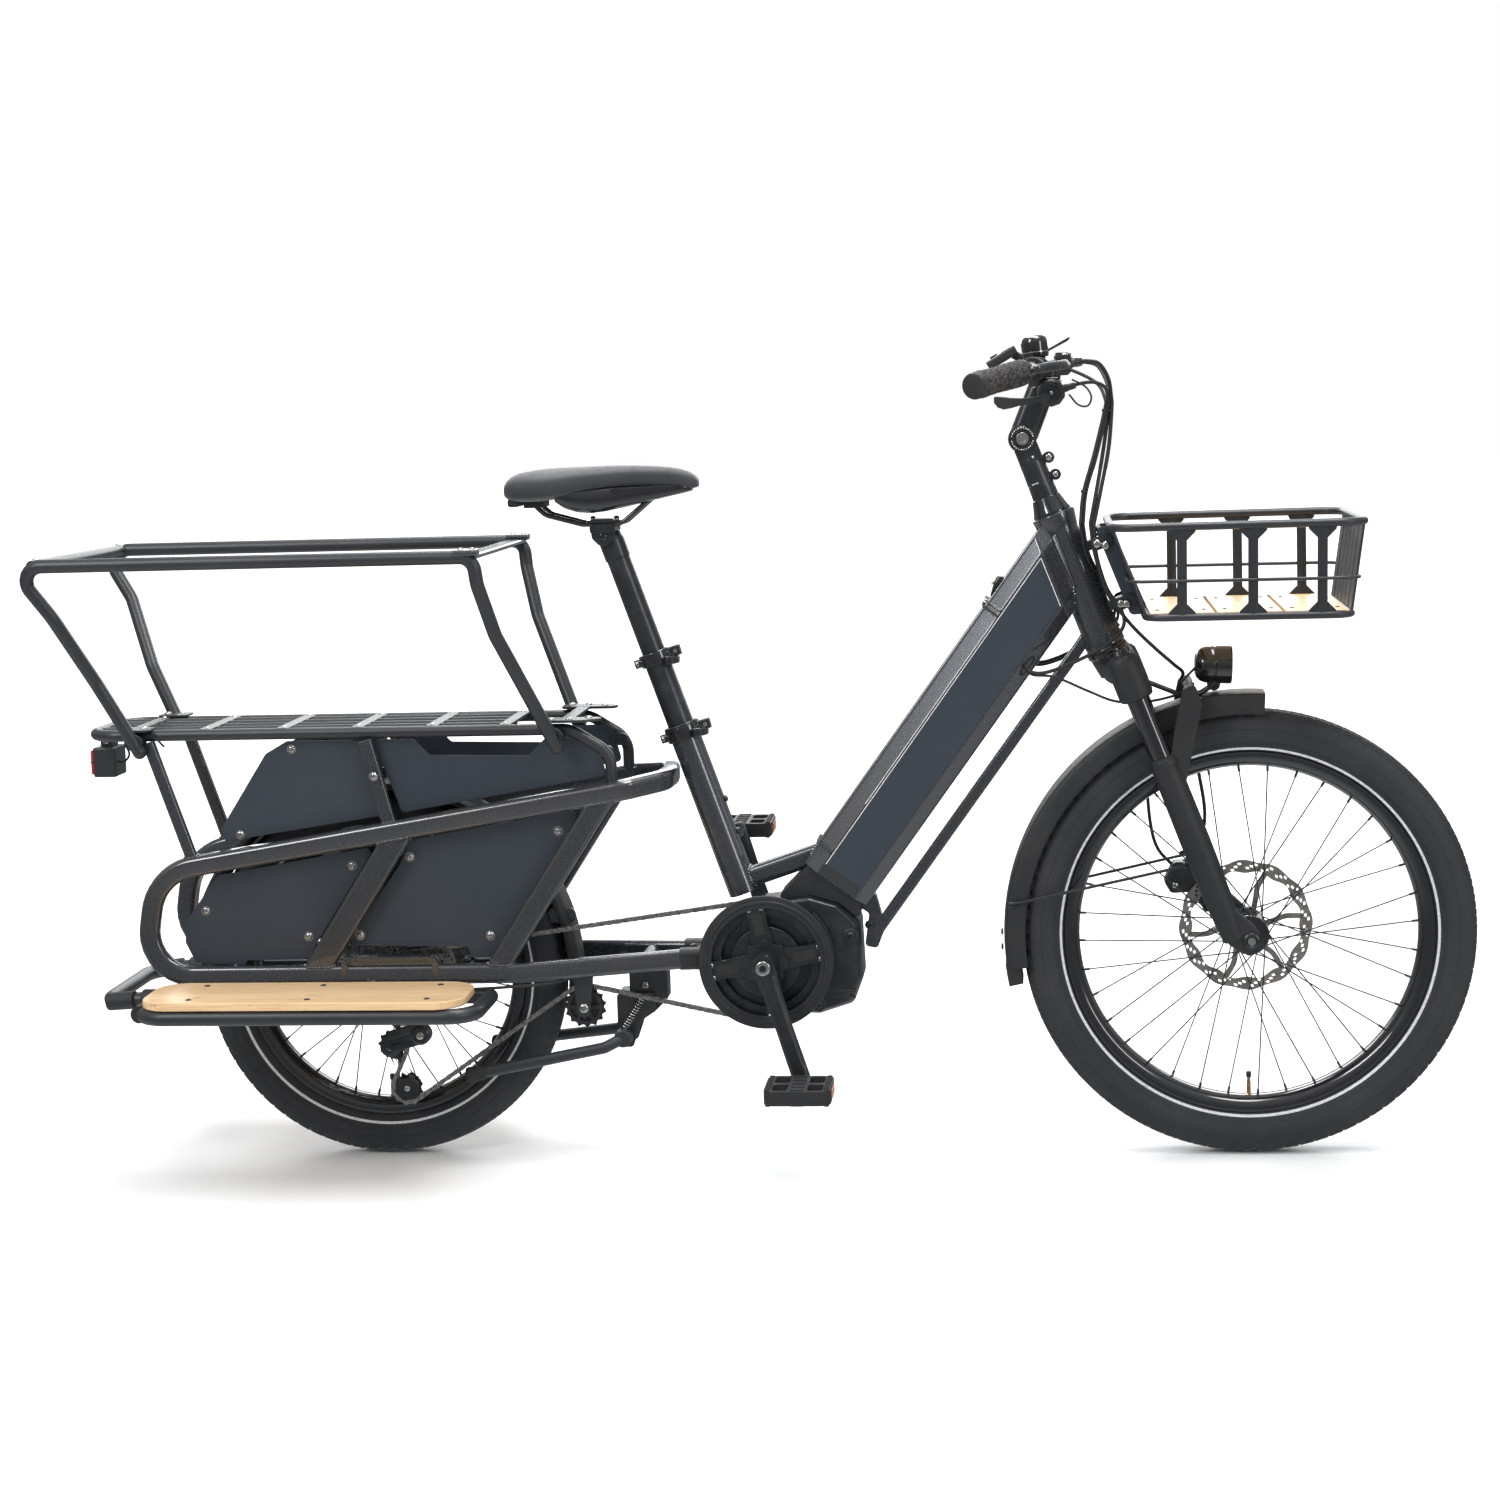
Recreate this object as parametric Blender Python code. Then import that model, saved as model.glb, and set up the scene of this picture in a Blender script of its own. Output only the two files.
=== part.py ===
"""Longtail electric cargo bicycle: 24 inch front wheel, 20 inch rear wheel, mid motor.

Drawn in millimetres with X forward from the rear axle, -Y to the drive side and Z up from the
floor. place() turns that into metres with the bicycle's length centred on the origin.
"""

import math

import bmesh
import bpy
from mathutils import Matrix, Vector

# Driving dimensions, in millimetres.
WHEELBASE = 1252.0
FRONT_R = 320.0
REAR_R = 269.5
TYRE_HALF = 32.0
LENGTH_MIDDLE = 558.1
GAP = 0.4
STEER_FOOT = (1058.0, 727.0)
STEER_LEAN = math.radians(21.0)
SEAT_FOOT = (450.0, 622.0)
SEAT_LEAN = math.radians(19.0)
DOWN_FOOT = (643.0, 456.0)
DOWN_DIR = (0.587, 0.8096)
SIDE_Y = 91.0
STAY_R = 12.5
RACK_Y = 85.0
RACK_Z = 635.0
RACK_R = 8.0
HOOP_Y = 195.0
HOOP_Z = 888.0
HOOP_R = 9.75
PANEL_IN = 73.7
PANEL_THICK = 3.0
DECK_TOP = 279.0
DECK_THICK = 11.6
CRANK = (567.0, 292.0)
CRANK_LENGTH = 170.0
CRANK_TURN = math.radians(18.0)
CHAIN_Y = -52.0
CHAIN_HALF = 3.5
RING_PITCH = 88.0
COG_PITCH = 32.0
IDLER = (302.0, 227.0)
IDLER_PITCH = 31.5
PULLEY_LOW = (36.0, 108.0)
PULLEY_UP = (16.0, 172.0)
PULLEY_PITCH = 22.5
LEG_Y = 65.0
STEM_PIVOT = 320.0
GRIP_IN = (953.0, -215.0, 1119.0)
GRIP_OUT = (884.0, -341.0, 1101.0)

for old in list(bpy.data.objects):
    bpy.data.objects.remove(old, do_unlink=True)
BIKE = bpy.data.collections.new("cargo_bicycle")
bpy.context.scene.collection.children.link(BIKE)


# Points in the bicycle's own leaning frames.
def steer(along, ahead, y=0.0):
    """A point from the lower headset: along the steering axis, then ahead of it."""
    s, c = math.sin(STEER_LEAN), math.cos(STEER_LEAN)
    return (STEER_FOOT[0] - s * along + c * ahead, y, STEER_FOOT[1] + c * along + s * ahead)


def seat(along, y=0.0):
    """A point up the seat tube's axis from its collar."""
    return (SEAT_FOOT[0] - math.sin(SEAT_LEAN) * along, y, SEAT_FOOT[1] + math.cos(SEAT_LEAN) * along)


def down(along, above, y=0.0):
    """A point up the down tube's top edge, then above it."""
    return (
        DOWN_FOOT[0] + DOWN_DIR[0] * along - DOWN_DIR[1] * above,
        y,
        DOWN_FOOT[1] + DOWN_DIR[1] * along + DOWN_DIR[0] * above,
    )


def mirror(points):
    return [(x, -y, z) for x, y, z in points]


def place(point):
    return ((point[0] - LENGTH_MIDDLE) / 1000, point[1] / 1000, point[2] / 1000)


# Primitive solids, each a (points, faces) pair in millimetres.
def circle(radius, sides, turn=0.5):
    angles = [2 * math.pi * (i + turn) / sides for i in range(sides)]
    return [(radius * math.cos(a), radius * math.sin(a)) for a in angles]


def oblong(wide, tall):
    return [(-wide / 2, -tall / 2), (wide / 2, -tall / 2), (wide / 2, tall / 2), (-wide / 2, tall / 2)]


def fillet(points, radius, steps=4):
    """Rounds the inner corners of a path, each by at most what its legs allow."""
    path = [Vector(p) for p in points]
    out = [path[0]]
    for before, here, after in zip(path, path[1:], path[2:]):
        a, b = before - here, after - here
        angle = a.angle(b)
        cut = min(radius / math.tan(angle / 2), 0.48 * a.length, 0.48 * b.length)
        if angle > math.radians(176) or cut < 0.5:
            out.append(here)
            continue
        reach = cut * math.tan(angle / 2)
        start, end = here + a.normalized() * cut, here + b.normalized() * cut
        middle = here + (a.normalized() + b.normalized()).normalized() * math.hypot(reach, cut)
        for i in range(steps + 1):
            mix = start.lerp(end, i / steps) - middle
            out.append(middle + mix.normalized() * reach)
    out.append(path[-1])
    return out


def frame_loop(corners, radius, steps=3):
    """The rounded corners of a closed loop, starting half way along its last side."""
    middle = tuple((a + b) / 2 for a, b in zip(corners[0], corners[-1]))
    return fillet([middle, *corners, middle], radius, steps)[:-1]


def sweep(path, section, up=(0, 0, 1), closed=False):
    """Carries a flat section along a path, with mitred corners and flat ends."""
    path = [Vector(p) for p in path]
    count = len(path)
    legs = [(path[(i + 1) % count] - path[i]).normalized() for i in range(count if closed else count - 1)]
    start = legs[-1] if closed else legs[0]
    side = start.cross(Vector(up))
    if side.length < 1e-3:
        side = start.cross(Vector((0, 1, 0)))
    side.normalize()
    rise = side.cross(start).normalized()
    points = []
    for i, here in enumerate(path):
        into = legs[i - 1] if closed or i else legs[0]
        out = legs[i] if i < len(legs) else legs[-1]
        bisect = (into + out).normalized()
        for u, v in section:
            offset = side * u + rise * v
            points.append(here + offset - into * (offset.dot(bisect) / into.dot(bisect)))
        turn = into.rotation_difference(out)
        side, rise = turn @ side, turn @ rise
    n = len(section)
    faces = []
    for i in range(count if closed else count - 1):
        j = (i + 1) % count
        for k in range(n):
            m = (k + 1) % n
            faces.append((i * n + k, i * n + m, j * n + m, j * n + k))
    if not closed:
        faces += [tuple(range(n)), tuple(range((count - 1) * n, count * n))]
    return points, faces


def rod(start, end, radius, sides=12):
    return sweep([start, end], circle(radius, sides))


def across(x, z, y0, y1, radius, sides=12):
    return rod((x, y0, z), (x, y1, z), radius, sides)


def stack(start, direction, steps, sides=12):
    """A turned solid: (distance, radius) steps along a direction."""
    way = Vector(direction).normalized()
    side = way.cross(Vector((0, 1, 0)))
    if side.length < 1e-3:
        side = Vector((1, 0, 0))
    side.normalize()
    other = way.cross(side)
    points, faces = [], []
    for distance, radius in steps:
        for a in range(sides):
            turn = 2 * math.pi * (a + 0.5) / sides
            points.append(
                Vector(start) + way * distance + (side * math.cos(turn) + other * math.sin(turn)) * radius
            )
    for i in range(len(steps) - 1):
        for k in range(sides):
            m = (k + 1) % sides
            faces.append((i * sides + k, i * sides + m, (i + 1) * sides + m, (i + 1) * sides + k))
    faces += [tuple(range(sides)), tuple(range((len(steps) - 1) * sides, len(steps) * sides))]
    return points, faces


def hoop(x, z, profile, sides, first=0.0, last=360.0):
    """Turns a closed (radius, y) profile about a cross axis, all round or over part of a turn."""
    full = last - first >= 360
    n = len(profile)
    rings = sides if full else sides + 1
    points, faces = [], []
    for i in range(rings):
        a = math.radians(first + (last - first) * (i + (0.5 if full else 0)) / sides)
        for r, y in profile:
            points.append(Vector((x + r * math.cos(a), y, z + r * math.sin(a))))
    for i in range(sides):
        j = (i + 1) % rings
        for k in range(n):
            m = (k + 1) % n
            faces.append((i * n + k, i * n + m, j * n + m, j * n + k))
    if not full:
        faces += [tuple(range(n)), tuple(range((rings - 1) * n, rings * n))]
    return points, faces


def slab(outline, y0, y1):
    """A flat (x, z) outline with thickness across the bicycle."""
    n = len(outline)
    points = [Vector((x, y, z)) for y in (y0, y1) for x, z in outline]
    faces = [(k, (k + 1) % n, n + (k + 1) % n, n + k) for k in range(n)]
    return points, faces + [tuple(range(n)), tuple(range(n, 2 * n))]


def sheet(outline, z0, z1):
    """A flat (x, y) outline with thickness upwards."""
    n = len(outline)
    points = [Vector((x, y, z)) for z in (z0, z1) for x, y in outline]
    faces = [(k, (k + 1) % n, n + (k + 1) % n, n + k) for k in range(n)]
    return points, faces + [tuple(range(n)), tuple(range(n, 2 * n))]


def block(x0, x1, y0, y1, z0, z1):
    return sheet([(x0, y0), (x1, y0), (x1, y1), (x0, y1)], z0, z1)


def beam(start, end, wide, deep):
    """A box bar between two points; wide lies in the bicycle's plane, deep across it."""
    return sweep([start, end], oblong(deep, wide))


def flip(solid):
    points, faces = solid
    return [Vector((p[0], -p[1], p[2])) for p in points], faces


def both(solid):
    return [solid, flip(solid)]


# Objects.
def raw(name, solid):
    """One primitive as a mesh object, with its faces turned outwards."""
    points, faces = solid
    mesh = bpy.data.meshes.new(name)
    mesh.from_pydata([place(p) for p in points], [], faces)
    work = bmesh.new()
    work.from_mesh(mesh)
    bmesh.ops.recalc_face_normals(work, faces=work.faces[:])
    work.to_mesh(mesh)
    work.free()
    return bpy.data.objects.new(name, mesh)


def make(name, adds, cuts=(), pivot=None, colour=(0.05, 0.05, 0.05), metallic=0.0, rough=0.5):
    """Joins the solids in adds into one body, takes cuts away, and sets its origin on pivot."""
    helpers = [raw(f"{name}_{i}", solid) for i, solid in enumerate(list(adds) + list(cuts))]
    for helper in helpers:
        BIKE.objects.link(helper)
    base = helpers[0]
    for i, helper in enumerate(helpers[1:], 1):
        modifier = base.modifiers.new(f"step_{i}", "BOOLEAN")
        modifier.operation = "UNION" if i < len(adds) else "DIFFERENCE"
        modifier.object = helper
        modifier.solver = "EXACT"
    bpy.context.view_layer.update()
    graph = bpy.context.evaluated_depsgraph_get()
    mesh = bpy.data.meshes.new_from_object(base.evaluated_get(graph))
    for helper in helpers:
        bpy.data.objects.remove(helper, do_unlink=True)
    work = bmesh.new()
    work.from_mesh(mesh)
    bmesh.ops.remove_doubles(work, verts=work.verts[:], dist=2e-6)
    bmesh.ops.dissolve_degenerate(work, edges=work.edges[:], dist=2e-6)
    bmesh.ops.dissolve_limit(work, angle_limit=0.004, verts=work.verts[:], edges=work.edges[:])
    bmesh.ops.triangulate(work, faces=work.faces[:])
    work.to_mesh(mesh)
    work.free()
    mesh.name = name
    origin = Vector(place(pivot)) if pivot else Vector((0, 0, 0))
    mesh.transform(Matrix.Translation(-origin))
    mesh.materials.clear()
    material = bpy.data.materials.new(name)
    material.use_nodes = True
    shader = material.node_tree.nodes["Principled BSDF"]
    shader.inputs["Base Color"].default_value = (*colour, 1)
    shader.inputs["Metallic"].default_value = metallic
    shader.inputs["Roughness"].default_value = rough
    mesh.materials.append(material)
    obj = bpy.data.objects.new(name, mesh)
    obj.location = origin
    BIKE.objects.link(obj)
    return obj


FRAME_GREY = {"colour": (0.045, 0.048, 0.052), "metallic": 0.8, "rough": 0.35}
BLACK = {"colour": (0.012, 0.012, 0.013), "rough": 0.5}
PANEL = {"colour": (0.02, 0.025, 0.035), "rough": 0.45}
BAMBOO = {"colour": (0.62, 0.42, 0.22), "rough": 0.5}
STEEL = {"colour": (0.55, 0.55, 0.55), "metallic": 1.0, "rough": 0.3}
RUBBER = {"colour": (0.02, 0.02, 0.02), "rough": 0.85}


# Frame.
def build_main_frame():
    wide = [(-42, -22), (-30, 0), (30, 0), (42, -22), (42, -88), (28, -107), (-28, -107), (-42, -88)]
    tube = []
    for along in (-32, 545):
        tube += [Vector(down(along, above, y)) for y, above in wide]
    n = len(wide)
    faces = [(k, (k + 1) % n, n + (k + 1) % n, n + k) for k in range(n)]
    down_tube = (tube, faces + [tuple(range(n)), tuple(range(n, 2 * n))])
    head = rod(steer(8, 0), steer(205, 0), 27, 16)
    seat_tube = rod(seat(-253), seat(10), 22, 12)
    collar = rod(seat(-13), seat(9), 26, 12)
    short = rod((541, 0, 405), (662, 0, 446), 13, 12)
    strut = sweep(fillet([steer(42, 0), (1017, 0, 728), (722, 0, 322)], 20, 2), circle(8, 8))
    bracket = slab([(690, 366), (722, 384), (734, 330), (722, 300), (708, 306), (713, 352)], -9, 9)
    bosses = [
        beam(steer(56, 18), steer(56, 48), 14, 26),
        beam(steer(146, 18), steer(146, 48), 14, 26),
    ]
    bay = beam(down(4.6, -34.7), down(413.4, -34.7), 71, 58.8)
    bore = rod(steer(-20, 0), steer(230, 0), 17, 12)
    post = rod(seat(-205), seat(40), 19.4, 12)
    make(
        "main_frame",
        [down_tube, head, seat_tube, collar, short, strut, bracket] + bosses,
        [bay, bore, post],
        **FRAME_GREY,
    )
    pack = []
    top = [(-25, 1.5), (25, 1.5), (29, -4), (29, -69), (-29, -69), (-29, -4)]
    for along in (5.2, 412.8):
        pack += [Vector(down(along, above, y)) for y, above in top]
    n = len(top)
    faces = [(k, (k + 1) % n, n + (k + 1) % n, n + k) for k in range(n)]
    make("battery_pack", [(pack, faces + [tuple(range(n)), tuple(range(n, 2 * n))])], **PANEL)


def side_rail():
    """The long tube of one side: seat junction, round the back, and forward along the bottom."""
    path = [
        (430, 0, 556), (426, -50, 555), (374, -SIDE_Y, 548), (-312, -SIDE_Y, 436),
        (-338, -SIDE_Y, 283), (215, -SIDE_Y, 285), (456, -33, 293), (480, -33, 293),
    ]
    front = fillet(path[:3] + [path[3]], 30, 2)[:-1]
    rear = fillet([path[2], path[3], path[4], path[5]], 78, 4)[1:-1]
    tail = fillet([path[4], path[5], path[6], path[7]], 40, 2)[1:]
    return sweep(front + rear + tail, circle(STAY_R, 8))


def build_rear_frame():
    adds = both(side_rail())
    adds += both(beam((51, -SIDE_Y, 494), (-82, -SIDE_Y, 289), 38, 18))
    adds += both(beam((350, -SIDE_Y, 546), (181, -SIDE_Y, 288), 32, 18))
    adds += both(rod((4, -SIDE_Y, 622), (36, -SIDE_Y, 498), 6, 6))
    adds += both(rod((-313, -SIDE_Y, 622), (-255, -SIDE_Y, 448), 8, 6))
    adds += both(block(-42, 97, -101, -81.5, 266, 311))
    adds += [across(468, 293, -33, 33, 12, 8), across(390, 289, -48, 48, 11, 8)]
    adds += [across(0, REAR_R, -108, 108, 5.7, 12)]
    adds += [block(362, 418, -18, 18, 212, 285), block(346, 366, -26, 26, 214, 240)]
    adds += both(slab([(344, 239), (366, 239), (366, 160), (344, 160)], -26, -20))
    adds += [slab([(288, 284), (316, 284), (309, 218), (295, 218)], -66, -62)]
    adds += [across(IDLER[0], IDLER[1], -64, -45, 4, 10)]
    adds += [block(30, 76, 47.5, 70, 306, 340), block(34, 70, 66, 84, 296, 316)]
    adds += [slab([(-14, 272), (14, 272), (14, 236), (-6, 236)], -90, -82)]
    make("rear_frame", adds, [across(355, 179, -40, 40, 6.2, 12)], **FRAME_GREY)


def build_rack():
    side = fillet([(-404, -RACK_Y, RACK_Z), (298, -RACK_Y, RACK_Z), (357, -RACK_Y, 598), (357, -RACK_Y, 562)], 45, 3)
    adds = both(sweep(side, circle(RACK_R, 8)))
    adds += [across(x, RACK_Z, -RACK_Y, RACK_Y, 5.5, 6) for x in (-339, -232, -118, -9, 99, 205)]
    adds += [across(-398, RACK_Z, -RACK_Y, RACK_Y, 6.5, 6)]
    adds += [rod((-398, y, RACK_Z), (205, y, RACK_Z), 4, 4) for y in (-30, 30)]
    adds += both(block(272, 316, -92.6, -72, 640, 656)) + [block(288, 304, -76, 76, 644, 650)]
    make("cargo_rack", adds, **BLACK)


def build_passenger_rails():
    near = [
        (-329, -103.6, 628), (-372, -128, 716), (-414, -176, 815), (-449, -HOOP_Y, 872), (-437, -HOOP_Y, HOOP_Z),
        (186, -HOOP_Y, HOOP_Z), (180, -HOOP_Y, 862), (214, -168, 778), (278, -103.6, 628),
    ]
    path = fillet(near, 22, 2)
    adds = both(sweep(path, circle(HOOP_R, 8)))
    adds += [across(-430, HOOP_Z, -HOOP_Y, HOOP_Y, 8, 8)]
    adds += [block(169, 195, -HOOP_Y, HOOP_Y, HOOP_Z - 3, HOOP_Z + 3)]
    make("passenger_rails", adds, **BLACK)


PANELS = {
    "upper_rear": [(-218, 495), (-213, 478), (26, 514), (-8, 623), (-114, 623), (-146, 605)],
    "upper_front": [(13, 624), (72, 623), (94, 600), (237, 597), (261, 621), (328, 622), (337, 613), (349, 567), (50, 517)],
    "lower_rear": [
        (-227, 428), (-2, 467), (3, 459), (-93, 314), (-105, 304), (-189, 303), (-192, 296), (-265, 300), (-279, 330), (-277, 360),
    ],
    "lower_front": [(61, 478), (309, 519), (182, 305), (144, 305), (138, 321), (-32, 323), (-37, 333), (42, 440)],
}


def build_panels():
    for where, outline in PANELS.items():
        for side, sign in (("right", -1), ("left", 1)):
            plate = slab(outline, sign * PANEL_IN, sign * (PANEL_IN + PANEL_THICK))
            make(f"panel_{where}_{side}", [plate], **PANEL)


def build_decks():
    loop = fillet([(166, -112, 256), (170, -246, 256), (-305, -246, 256), (-300, -112, 256)], 38, 3)
    adds = both(sweep(loop, circle(11, 8)))
    adds += both(rod((176, -116, 256), (-330, -116, 256), 9, 8))
    guard = fillet([(-320, -116, 256), (-392, -112, 250), (-392, 112, 250), (-320, 116, 256)], 40, 3)
    adds += [sweep(guard, circle(11, 8))]
    make("deck_frame", adds, **BLACK)
    outer = fillet([(160, -116, 0), (163, -254, 0), (-300, -254, 0), (-302, -116, 0)], 42, 4)
    for side, sign in (("right", 1), ("left", -1)):
        outline = [(p[0], sign * p[1]) for p in outer]
        make(f"deck_{side}", [sheet(outline, DECK_TOP - DECK_THICK, DECK_TOP)], **BAMBOO)


def build_basket():
    top = frame_loop([(1062, -159, 905), (1401, -159, 907), (1401, 159, 907), (1062, 159, 905)], 30)
    low = frame_loop([(1110, -150, 782), (1384, -150, 782), (1384, 150, 782), (1110, 150, 782)], 25)
    middle = frame_loop([(1089, -154.4, 832), (1391, -154.4, 832), (1391, 154.4, 832), (1089, 154.4, 832)], 20)
    adds = [sweep(top, circle(5, 6), closed=True), sweep(low, circle(4.5, 6), closed=True)]
    adds += [sweep(middle, circle(2.6, 4), closed=True)]
    for x in (1156, 1251, 1343):
        adds += both(beam((x, -159, 905), (x, -150, 782), 3.6, 12))
    for y in (-100, -50, 0, 50, 100):
        adds += [rod((1401, y, 907), (1384, y, 782), 2.3, 4)]
    for y in (-120, -41, 41, 120):
        adds += [beam((1062.5, y, 905), (1109.5, y, 782), 7, 4.4)]
    adds += [beam(steer(38, 52.2), steer(168, 52.2), 6.3, 92)]
    cheek = [steer(166, 50)[::2], (1065, 899), (1108, 787), steer(40, 50)[::2]]
    adds += [slab(cheek, -44, -40), slab(cheek, 40, 44)]
    for y in (-104, -35, 35, 104):
        adds += [block(1107, 1386, y - 31, y + 31, 780.3, 787.7)]
    make("basket", adds, **BLACK)


# Steering.
def build_fork():
    adds = [beam(steer(-4, 1), steer(-58, 3), 52, 110)]
    adds += both(stack(steer(-20, 14, -LEG_Y), Vector(steer(-1, 0)) - Vector(steer(0, 0)), [(0, 23), (68, 23)], 12))
    adds += both(stack(steer(-30, 14, -LEG_Y), Vector(steer(-1, 0)) - Vector(steer(0, 0)), [(0, 16.0), (220, 16.0)], 12))
    adds += [rod(steer(-40, 0), steer(262, 0), 14.3, 12), rod(steer(-6, 0), steer(7.5, 0), 29, 18)]
    adds += [rod(steer(-24, 14, -LEG_Y), steer(-12, 14, -LEG_Y), 13, 12)]
    make("fork_upper", adds, pivot=steer(0, 0), **BLACK)
    leg = stack(steer(-165, 14, -LEG_Y), Vector(steer(-1, 0)) - Vector(steer(0, 0)), [(0, 21), (14, 21), (18, 20), (262, 19)], 12)
    hollow = stack(steer(-160, 14, -LEG_Y), Vector(steer(-1, 0)) - Vector(steer(0, 0)), [(0, 16.5), (136, 16.5)], 12)
    axle = Vector((WHEELBASE, 0, FRONT_R))
    toe = slab([steer(-395, 2)[::2], steer(-395, 28)[::2], steer(-442, 52)[::2], steer(-466, 46)[::2], steer(-468, 24)[::2], steer(-440, 4)[::2]], -LEG_Y - 12, -LEG_Y + 12)
    arch = slab(
        [steer(-205, 22)[::2], steer(-205, 32)[::2], steer(-110, 92)[::2], steer(-84, 94)[::2], steer(-84, 76)[::2], steer(-140, 40)[::2], steer(-160, 30)[::2]],
        -LEG_Y - 8,
        -LEG_Y + 6,
    )
    bridge = slab([steer(-95, 93)[::2], steer(-82, 93)[::2], steer(-82, 77)[::2], steer(-95, 77)[::2]], -LEG_Y - 4, LEG_Y + 4)
    caliper = [block(1140, 1200, 47.5, 58, 372, 410)]
    adds = both(leg) + both(toe) + both(arch) + [bridge]
    adds += [across(axle[0], axle[2], -LEG_Y - 16, LEG_Y + 16, 5.7, 12)] + caliper
    make("fork_lowers", adds, [hollow, flip(hollow)], pivot=steer(0, 0), **BLACK)


def guard(x, z, outer, lip, first, last, sides):
    """A mudguard: an arched band with turned-down lips."""
    profile = [
        (outer, -26), (outer, 26), (outer - 7, 38), (lip, 38.5), (lip, 36.5), (outer - 8, 35.5),
        (outer - 3, 25), (outer - 3, -25), (outer - 8, -35.5), (lip, -36.5), (lip, -38.5), (outer - 7, -38),
    ]
    return hoop(x, z, profile, sides, first, last)


def build_mudguards():
    adds = [guard(WHEELBASE, FRONT_R, 346, 317, 86, 188, 14)]
    adds += both(sweep([(916, -37.5, 369), (934, -42, 372), (1172, -44, 424)], circle(2.4, 6)))
    make("front_fender", adds, pivot=steer(0, 0), **BLACK)
    make("rear_fender", [guard(0, REAR_R, 292, 279, -6, 168, 18)], **BLACK)


def build_headlamp():
    adds = [stack((1180, 0, 703), (1, 0, -0.03), [(0, 18), (8, 25), (36, 27), (52, 27)], 12)]
    adds += [rod((1206, 0, 684), (1206, 0, 672), 8, 10)]
    adds += [sweep([(1206, 0, 674), (1206, 0, 668), (1184, 0, 664)], oblong(4, 12), up=(0, 1, 0))]
    make("headlamp", adds, pivot=(1206, 0, 674), **BLACK)


def build_stem():
    axis = Vector(steer(1, 0)) - Vector(steer(0, 0))
    riser = stack(steer(208, 0), axis, [(0, 21), (30, 18.4), (86, 17.6)], 18)
    cheeks = both(slab([steer(286, -14)[::2], steer(286, 14)[::2], steer(322, 13)[::2], steer(332, 6)[::2], steer(332, -6)[::2], steer(322, -13)[::2]], -16, -9.4))
    pin = across(*steer(STEM_PIVOT, 0)[::2], -17, 17, 4, 12)
    ears = [rod(steer(256, 23, -6), steer(256, 23, 6), 7, 10), rod(steer(282, 23, -6), steer(282, 23, 6), 7, 10)]
    ears += [beam(steer(256, 15), steer(256, 24), 9, 10), beam(steer(282, 15), steer(282, 24), 9, 10)]
    bore = stack(steer(200, 0), axis, [(0, 14.7), (66, 14.7)], 12)
    make("stem_riser", [riser] + cheeks + [pin] + ears, [bore], pivot=steer(0, 0), **BLACK)
    pivot = Vector(steer(STEM_PIVOT, 0))
    clamp = Vector((978, 0, 1113))
    way = (clamp - pivot).normalized()
    arm = rod(pivot + way * 16, clamp - way * 6, 19, 12)
    tongue = across(pivot[0], pivot[2], -8.8, 8.8, 13, 12)
    neck = beam(pivot, pivot + way * 22, 22, 17)
    barrel = across(clamp[0], clamp[2], -22, 22, 19, 12)
    cuts = [across(pivot[0], pivot[2], -30, 30, 4.5, 12), across(clamp[0], clamp[2], -40, 40, 11.4, 12)]
    make("stem_arm", [arm, tongue, neck, barrel], cuts, pivot=pivot, **BLACK)


BAR = [(978, 0, 1113), (978, -40, 1113), (966, -140, 1122), GRIP_IN, GRIP_OUT]


def on_bar(y):
    """The point and the outward direction of the right half of the bar at a distance across."""
    for start, end in zip(BAR, BAR[1:]):
        if end[1] <= y:
            a, b = Vector(start), Vector(end)
            return a.lerp(b, (y - a.y) / (b.y - a.y)), (b - a).normalized()


def bar_ring(y, width, radius):
    """A clamp ring round the bar and the hole that goes through it."""
    spot, way = on_bar(y)
    ring = stack(spot - way * width / 2, way, [(0, radius), (width, radius)], 14)
    return ring, stack(spot - way * 34, way, [(0, 11.8), (68, 11.8)], 12)


def build_brake(side, turn):
    """One brake: master cylinder with its clamp, and the lever that pivots on it."""
    ring, bore = bar_ring(-172, 14, 17)
    tank = stack((1006, -136, 1128), (-0.12, -1, 0.02), [(0, 8), (10, 10), (48, 11), (56, 10)], 12)
    link = beam((970, -172, 1121), (1000, -172, 1127), 13, 10)
    ears = [block(992, 1009, -214, -184, 1112, 1119.2), block(992, 1009, -214, -184, 1132.8, 1139)]
    pin = rod((1002, -207, 1113), (1002, -207, 1138), 2.5, 8)
    adds = [turn(solid) for solid in [ring, link, tank, pin] + ears]
    make(f"brake_body_{side}", adds, [turn(bore)], **BLACK)
    blade = [(1002, -207, 1126), (1002, -232, 1126), (978, -290, 1123), (962, -320, 1120), (966, -334, 1120)]
    root = rod((1002, -207, 1119.8), (1002, -207, 1132.2), 6.2, 10)
    adds = [turn(root), turn(sweep(fillet(blade, 14, 2), oblong(6, 11)))]
    hole = turn(rod((1002, -207, 1110), (1002, -207, 1142), 3.0, 8))
    make(f"brake_lever_{side}", adds, [hole], pivot=turn(([(1002, -207, 1126)], []))[0][0], **BLACK)


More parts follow.
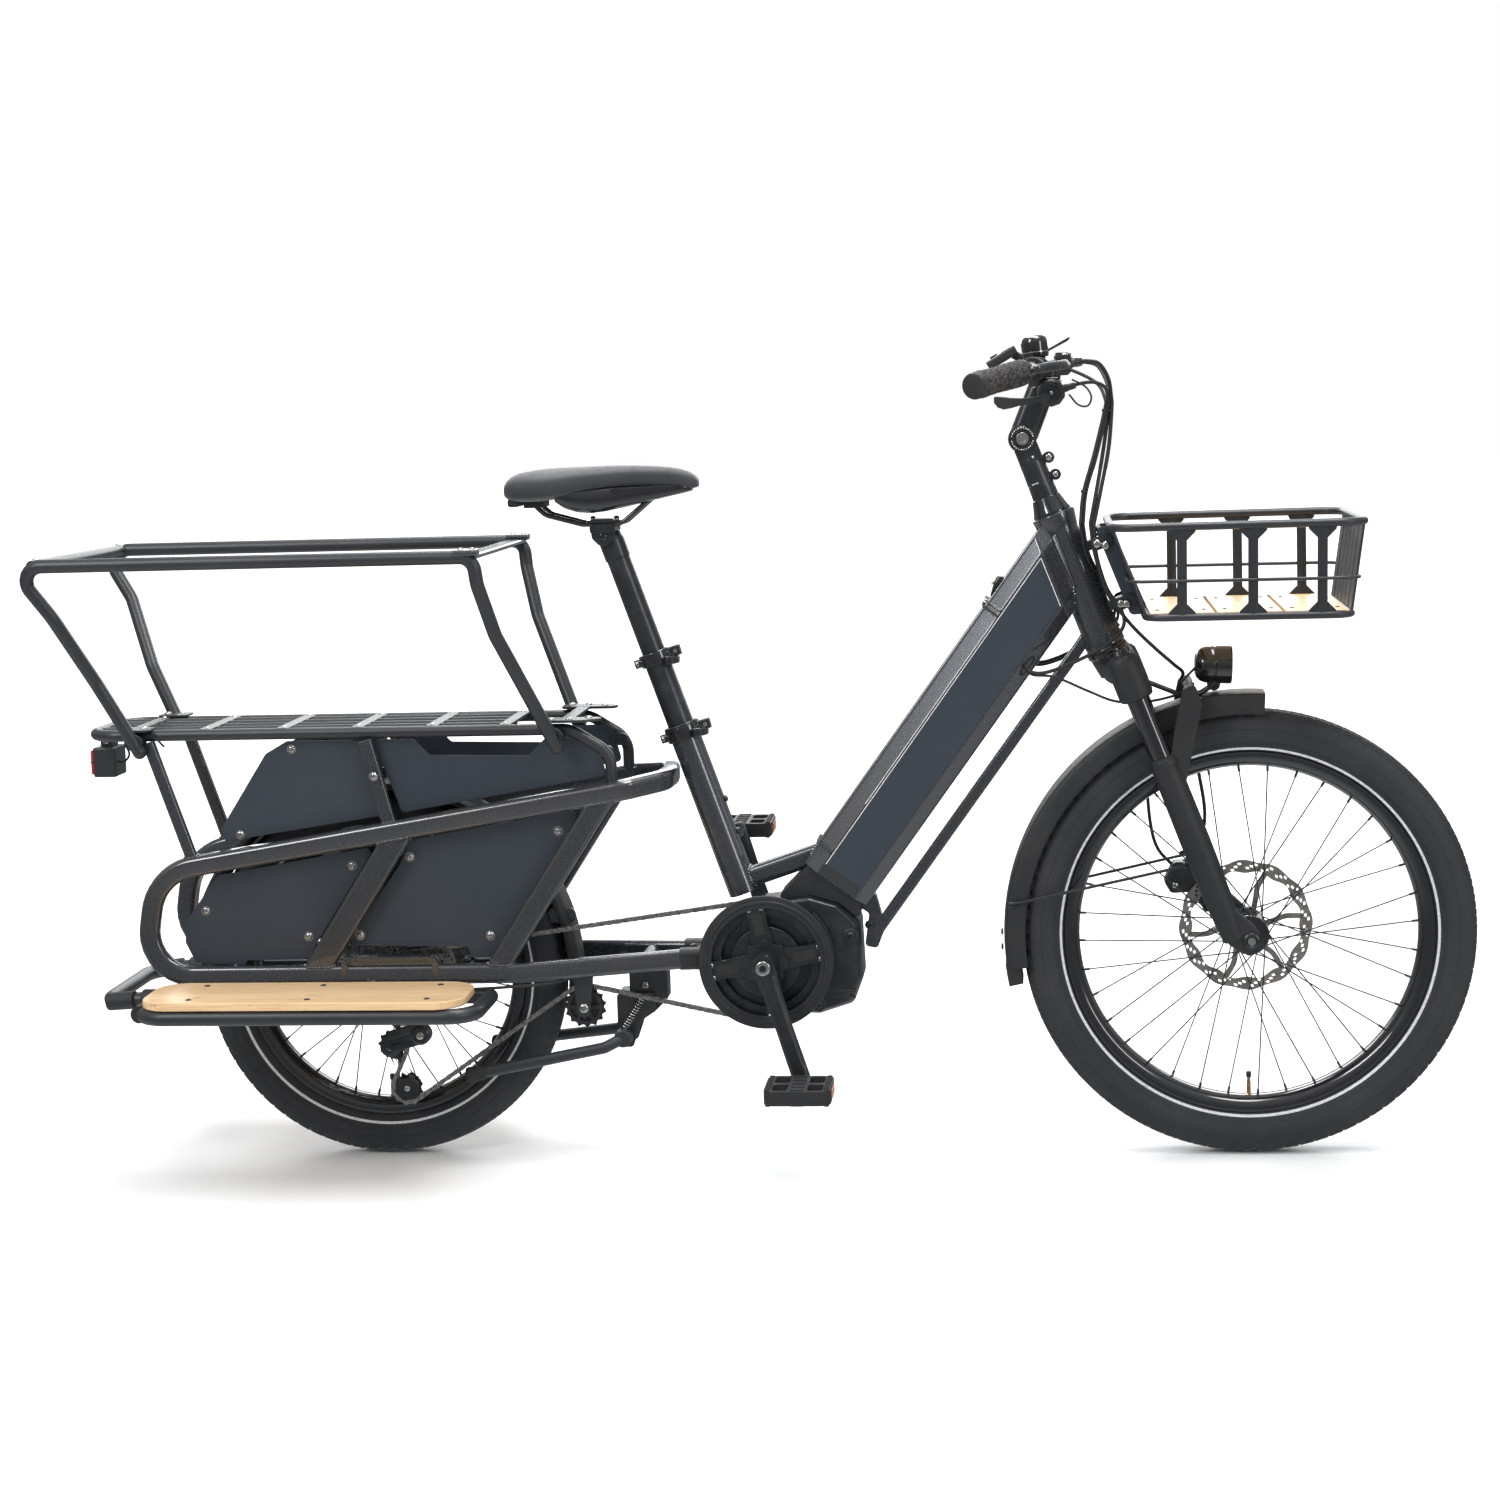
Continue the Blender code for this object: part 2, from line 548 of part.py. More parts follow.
def build_cockpit():
    half = fillet(BAR, 40, 2)
    bar = [Vector((p[0], -p[1], p[2])) for p in reversed(half[1:])] + half
    make("handlebar", [sweep(bar, circle(11, 10))], **BLACK)
    start, end = Vector(GRIP_IN), Vector(GRIP_OUT)
    way = (end - start).normalized()
    grip = stack(start + way * 16, way, [(0, 15), (5, 16.5), (35, 17), (85, 16.0), (122, 17.5), (130, 17)], 12)
    hole = stack(start, way, [(0, 11.8), (150, 11.8)], 12)
    for side, turn in (("right", lambda solid: (list(map(Vector, solid[0])), solid[1])), ("left", flip)):
        make(f"grip_{side}", [turn(grip)], [turn(hole)], **RUBBER)
        build_brake(side, turn)
    ring, bore = bar_ring(-124, 12, 17)
    body = rod((984, -116, 1090), (984, -146, 1089), 19, 14)
    make("shifter_body", [body, ring, block(966, 984, -128, -119, 1092, 1112)], [bore], **BLACK)
    paddle = fillet([(976, -154.5, 1082), (944, -157, 1078), (918, -161, 1081)], 10, 2)
    adds = [sweep(paddle, oblong(5, 8)), rod((976, -148.4, 1083), (976, -161, 1083), 7, 10)]
    make("shift_paddle", adds, pivot=(976, -154.5, 1083), **BLACK)
    ring, bore = bar_ring(-92, 12, 16.0)
    dome = stack((967, -92, 1136), (-0.1, 0, 1), [(0, 12), (4, 18.5), (22, 18), (28, 14), (31, 7)], 12)
    lever = beam((974, -92, 1143), (1010, -89, 1162), 6, 6)
    make("bell", [dome, ring, block(962, 976, -97, -87, 1126, 1140), lever], [bore], **BLACK)
    ring, bore = bar_ring(-66, 12, 16.0)
    screen = beam((897, 66, 1128), (935, 66, 1150), 13, 44)
    arm = beam((972, 66, 1122), (930, 66, 1145), 11, 9)
    face = Vector((-22, 0, 38)).normalized()
    centre = Vector((908, 66, 1134.4))
    pocket = rod(centre + face * 4.2, centre + face * 14, 6.9, 12)
    make("display_remote", [screen, flip(ring), arm], [flip(bore), pocket], **BLACK)
    top = centre + face * 6.9
    make("remote_button", [rod(top, top + face * 3, 6, 10)], pivot=top, **BLACK)


# Wheels and drive.
def wheel(name, x, z, outer, hub_reach, sides, spokes=18):
    profile = [
        (outer - 62, -20), (outer - 30, -TYRE_HALF), (outer - 9, -25), (outer, -13),
        (outer, 13), (outer - 9, 25), (outer - 30, TYRE_HALF), (outer - 62, 20),
    ]
    wide = 1 / math.cos(math.pi / sides)
    profile = [(r * wide, y) for r, y in profile]
    make(f"{name}_tire", [hoop(x, z, profile, sides)], pivot=(x, 0, z), **RUBBER)
    bed = outer - 62.4
    rim = [(bed, -19.5), (bed, 19.5), (bed - 6, 19.5), (bed - 14, 8), (bed - 14, -8), (bed - 6, -19.5)]
    rim = hoop(x, z, [(r * wide, y) for r, y in rim], sides)
    adds = [across(x, z, -hub_reach, 48, 12, 14), rim]
    adds += [across(x, z, -33, -29, 26, 14), across(x, z, 29, 33, 26, 14), across(x, z, -30, 30, 16, 14)]
    for i in range(spokes):
        side = -31 if i % 2 else 31
        slant = math.radians(34 if i % 2 else -34)
        a = math.radians(360 * i / spokes)
        start = (x + 22 * math.cos(a + slant), side, z + 22 * math.sin(a + slant))
        end = (x + (bed - 9) * math.cos(a), side * 0.08, z + (bed - 9) * math.sin(a))
        adds.append(rod(start, end, 1.3, 3))
    disc = 80 if name == "front" else 78
    adds += [hoop(x, z, [(disc + 12, 42.4), (disc + 12, 44.4), (disc - 4, 44.4), (disc - 4, 42.4)], 20)]
    for i in range(5):
        a, b = math.radians(72 * i), math.radians(72 * i + 20)
        adds.append(
            sweep(
                [(x + 8 * math.cos(a), 43.4, z + 8 * math.sin(a)), (x + disc * math.cos(b), 43.4, z + disc * math.sin(b))],
                oblong(8, 1.8), up=(0, 1, 0),
            )
        )
    make(f"{name}_wheel", adds, [across(x, z, -90, 90, 6.2, 12)], pivot=(x, 0, z), **BLACK)


def belt(circles, steps=7):
    """The closed path of a chain round (x, z, radius, turn) circles, where turn is +1 or -1."""
    legs = []
    for (x0, z0, r0, t0), (x1, z1, r1, t1) in zip(circles, circles[1:] + circles[:1]):
        dx, dz = x1 - x0, z1 - z0
        heading = math.atan2(dz, dx) - math.asin((t1 * r1 - t0 * r0) / math.hypot(dx, dz))
        nx, nz = -math.sin(heading), math.cos(heading)
        legs.append(((x0 - t0 * r0 * nx, z0 - t0 * r0 * nz), (x1 - t1 * r1 * nx, z1 - t1 * r1 * nz)))
    path = []
    for i, (x, z, r, turn) in enumerate(circles):
        arrive, leave = legs[i - 1][1], legs[i][0]
        a = math.atan2(arrive[1] - z, arrive[0] - x)
        b = math.atan2(leave[1] - z, leave[0] - x)
        span = (b - a) % (2 * math.pi) if turn > 0 else -((a - b) % (2 * math.pi))
        count = max(2, round(abs(span) / math.radians(16)))
        wide = r / math.cos(span / count / 2) if abs(span) < 3.4 * count else r
        for k in range(count + 1):
            angle = a + span * k / count
            path.append((x + wide * math.cos(angle), z + wide * math.sin(angle)))
    return path


def build_drive():
    circles = [
        (*CRANK, RING_PITCH, -1), (*IDLER, IDLER_PITCH, 1), (*PULLEY_LOW, PULLEY_PITCH, -1),
        (*PULLEY_UP, PULLEY_PITCH, 1), (0, REAR_R, COG_PITCH, -1),
    ]
    path = [(x, CHAIN_Y, z) for x, z in belt(circles)]
    make("chain", [sweep(path, oblong(2 * CHAIN_HALF, 2 * CHAIN_HALF), up=(0, 1, 0), closed=True)], **STEEL)
    cogs = [(12.4, -66), (COG_PITCH - 5.5, -66), (COG_PITCH - 5.5, -56.2), (COG_PITCH - 4.4, -56.2), (COG_PITCH - 4.4, -47.6), (46, -47.6), (46, -37), (12.4, -37)]
    make("cassette", [hoop(0, REAR_R, cogs, 24)], pivot=(0, 0, REAR_R), **STEEL)
    x, z = CRANK
    face = RING_PITCH - CHAIN_HALF - 0.8
    adds = [hoop(x, z, [(face, -50.6), (face, -53.4), (64, -53.4), (64, -50.6)], 24)]
    adds += [hoop(x, z, [(97, -66), (97, -62), (78, -62), (78, -66)], 24)]
    for i in range(4):
        a = math.radians(90 * i + 10)
        adds.append(sweep([(x + 8 * math.cos(a), -58, z + 8 * math.sin(a)), (x + 80 * math.cos(a), -58, z + 80 * math.sin(a))], oblong(22, 15.6), up=(0, 1, 0)))
    adds += [across(x, z, -110, -46, 11, 12), across(x, z, -66, -50, 24, 12)]
    toe = (x + CRANK_LENGTH * math.sin(CRANK_TURN), z - CRANK_LENGTH * math.cos(CRANK_TURN))
    heel = (2 * x - toe[0], 2 * z - toe[1])
    arm = [sweep([(x, -100, z), (toe[0], -110, toe[1])], oblong(30, 15), up=(0, 1, 0)), across(x, z, -108, -92, 18, 12)]
    adds += arm + [across(*toe, -118, -101, 14, 14), across(*toe, -208, -112, 4.5, 12)]
    make("crankset_right", adds, pivot=(x, 0, z), **BLACK)
    adds = [across(x, z, 57, 100, 11, 12), sweep([(x, 90, z), (heel[0], 110, heel[1])], oblong(30, 15), up=(0, 1, 0))]
    adds += [across(x, z, 82, 98, 18, 12), across(*heel, 101, 118, 14, 14), across(*heel, 112, 208, 4.5, 12)]
    make("crank_left", adds, pivot=(x, 0, z), **BLACK)
    for side, sign, (px, pz) in (("right", -1, toe), ("left", 1, heel)):
        y0, y1 = sign * 120, sign * 214
        adds = [across(px, pz, y0, y1, 11, 12)]
        adds += [block(px - 48, px - 36, min(y0, y1), max(y0, y1), pz - 12, pz + 12), block(px + 36, px + 48, min(y0, y1), max(y0, y1), pz - 12, pz + 12)]
        for y in (sign * 124, sign * 167, sign * 209.5):
            adds.append(block(px - 40, px + 40, y - 4.2, y + 4.2, pz - 11, pz + 11))
        make(f"pedal_{side}", adds, [across(px, pz, sign * 100, sign * 209.2, 4.9, 12)], pivot=(px, 0, pz), **BLACK)
    make(
        "motor_housing",
        [slab([(497, 262), (497, 322), (515, 352), (560, 374), (632, 384), (672, 372), (701, 345), (704, 262), (690, 226), (640, 210), (560, 214), (515, 234)], -44, 55)],
        **BLACK,
    )
    face = IDLER_PITCH - CHAIN_HALF - 0.8
    make("idler_wheel", [hoop(*IDLER, [(4.4, -47), (face, -47), (face, -58), (4.4, -58)], 20)], pivot=(IDLER[0], CHAIN_Y, IDLER[1]), **BLACK)
    face = PULLEY_PITCH - CHAIN_HALF - 0.8
    for name, (px, pz) in (("pulley_upper", PULLEY_UP), ("pulley_lower", PULLEY_LOW)):
        make(name, [hoop(px, pz, [(3.4, -50), (face, -50), (face, -54), (3.4, -54)], 12)], pivot=(px, CHAIN_Y, pz), **BLACK)
    (ux, uz), (lx, lz) = PULLEY_UP, PULLEY_LOW
    outline = [(ux - 10, uz - 6), (ux - 8, uz + 12), (ux + 8, uz + 12), (ux + 13, uz - 2), (lx + 20, lz + 2), (lx + 8, lz - 20), (lx - 14, lz - 16), (lx - 18, lz + 6)]
    cage = [slab(outline, -61.5, -59.3), slab(outline, -44.6, -42.4)]
    cage += [across(ux, uz, -61, -43, 3, 10), across(lx, lz, -61, -43, 3, 10)]
    make("derailleur_cage", cage, pivot=(ux, CHAIN_Y, uz), **BLACK)
    body = [slab([(-12, 235.5), (14, 235.5), (60, 214), (78, 196), (74, 176), (52, 170), (20, 190), (-10, 214)], -94, -70)]
    body += [across(ux, uz, -74, -62.2, 8, 12), slab([(10, 168), (22, 168), (60, 180), (50, 200), (10, 182)], -80, -70)]
    make("derailleur_body", body, **BLACK)


# Saddle, stand and lights.
def build_saddle():
    axis = Vector(seat(1)) - Vector(seat(0))
    lower = stack(seat(-150), axis, [(0, 19), (258, 19)], 12)
    collar = stack(seat(100), axis, [(0, 23), (20, 23)], 12)
    bore = stack(seat(-140), axis, [(0, 17.3), (300, 17.3)], 12)
    make("seatpost_lower", [lower, collar], [bore], pivot=seat(0), **BLACK)
    upper = stack(seat(-10), axis, [(0, 16.9), (300, 16.9)], 12)
    make("seatpost_upper", [upper, across(348, 904, -20, 20, 12)], pivot=seat(0), **BLACK)
    rows = [
        (212, 78, 952, 982), (232, 88, 944, 992), (290, 84, 936, 1000), (345, 55, 938, 1003),
        (400, 30, 946, 998), (455, 22, 954, 988), (485, 14, 962, 980),
    ]
    points, faces, n = [], [], 10
    for x, half, low, high in rows:
        for k in range(n):
            a = 2 * math.pi * (k + 0.5) / n
            y = half * math.copysign(abs(math.cos(a)) ** 0.7, math.cos(a))
            z = (low + high) / 2 + (high - low) / 2 * math.copysign(abs(math.sin(a)) ** 0.7, math.sin(a))
            points.append(Vector((x, y, z)))
    for i in range(len(rows) - 1):
        for k in range(n):
            m = (k + 1) % n
            faces.append((i * n + k, i * n + m, (i + 1) * n + m, (i + 1) * n + k))
    faces += [tuple(range(n)), tuple(range((len(rows) - 1) * n, len(rows) * n))]
    rail = fillet([(252, -22, 962), (262, -22, 938), (322, -22, 921), (372, -22, 921), (424, -12, 972)], 20, 3)
    clamp = [block(330.3, 366.4, -29.6, 29.6, 911.7, 924.4)]
    adds = [(points, faces)] + both(sweep(rail, circle(3.5, 8))) + clamp
    make("saddle", adds, [across(348, 904, -40, 40, 12.6)], pivot=(348, 0, 904), **BLACK)
    for name, spot, radius in (("clamp_lever_lower", 0, 26), ("clamp_lever_upper", 110, 23)):
        centre = Vector(seat(spot - 2))
        arc = []
        for i in range(6):
            turn = math.radians(-60 + 24 * i)
            arc.append(centre + Vector((math.cos(turn) * (radius + 8), -math.sin(turn) * (radius + 8), 0)))
        make(name, [sweep(arc, oblong(5, 12))], pivot=arc[0], **STEEL)


def build_stand_and_light():
    pivot = (355, 0, 179)
    adds = [across(355, 179, -58, 58, 5.5, 12)]
    adds += both(sweep(fillet([(355, -48, 179), (330, -62, 168), (146, -100, 139)], 12, 2), circle(8.5, 10)))
    adds += both(rod((150, -99, 139.6), (134, -102, 137), 11, 10)) + [across(355, 179, -19.6, 19.6, 11, 12)]
    adds += both(across(355, 179, -60, -27, 10, 12))
    make("centre_stand", adds, pivot=pivot, **BLACK)
    lamp = [block(-421, -383, -26, 26, 566, 612), block(-412, -392, -14, 14, 611, 627.6)]
    make("rear_light", lamp, colour=(0.4, 0.01, 0.01), rough=0.2)


def build_cables():
    """Brake, shift and lamp cables, bundled by ties into one loom."""
    tie, low = (1066, -6, 1062), (1035, -30, 905)
    right = fillet([(1016, -112, 1128), (1040, -70, 1128), (1066, -14, 1100), tie], 30, 3)
    left = fillet([(1016, 112, 1128), (1040, 70, 1128), (1066, 4, 1100), tie], 30, 3)
    shift = fillet([(1003, -112, 1094), (1030, -70, 1102), (1062, -12, 1094), tie], 24, 3)
    trunk = fillet([(1066, -7, 1080), tie, (1058, -26, 975), low, (1055, -37, 850), (1086, -48, 770), (1150, -52, 706), (1168, -52, 700)], 60, 3)
    into = fillet([tie, (1050, -16, 970), (1037, -30, 890), (1036, -34, 862)], 50, 3)
    lamp = fillet([(962, -48, 706), (985, -52, 697), (1030, -56, 730), (1075, -48, 784), (1078, -48, 790)], 30, 3)
    adds = [sweep(p, circle(2.8, 4)) for p in (right, left, shift, trunk, into)]
    adds += [sweep(lamp, circle(2.2, 4)), rod((1066, -9, 1060), (1066, -3, 1066), 6.5, 8)]
    make("cable_loom", adds, pivot=low, **RUBBER)


build_main_frame()
build_rear_frame()
build_rack()
build_passenger_rails()
build_panels()
build_decks()
build_basket()
build_fork()
build_mudguards()
build_headlamp()
build_stem()
build_cockpit()
wheel("front", WHEELBASE, FRONT_R, FRONT_R, 36, 28)
wheel("rear", 0, REAR_R, REAR_R, 66.5, 28)
build_drive()
build_saddle()
build_stand_and_light()
build_cables()
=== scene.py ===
"""Visual model of the longtail cargo bicycle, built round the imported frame.

Shapes are written in millimetres from the rear axle: X forward, -Y to the drive side, Z up from
the floor. at() turns a point into the frame's metres.
"""

import math

import bmesh
import bpy
from mathutils import Matrix, Vector
from mathutils.bvhtree import BVHTree


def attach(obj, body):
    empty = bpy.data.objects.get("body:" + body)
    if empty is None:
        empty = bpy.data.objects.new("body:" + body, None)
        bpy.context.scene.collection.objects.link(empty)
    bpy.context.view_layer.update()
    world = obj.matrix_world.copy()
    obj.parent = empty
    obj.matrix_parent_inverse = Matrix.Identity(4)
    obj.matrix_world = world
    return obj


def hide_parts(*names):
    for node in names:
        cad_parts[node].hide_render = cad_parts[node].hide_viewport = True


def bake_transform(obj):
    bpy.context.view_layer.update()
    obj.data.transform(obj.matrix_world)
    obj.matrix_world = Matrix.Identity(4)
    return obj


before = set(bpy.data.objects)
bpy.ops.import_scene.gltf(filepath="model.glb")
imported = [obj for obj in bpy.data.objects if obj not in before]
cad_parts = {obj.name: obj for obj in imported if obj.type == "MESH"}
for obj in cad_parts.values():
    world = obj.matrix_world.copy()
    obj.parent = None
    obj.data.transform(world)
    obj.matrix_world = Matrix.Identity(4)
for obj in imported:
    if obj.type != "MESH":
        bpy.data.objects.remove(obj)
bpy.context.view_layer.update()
SCENE = bpy.context.scene

# Driving dimensions, in millimetres.
MIDDLE_X = 558.1
STEER_FOOT, STEER_LEAN = (1058.0, 727.0), math.radians(21.0)
SEAT_FOOT, SEAT_LEAN = (450.0, 622.0), math.radians(19.0)
DOWN_FOOT, DOWN_DIR = (643.0, 456.0), (0.587, 0.8096)
SIDE_Y = 91.0
HOOP_Y, HOOP_Z = 195.0, 888.0
FRONT, REAR = (1252.0, 320.0, 320.0), (0.0, 269.5, 269.5)
CRANK, CHAIN_Y = (567.0, 292.0), -52.0
LEG_Y = 65.0
STEM_PIVOT = 320.0
GRIP_IN, GRIP_OUT = (953.0, -215.0, 1119.0), (884.0, -341.0, 1101.0)


def at(point):
    return Vector(((point[0] - MIDDLE_X) / 1000, point[1] / 1000, point[2] / 1000))


def steer(along, ahead, y=0.0):
    """A point from the lower headset: along the steering axis, then ahead of it."""
    s, c = math.sin(STEER_LEAN), math.cos(STEER_LEAN)
    return Vector((STEER_FOOT[0] - s * along + c * ahead, y, STEER_FOOT[1] + c * along + s * ahead))


def seat(along):
    """A point up the seat tube's axis from its collar."""
    return Vector((SEAT_FOOT[0] - math.sin(SEAT_LEAN) * along, 0, SEAT_FOOT[1] + math.cos(SEAT_LEAN) * along))


def down(along, above, y=0.0):
    """A point up the down tube's top edge, then above it."""
    (x, z), (dx, dz) = DOWN_FOOT, DOWN_DIR
    return Vector((x + dx * along - dz * above, y, z + dz * along + dx * above))


UP_STEER = steer(1, 0) - steer(0, 0)
UP_SEAT = seat(1) - seat(0)
UP_DOWN = down(1, 0) - down(0, 0)


# Sections and paths.
def circle(radius, sides=20):
    angles = [2 * math.pi * (i + 0.5) / sides for i in range(sides)]
    return [(radius * math.cos(a), radius * math.sin(a)) for a in angles]


def oval(wide, tall, sides=20):
    return [(x * wide / 2, y * tall / 2) for x, y in circle(1, sides)]


def rounded(wide, tall, radius, steps=3):
    """A rectangle with round corners, centred on the path."""
    out = []
    for cx, cy, first in ((1, 1, 0), (-1, 1, 90), (-1, -1, 180), (1, -1, 270)):
        for i in range(steps + 1):
            a = math.radians(first + 90 * i / steps)
            out.append(
                (
                    cx * (wide / 2 - radius) + radius * math.cos(a),
                    cy * (tall / 2 - radius) + radius * math.sin(a),
                )
            )
    return out


def fillet(points, radius, steps=6, closed=False):
    """Rounds the corners of a path, each by at most what its legs allow."""
    path = [Vector(p) for p in points]
    if closed:
        middle = (path[0] + path[-1]) / 2
        path = [middle, *path, middle]
    out = [path[0]]
    for before, here, after in zip(path, path[1:], path[2:]):
        a, b = before - here, after - here
        angle = a.angle(b)
        if angle > math.radians(177):
            out.append(here)
            continue
        cut = min(radius / math.tan(angle / 2), 0.48 * a.length, 0.48 * b.length)
        reach = cut * math.tan(angle / 2)
        start, end = here + a.normalized() * cut, here + b.normalized() * cut
        middle = here + (a.normalized() + b.normalized()).normalized() * math.hypot(reach, cut)
        for i in range(steps + 1):
            out.append(middle + (start.lerp(end, i / steps) - middle).normalized() * reach)
    return out if closed else out + [path[-1]]


def flat_fillet(outline, radius, steps=5):
    """Rounds the corners of a closed (x, z) outline."""
    return [(p.x, p.z) for p in fillet([(x, 0, z) for x, z in outline], radius, steps, closed=True)[1:]]


def plan_fillet(outline, radius, steps):
    """Rounds the corners of a closed (x, y) outline."""
    return [(p.x, p.y) for p in fillet([(x, y, 0) for x, y in outline], radius, steps, closed=True)[1:]]


def spline(points, steps=8):
    """A smooth path through points."""
    p = [Vector(q) for q in points]
    p = [2 * p[0] - p[1], *p, 2 * p[-1] - p[-2]]
    out = []
    for a, b, c, d in zip(p, p[1:], p[2:], p[3:]):
        for i in range(steps):
            t = i / steps
            out.append(
                0.5 * (
                    2 * b + (c - a) * t + (2 * a - 5 * b + 4 * c - d) * t**2 + (3 * b - a - 3 * c + d) * t**3
                )
            )
    return out + [p[-2]]


# Solids: (points, faces) in millimetres.
def skin(rings, closed=False):
    """Joins rings of equal length into one surface, with its ends filled."""
    n, count = len(rings[0]), len(rings)
    points = [Vector(p) for ring in rings for p in ring]
    faces = []
    for i in range(count if closed else count - 1):
        j = (i + 1) % count
        faces += [(i * n + k, i * n + (k + 1) % n, j * n + (k + 1) % n, j * n + k) for k in range(n)]
    if not closed:
        faces += [tuple(range(n)), tuple(range((count - 1) * n, count * n))]
    return points, faces


def sweep(path, section, up=(0, 0, 1), closed=False, scale=None):
    """Carries a section along a path with mitred corners; scale(i) may change its size."""
    path = [Vector(p) for p in path]
    count = len(path)
    legs = [(path[(i + 1) % count] - path[i]).normalized() for i in range(count if closed else count - 1)]
    start = legs[-1] if closed else legs[0]
    side = start.cross(Vector(up))
    if side.length < 1e-3:
        side = start.cross(Vector((0, 1, 0)))
    side.normalize()
    rise = side.cross(start).normalized()
    rings = []
    for i, here in enumerate(path):
        into = legs[i - 1] if closed or i else legs[0]
        out = legs[i] if i < len(legs) else legs[-1]
        bisect = (into + out).normalized()
        size = scale(i / (count - 1)) if scale else 1
        ring = []
        for u, v in section:
            offset = (side * u + rise * v) * size
            ring.append(here + offset - into * (offset.dot(bisect) / into.dot(bisect)))
        rings.append(ring)
        turn = into.rotation_difference(out)
        side, rise = turn @ side, turn @ rise
    return skin(rings, closed)


def tube(points, radius, bend=0, sides=20, steps=7):
    return sweep(fillet(points, bend, steps) if bend else points, circle(radius, sides))


def rod(start, end, radius, sides=20):
    return sweep([start, end], circle(radius, sides))


def across(x, z, y0, y1, radius, sides=24):
    return rod((x, y0, z), (x, y1, z), radius, sides)


def turned(start, direction, steps, sides=32):
    """A solid turned about a direction from (distance, radius) steps."""
    way = Vector(direction).normalized()
    side = way.cross(Vector((0, 1, 0)))
    if side.length < 1e-3:
        side = Vector((1, 0, 0))
    side.normalize()
    other = way.cross(side)
    rings = []
    for distance, radius in steps:
        middle = Vector(start) + way * distance
        turns = [2 * math.pi * (a + 0.5) / sides for a in range(sides)]
        rings.append([middle + (side * math.cos(t) + other * math.sin(t)) * max(radius, 0.01) for t in turns])
    return skin(rings)


def lathe(x, z, profile, sides=64, first=0.0, last=360.0):
    """Turns a closed (radius, y) profile about a cross axis."""
    full = last - first >= 360
    rings = []
    for i in range(sides if full else sides + 1):
        a = math.radians(first + (last - first) * i / sides)
        rings.append([(x + r * math.cos(a), y, z + r * math.sin(a)) for r, y in profile])
    return skin(rings, closed=full)


def slab(outline, y0, y1):
    """A flat (x, z) outline with thickness across the bicycle."""
    return skin([[(x, y, z) for x, z in outline] for y in (y0, y1)])


def sheet(outline, z0, z1):
    """A flat (x, y) outline with thickness upwards."""
    return skin([[(x, y, z) for x, y in outline] for z in (z0, z1)])


def block(x0, x1, y0, y1, z0, z1):
    return sheet([(x0, y0), (x1, y0), (x1, y1), (x0, y1)], z0, z1)


def bar(start, end, wide, deep, radius=2.0):
    """A box bar between two points; wide lies in the bicycle's plane, deep across it."""
    return sweep([start, end], rounded(deep, wide, radius))


def flip(solid):
    return [Vector((p[0], -p[1], p[2])) for p in solid[0]], solid[1]


# The two sides, each with what turns a solid drawn on the right into its own.
SIDES = (("right", lambda solid: solid), ("left", flip))


def both(*solids):
    return [*solids, *map(flip, solids)]


def join(solids):
    points, faces = [], []
    for p, f in solids:
        faces += [tuple(i + len(points) for i in face) for face in f]
        points += list(p)
    return points, faces


def screw(point, direction, radius=5.5, tall=2.6):
    """A button head with a round socket, standing on a surface."""
    point, way, sides = Vector(point), Vector(direction).normalized(), 24
    steps = [
        (-1, radius), (0, radius), (tall * 0.45, radius * 0.94), (tall * 0.85, radius * 0.72),
        (tall, radius * 0.5),
    ]
    points = turned(point, way, steps, sides)[0]
    rings = [points[i * sides : (i + 1) * sides] for i in range(len(steps))]
    socket = [point + way * (tall * 0.3) + (p - point - way * tall) * 0.98 for p in rings[-1]]
    return [skin([*rings, socket])]


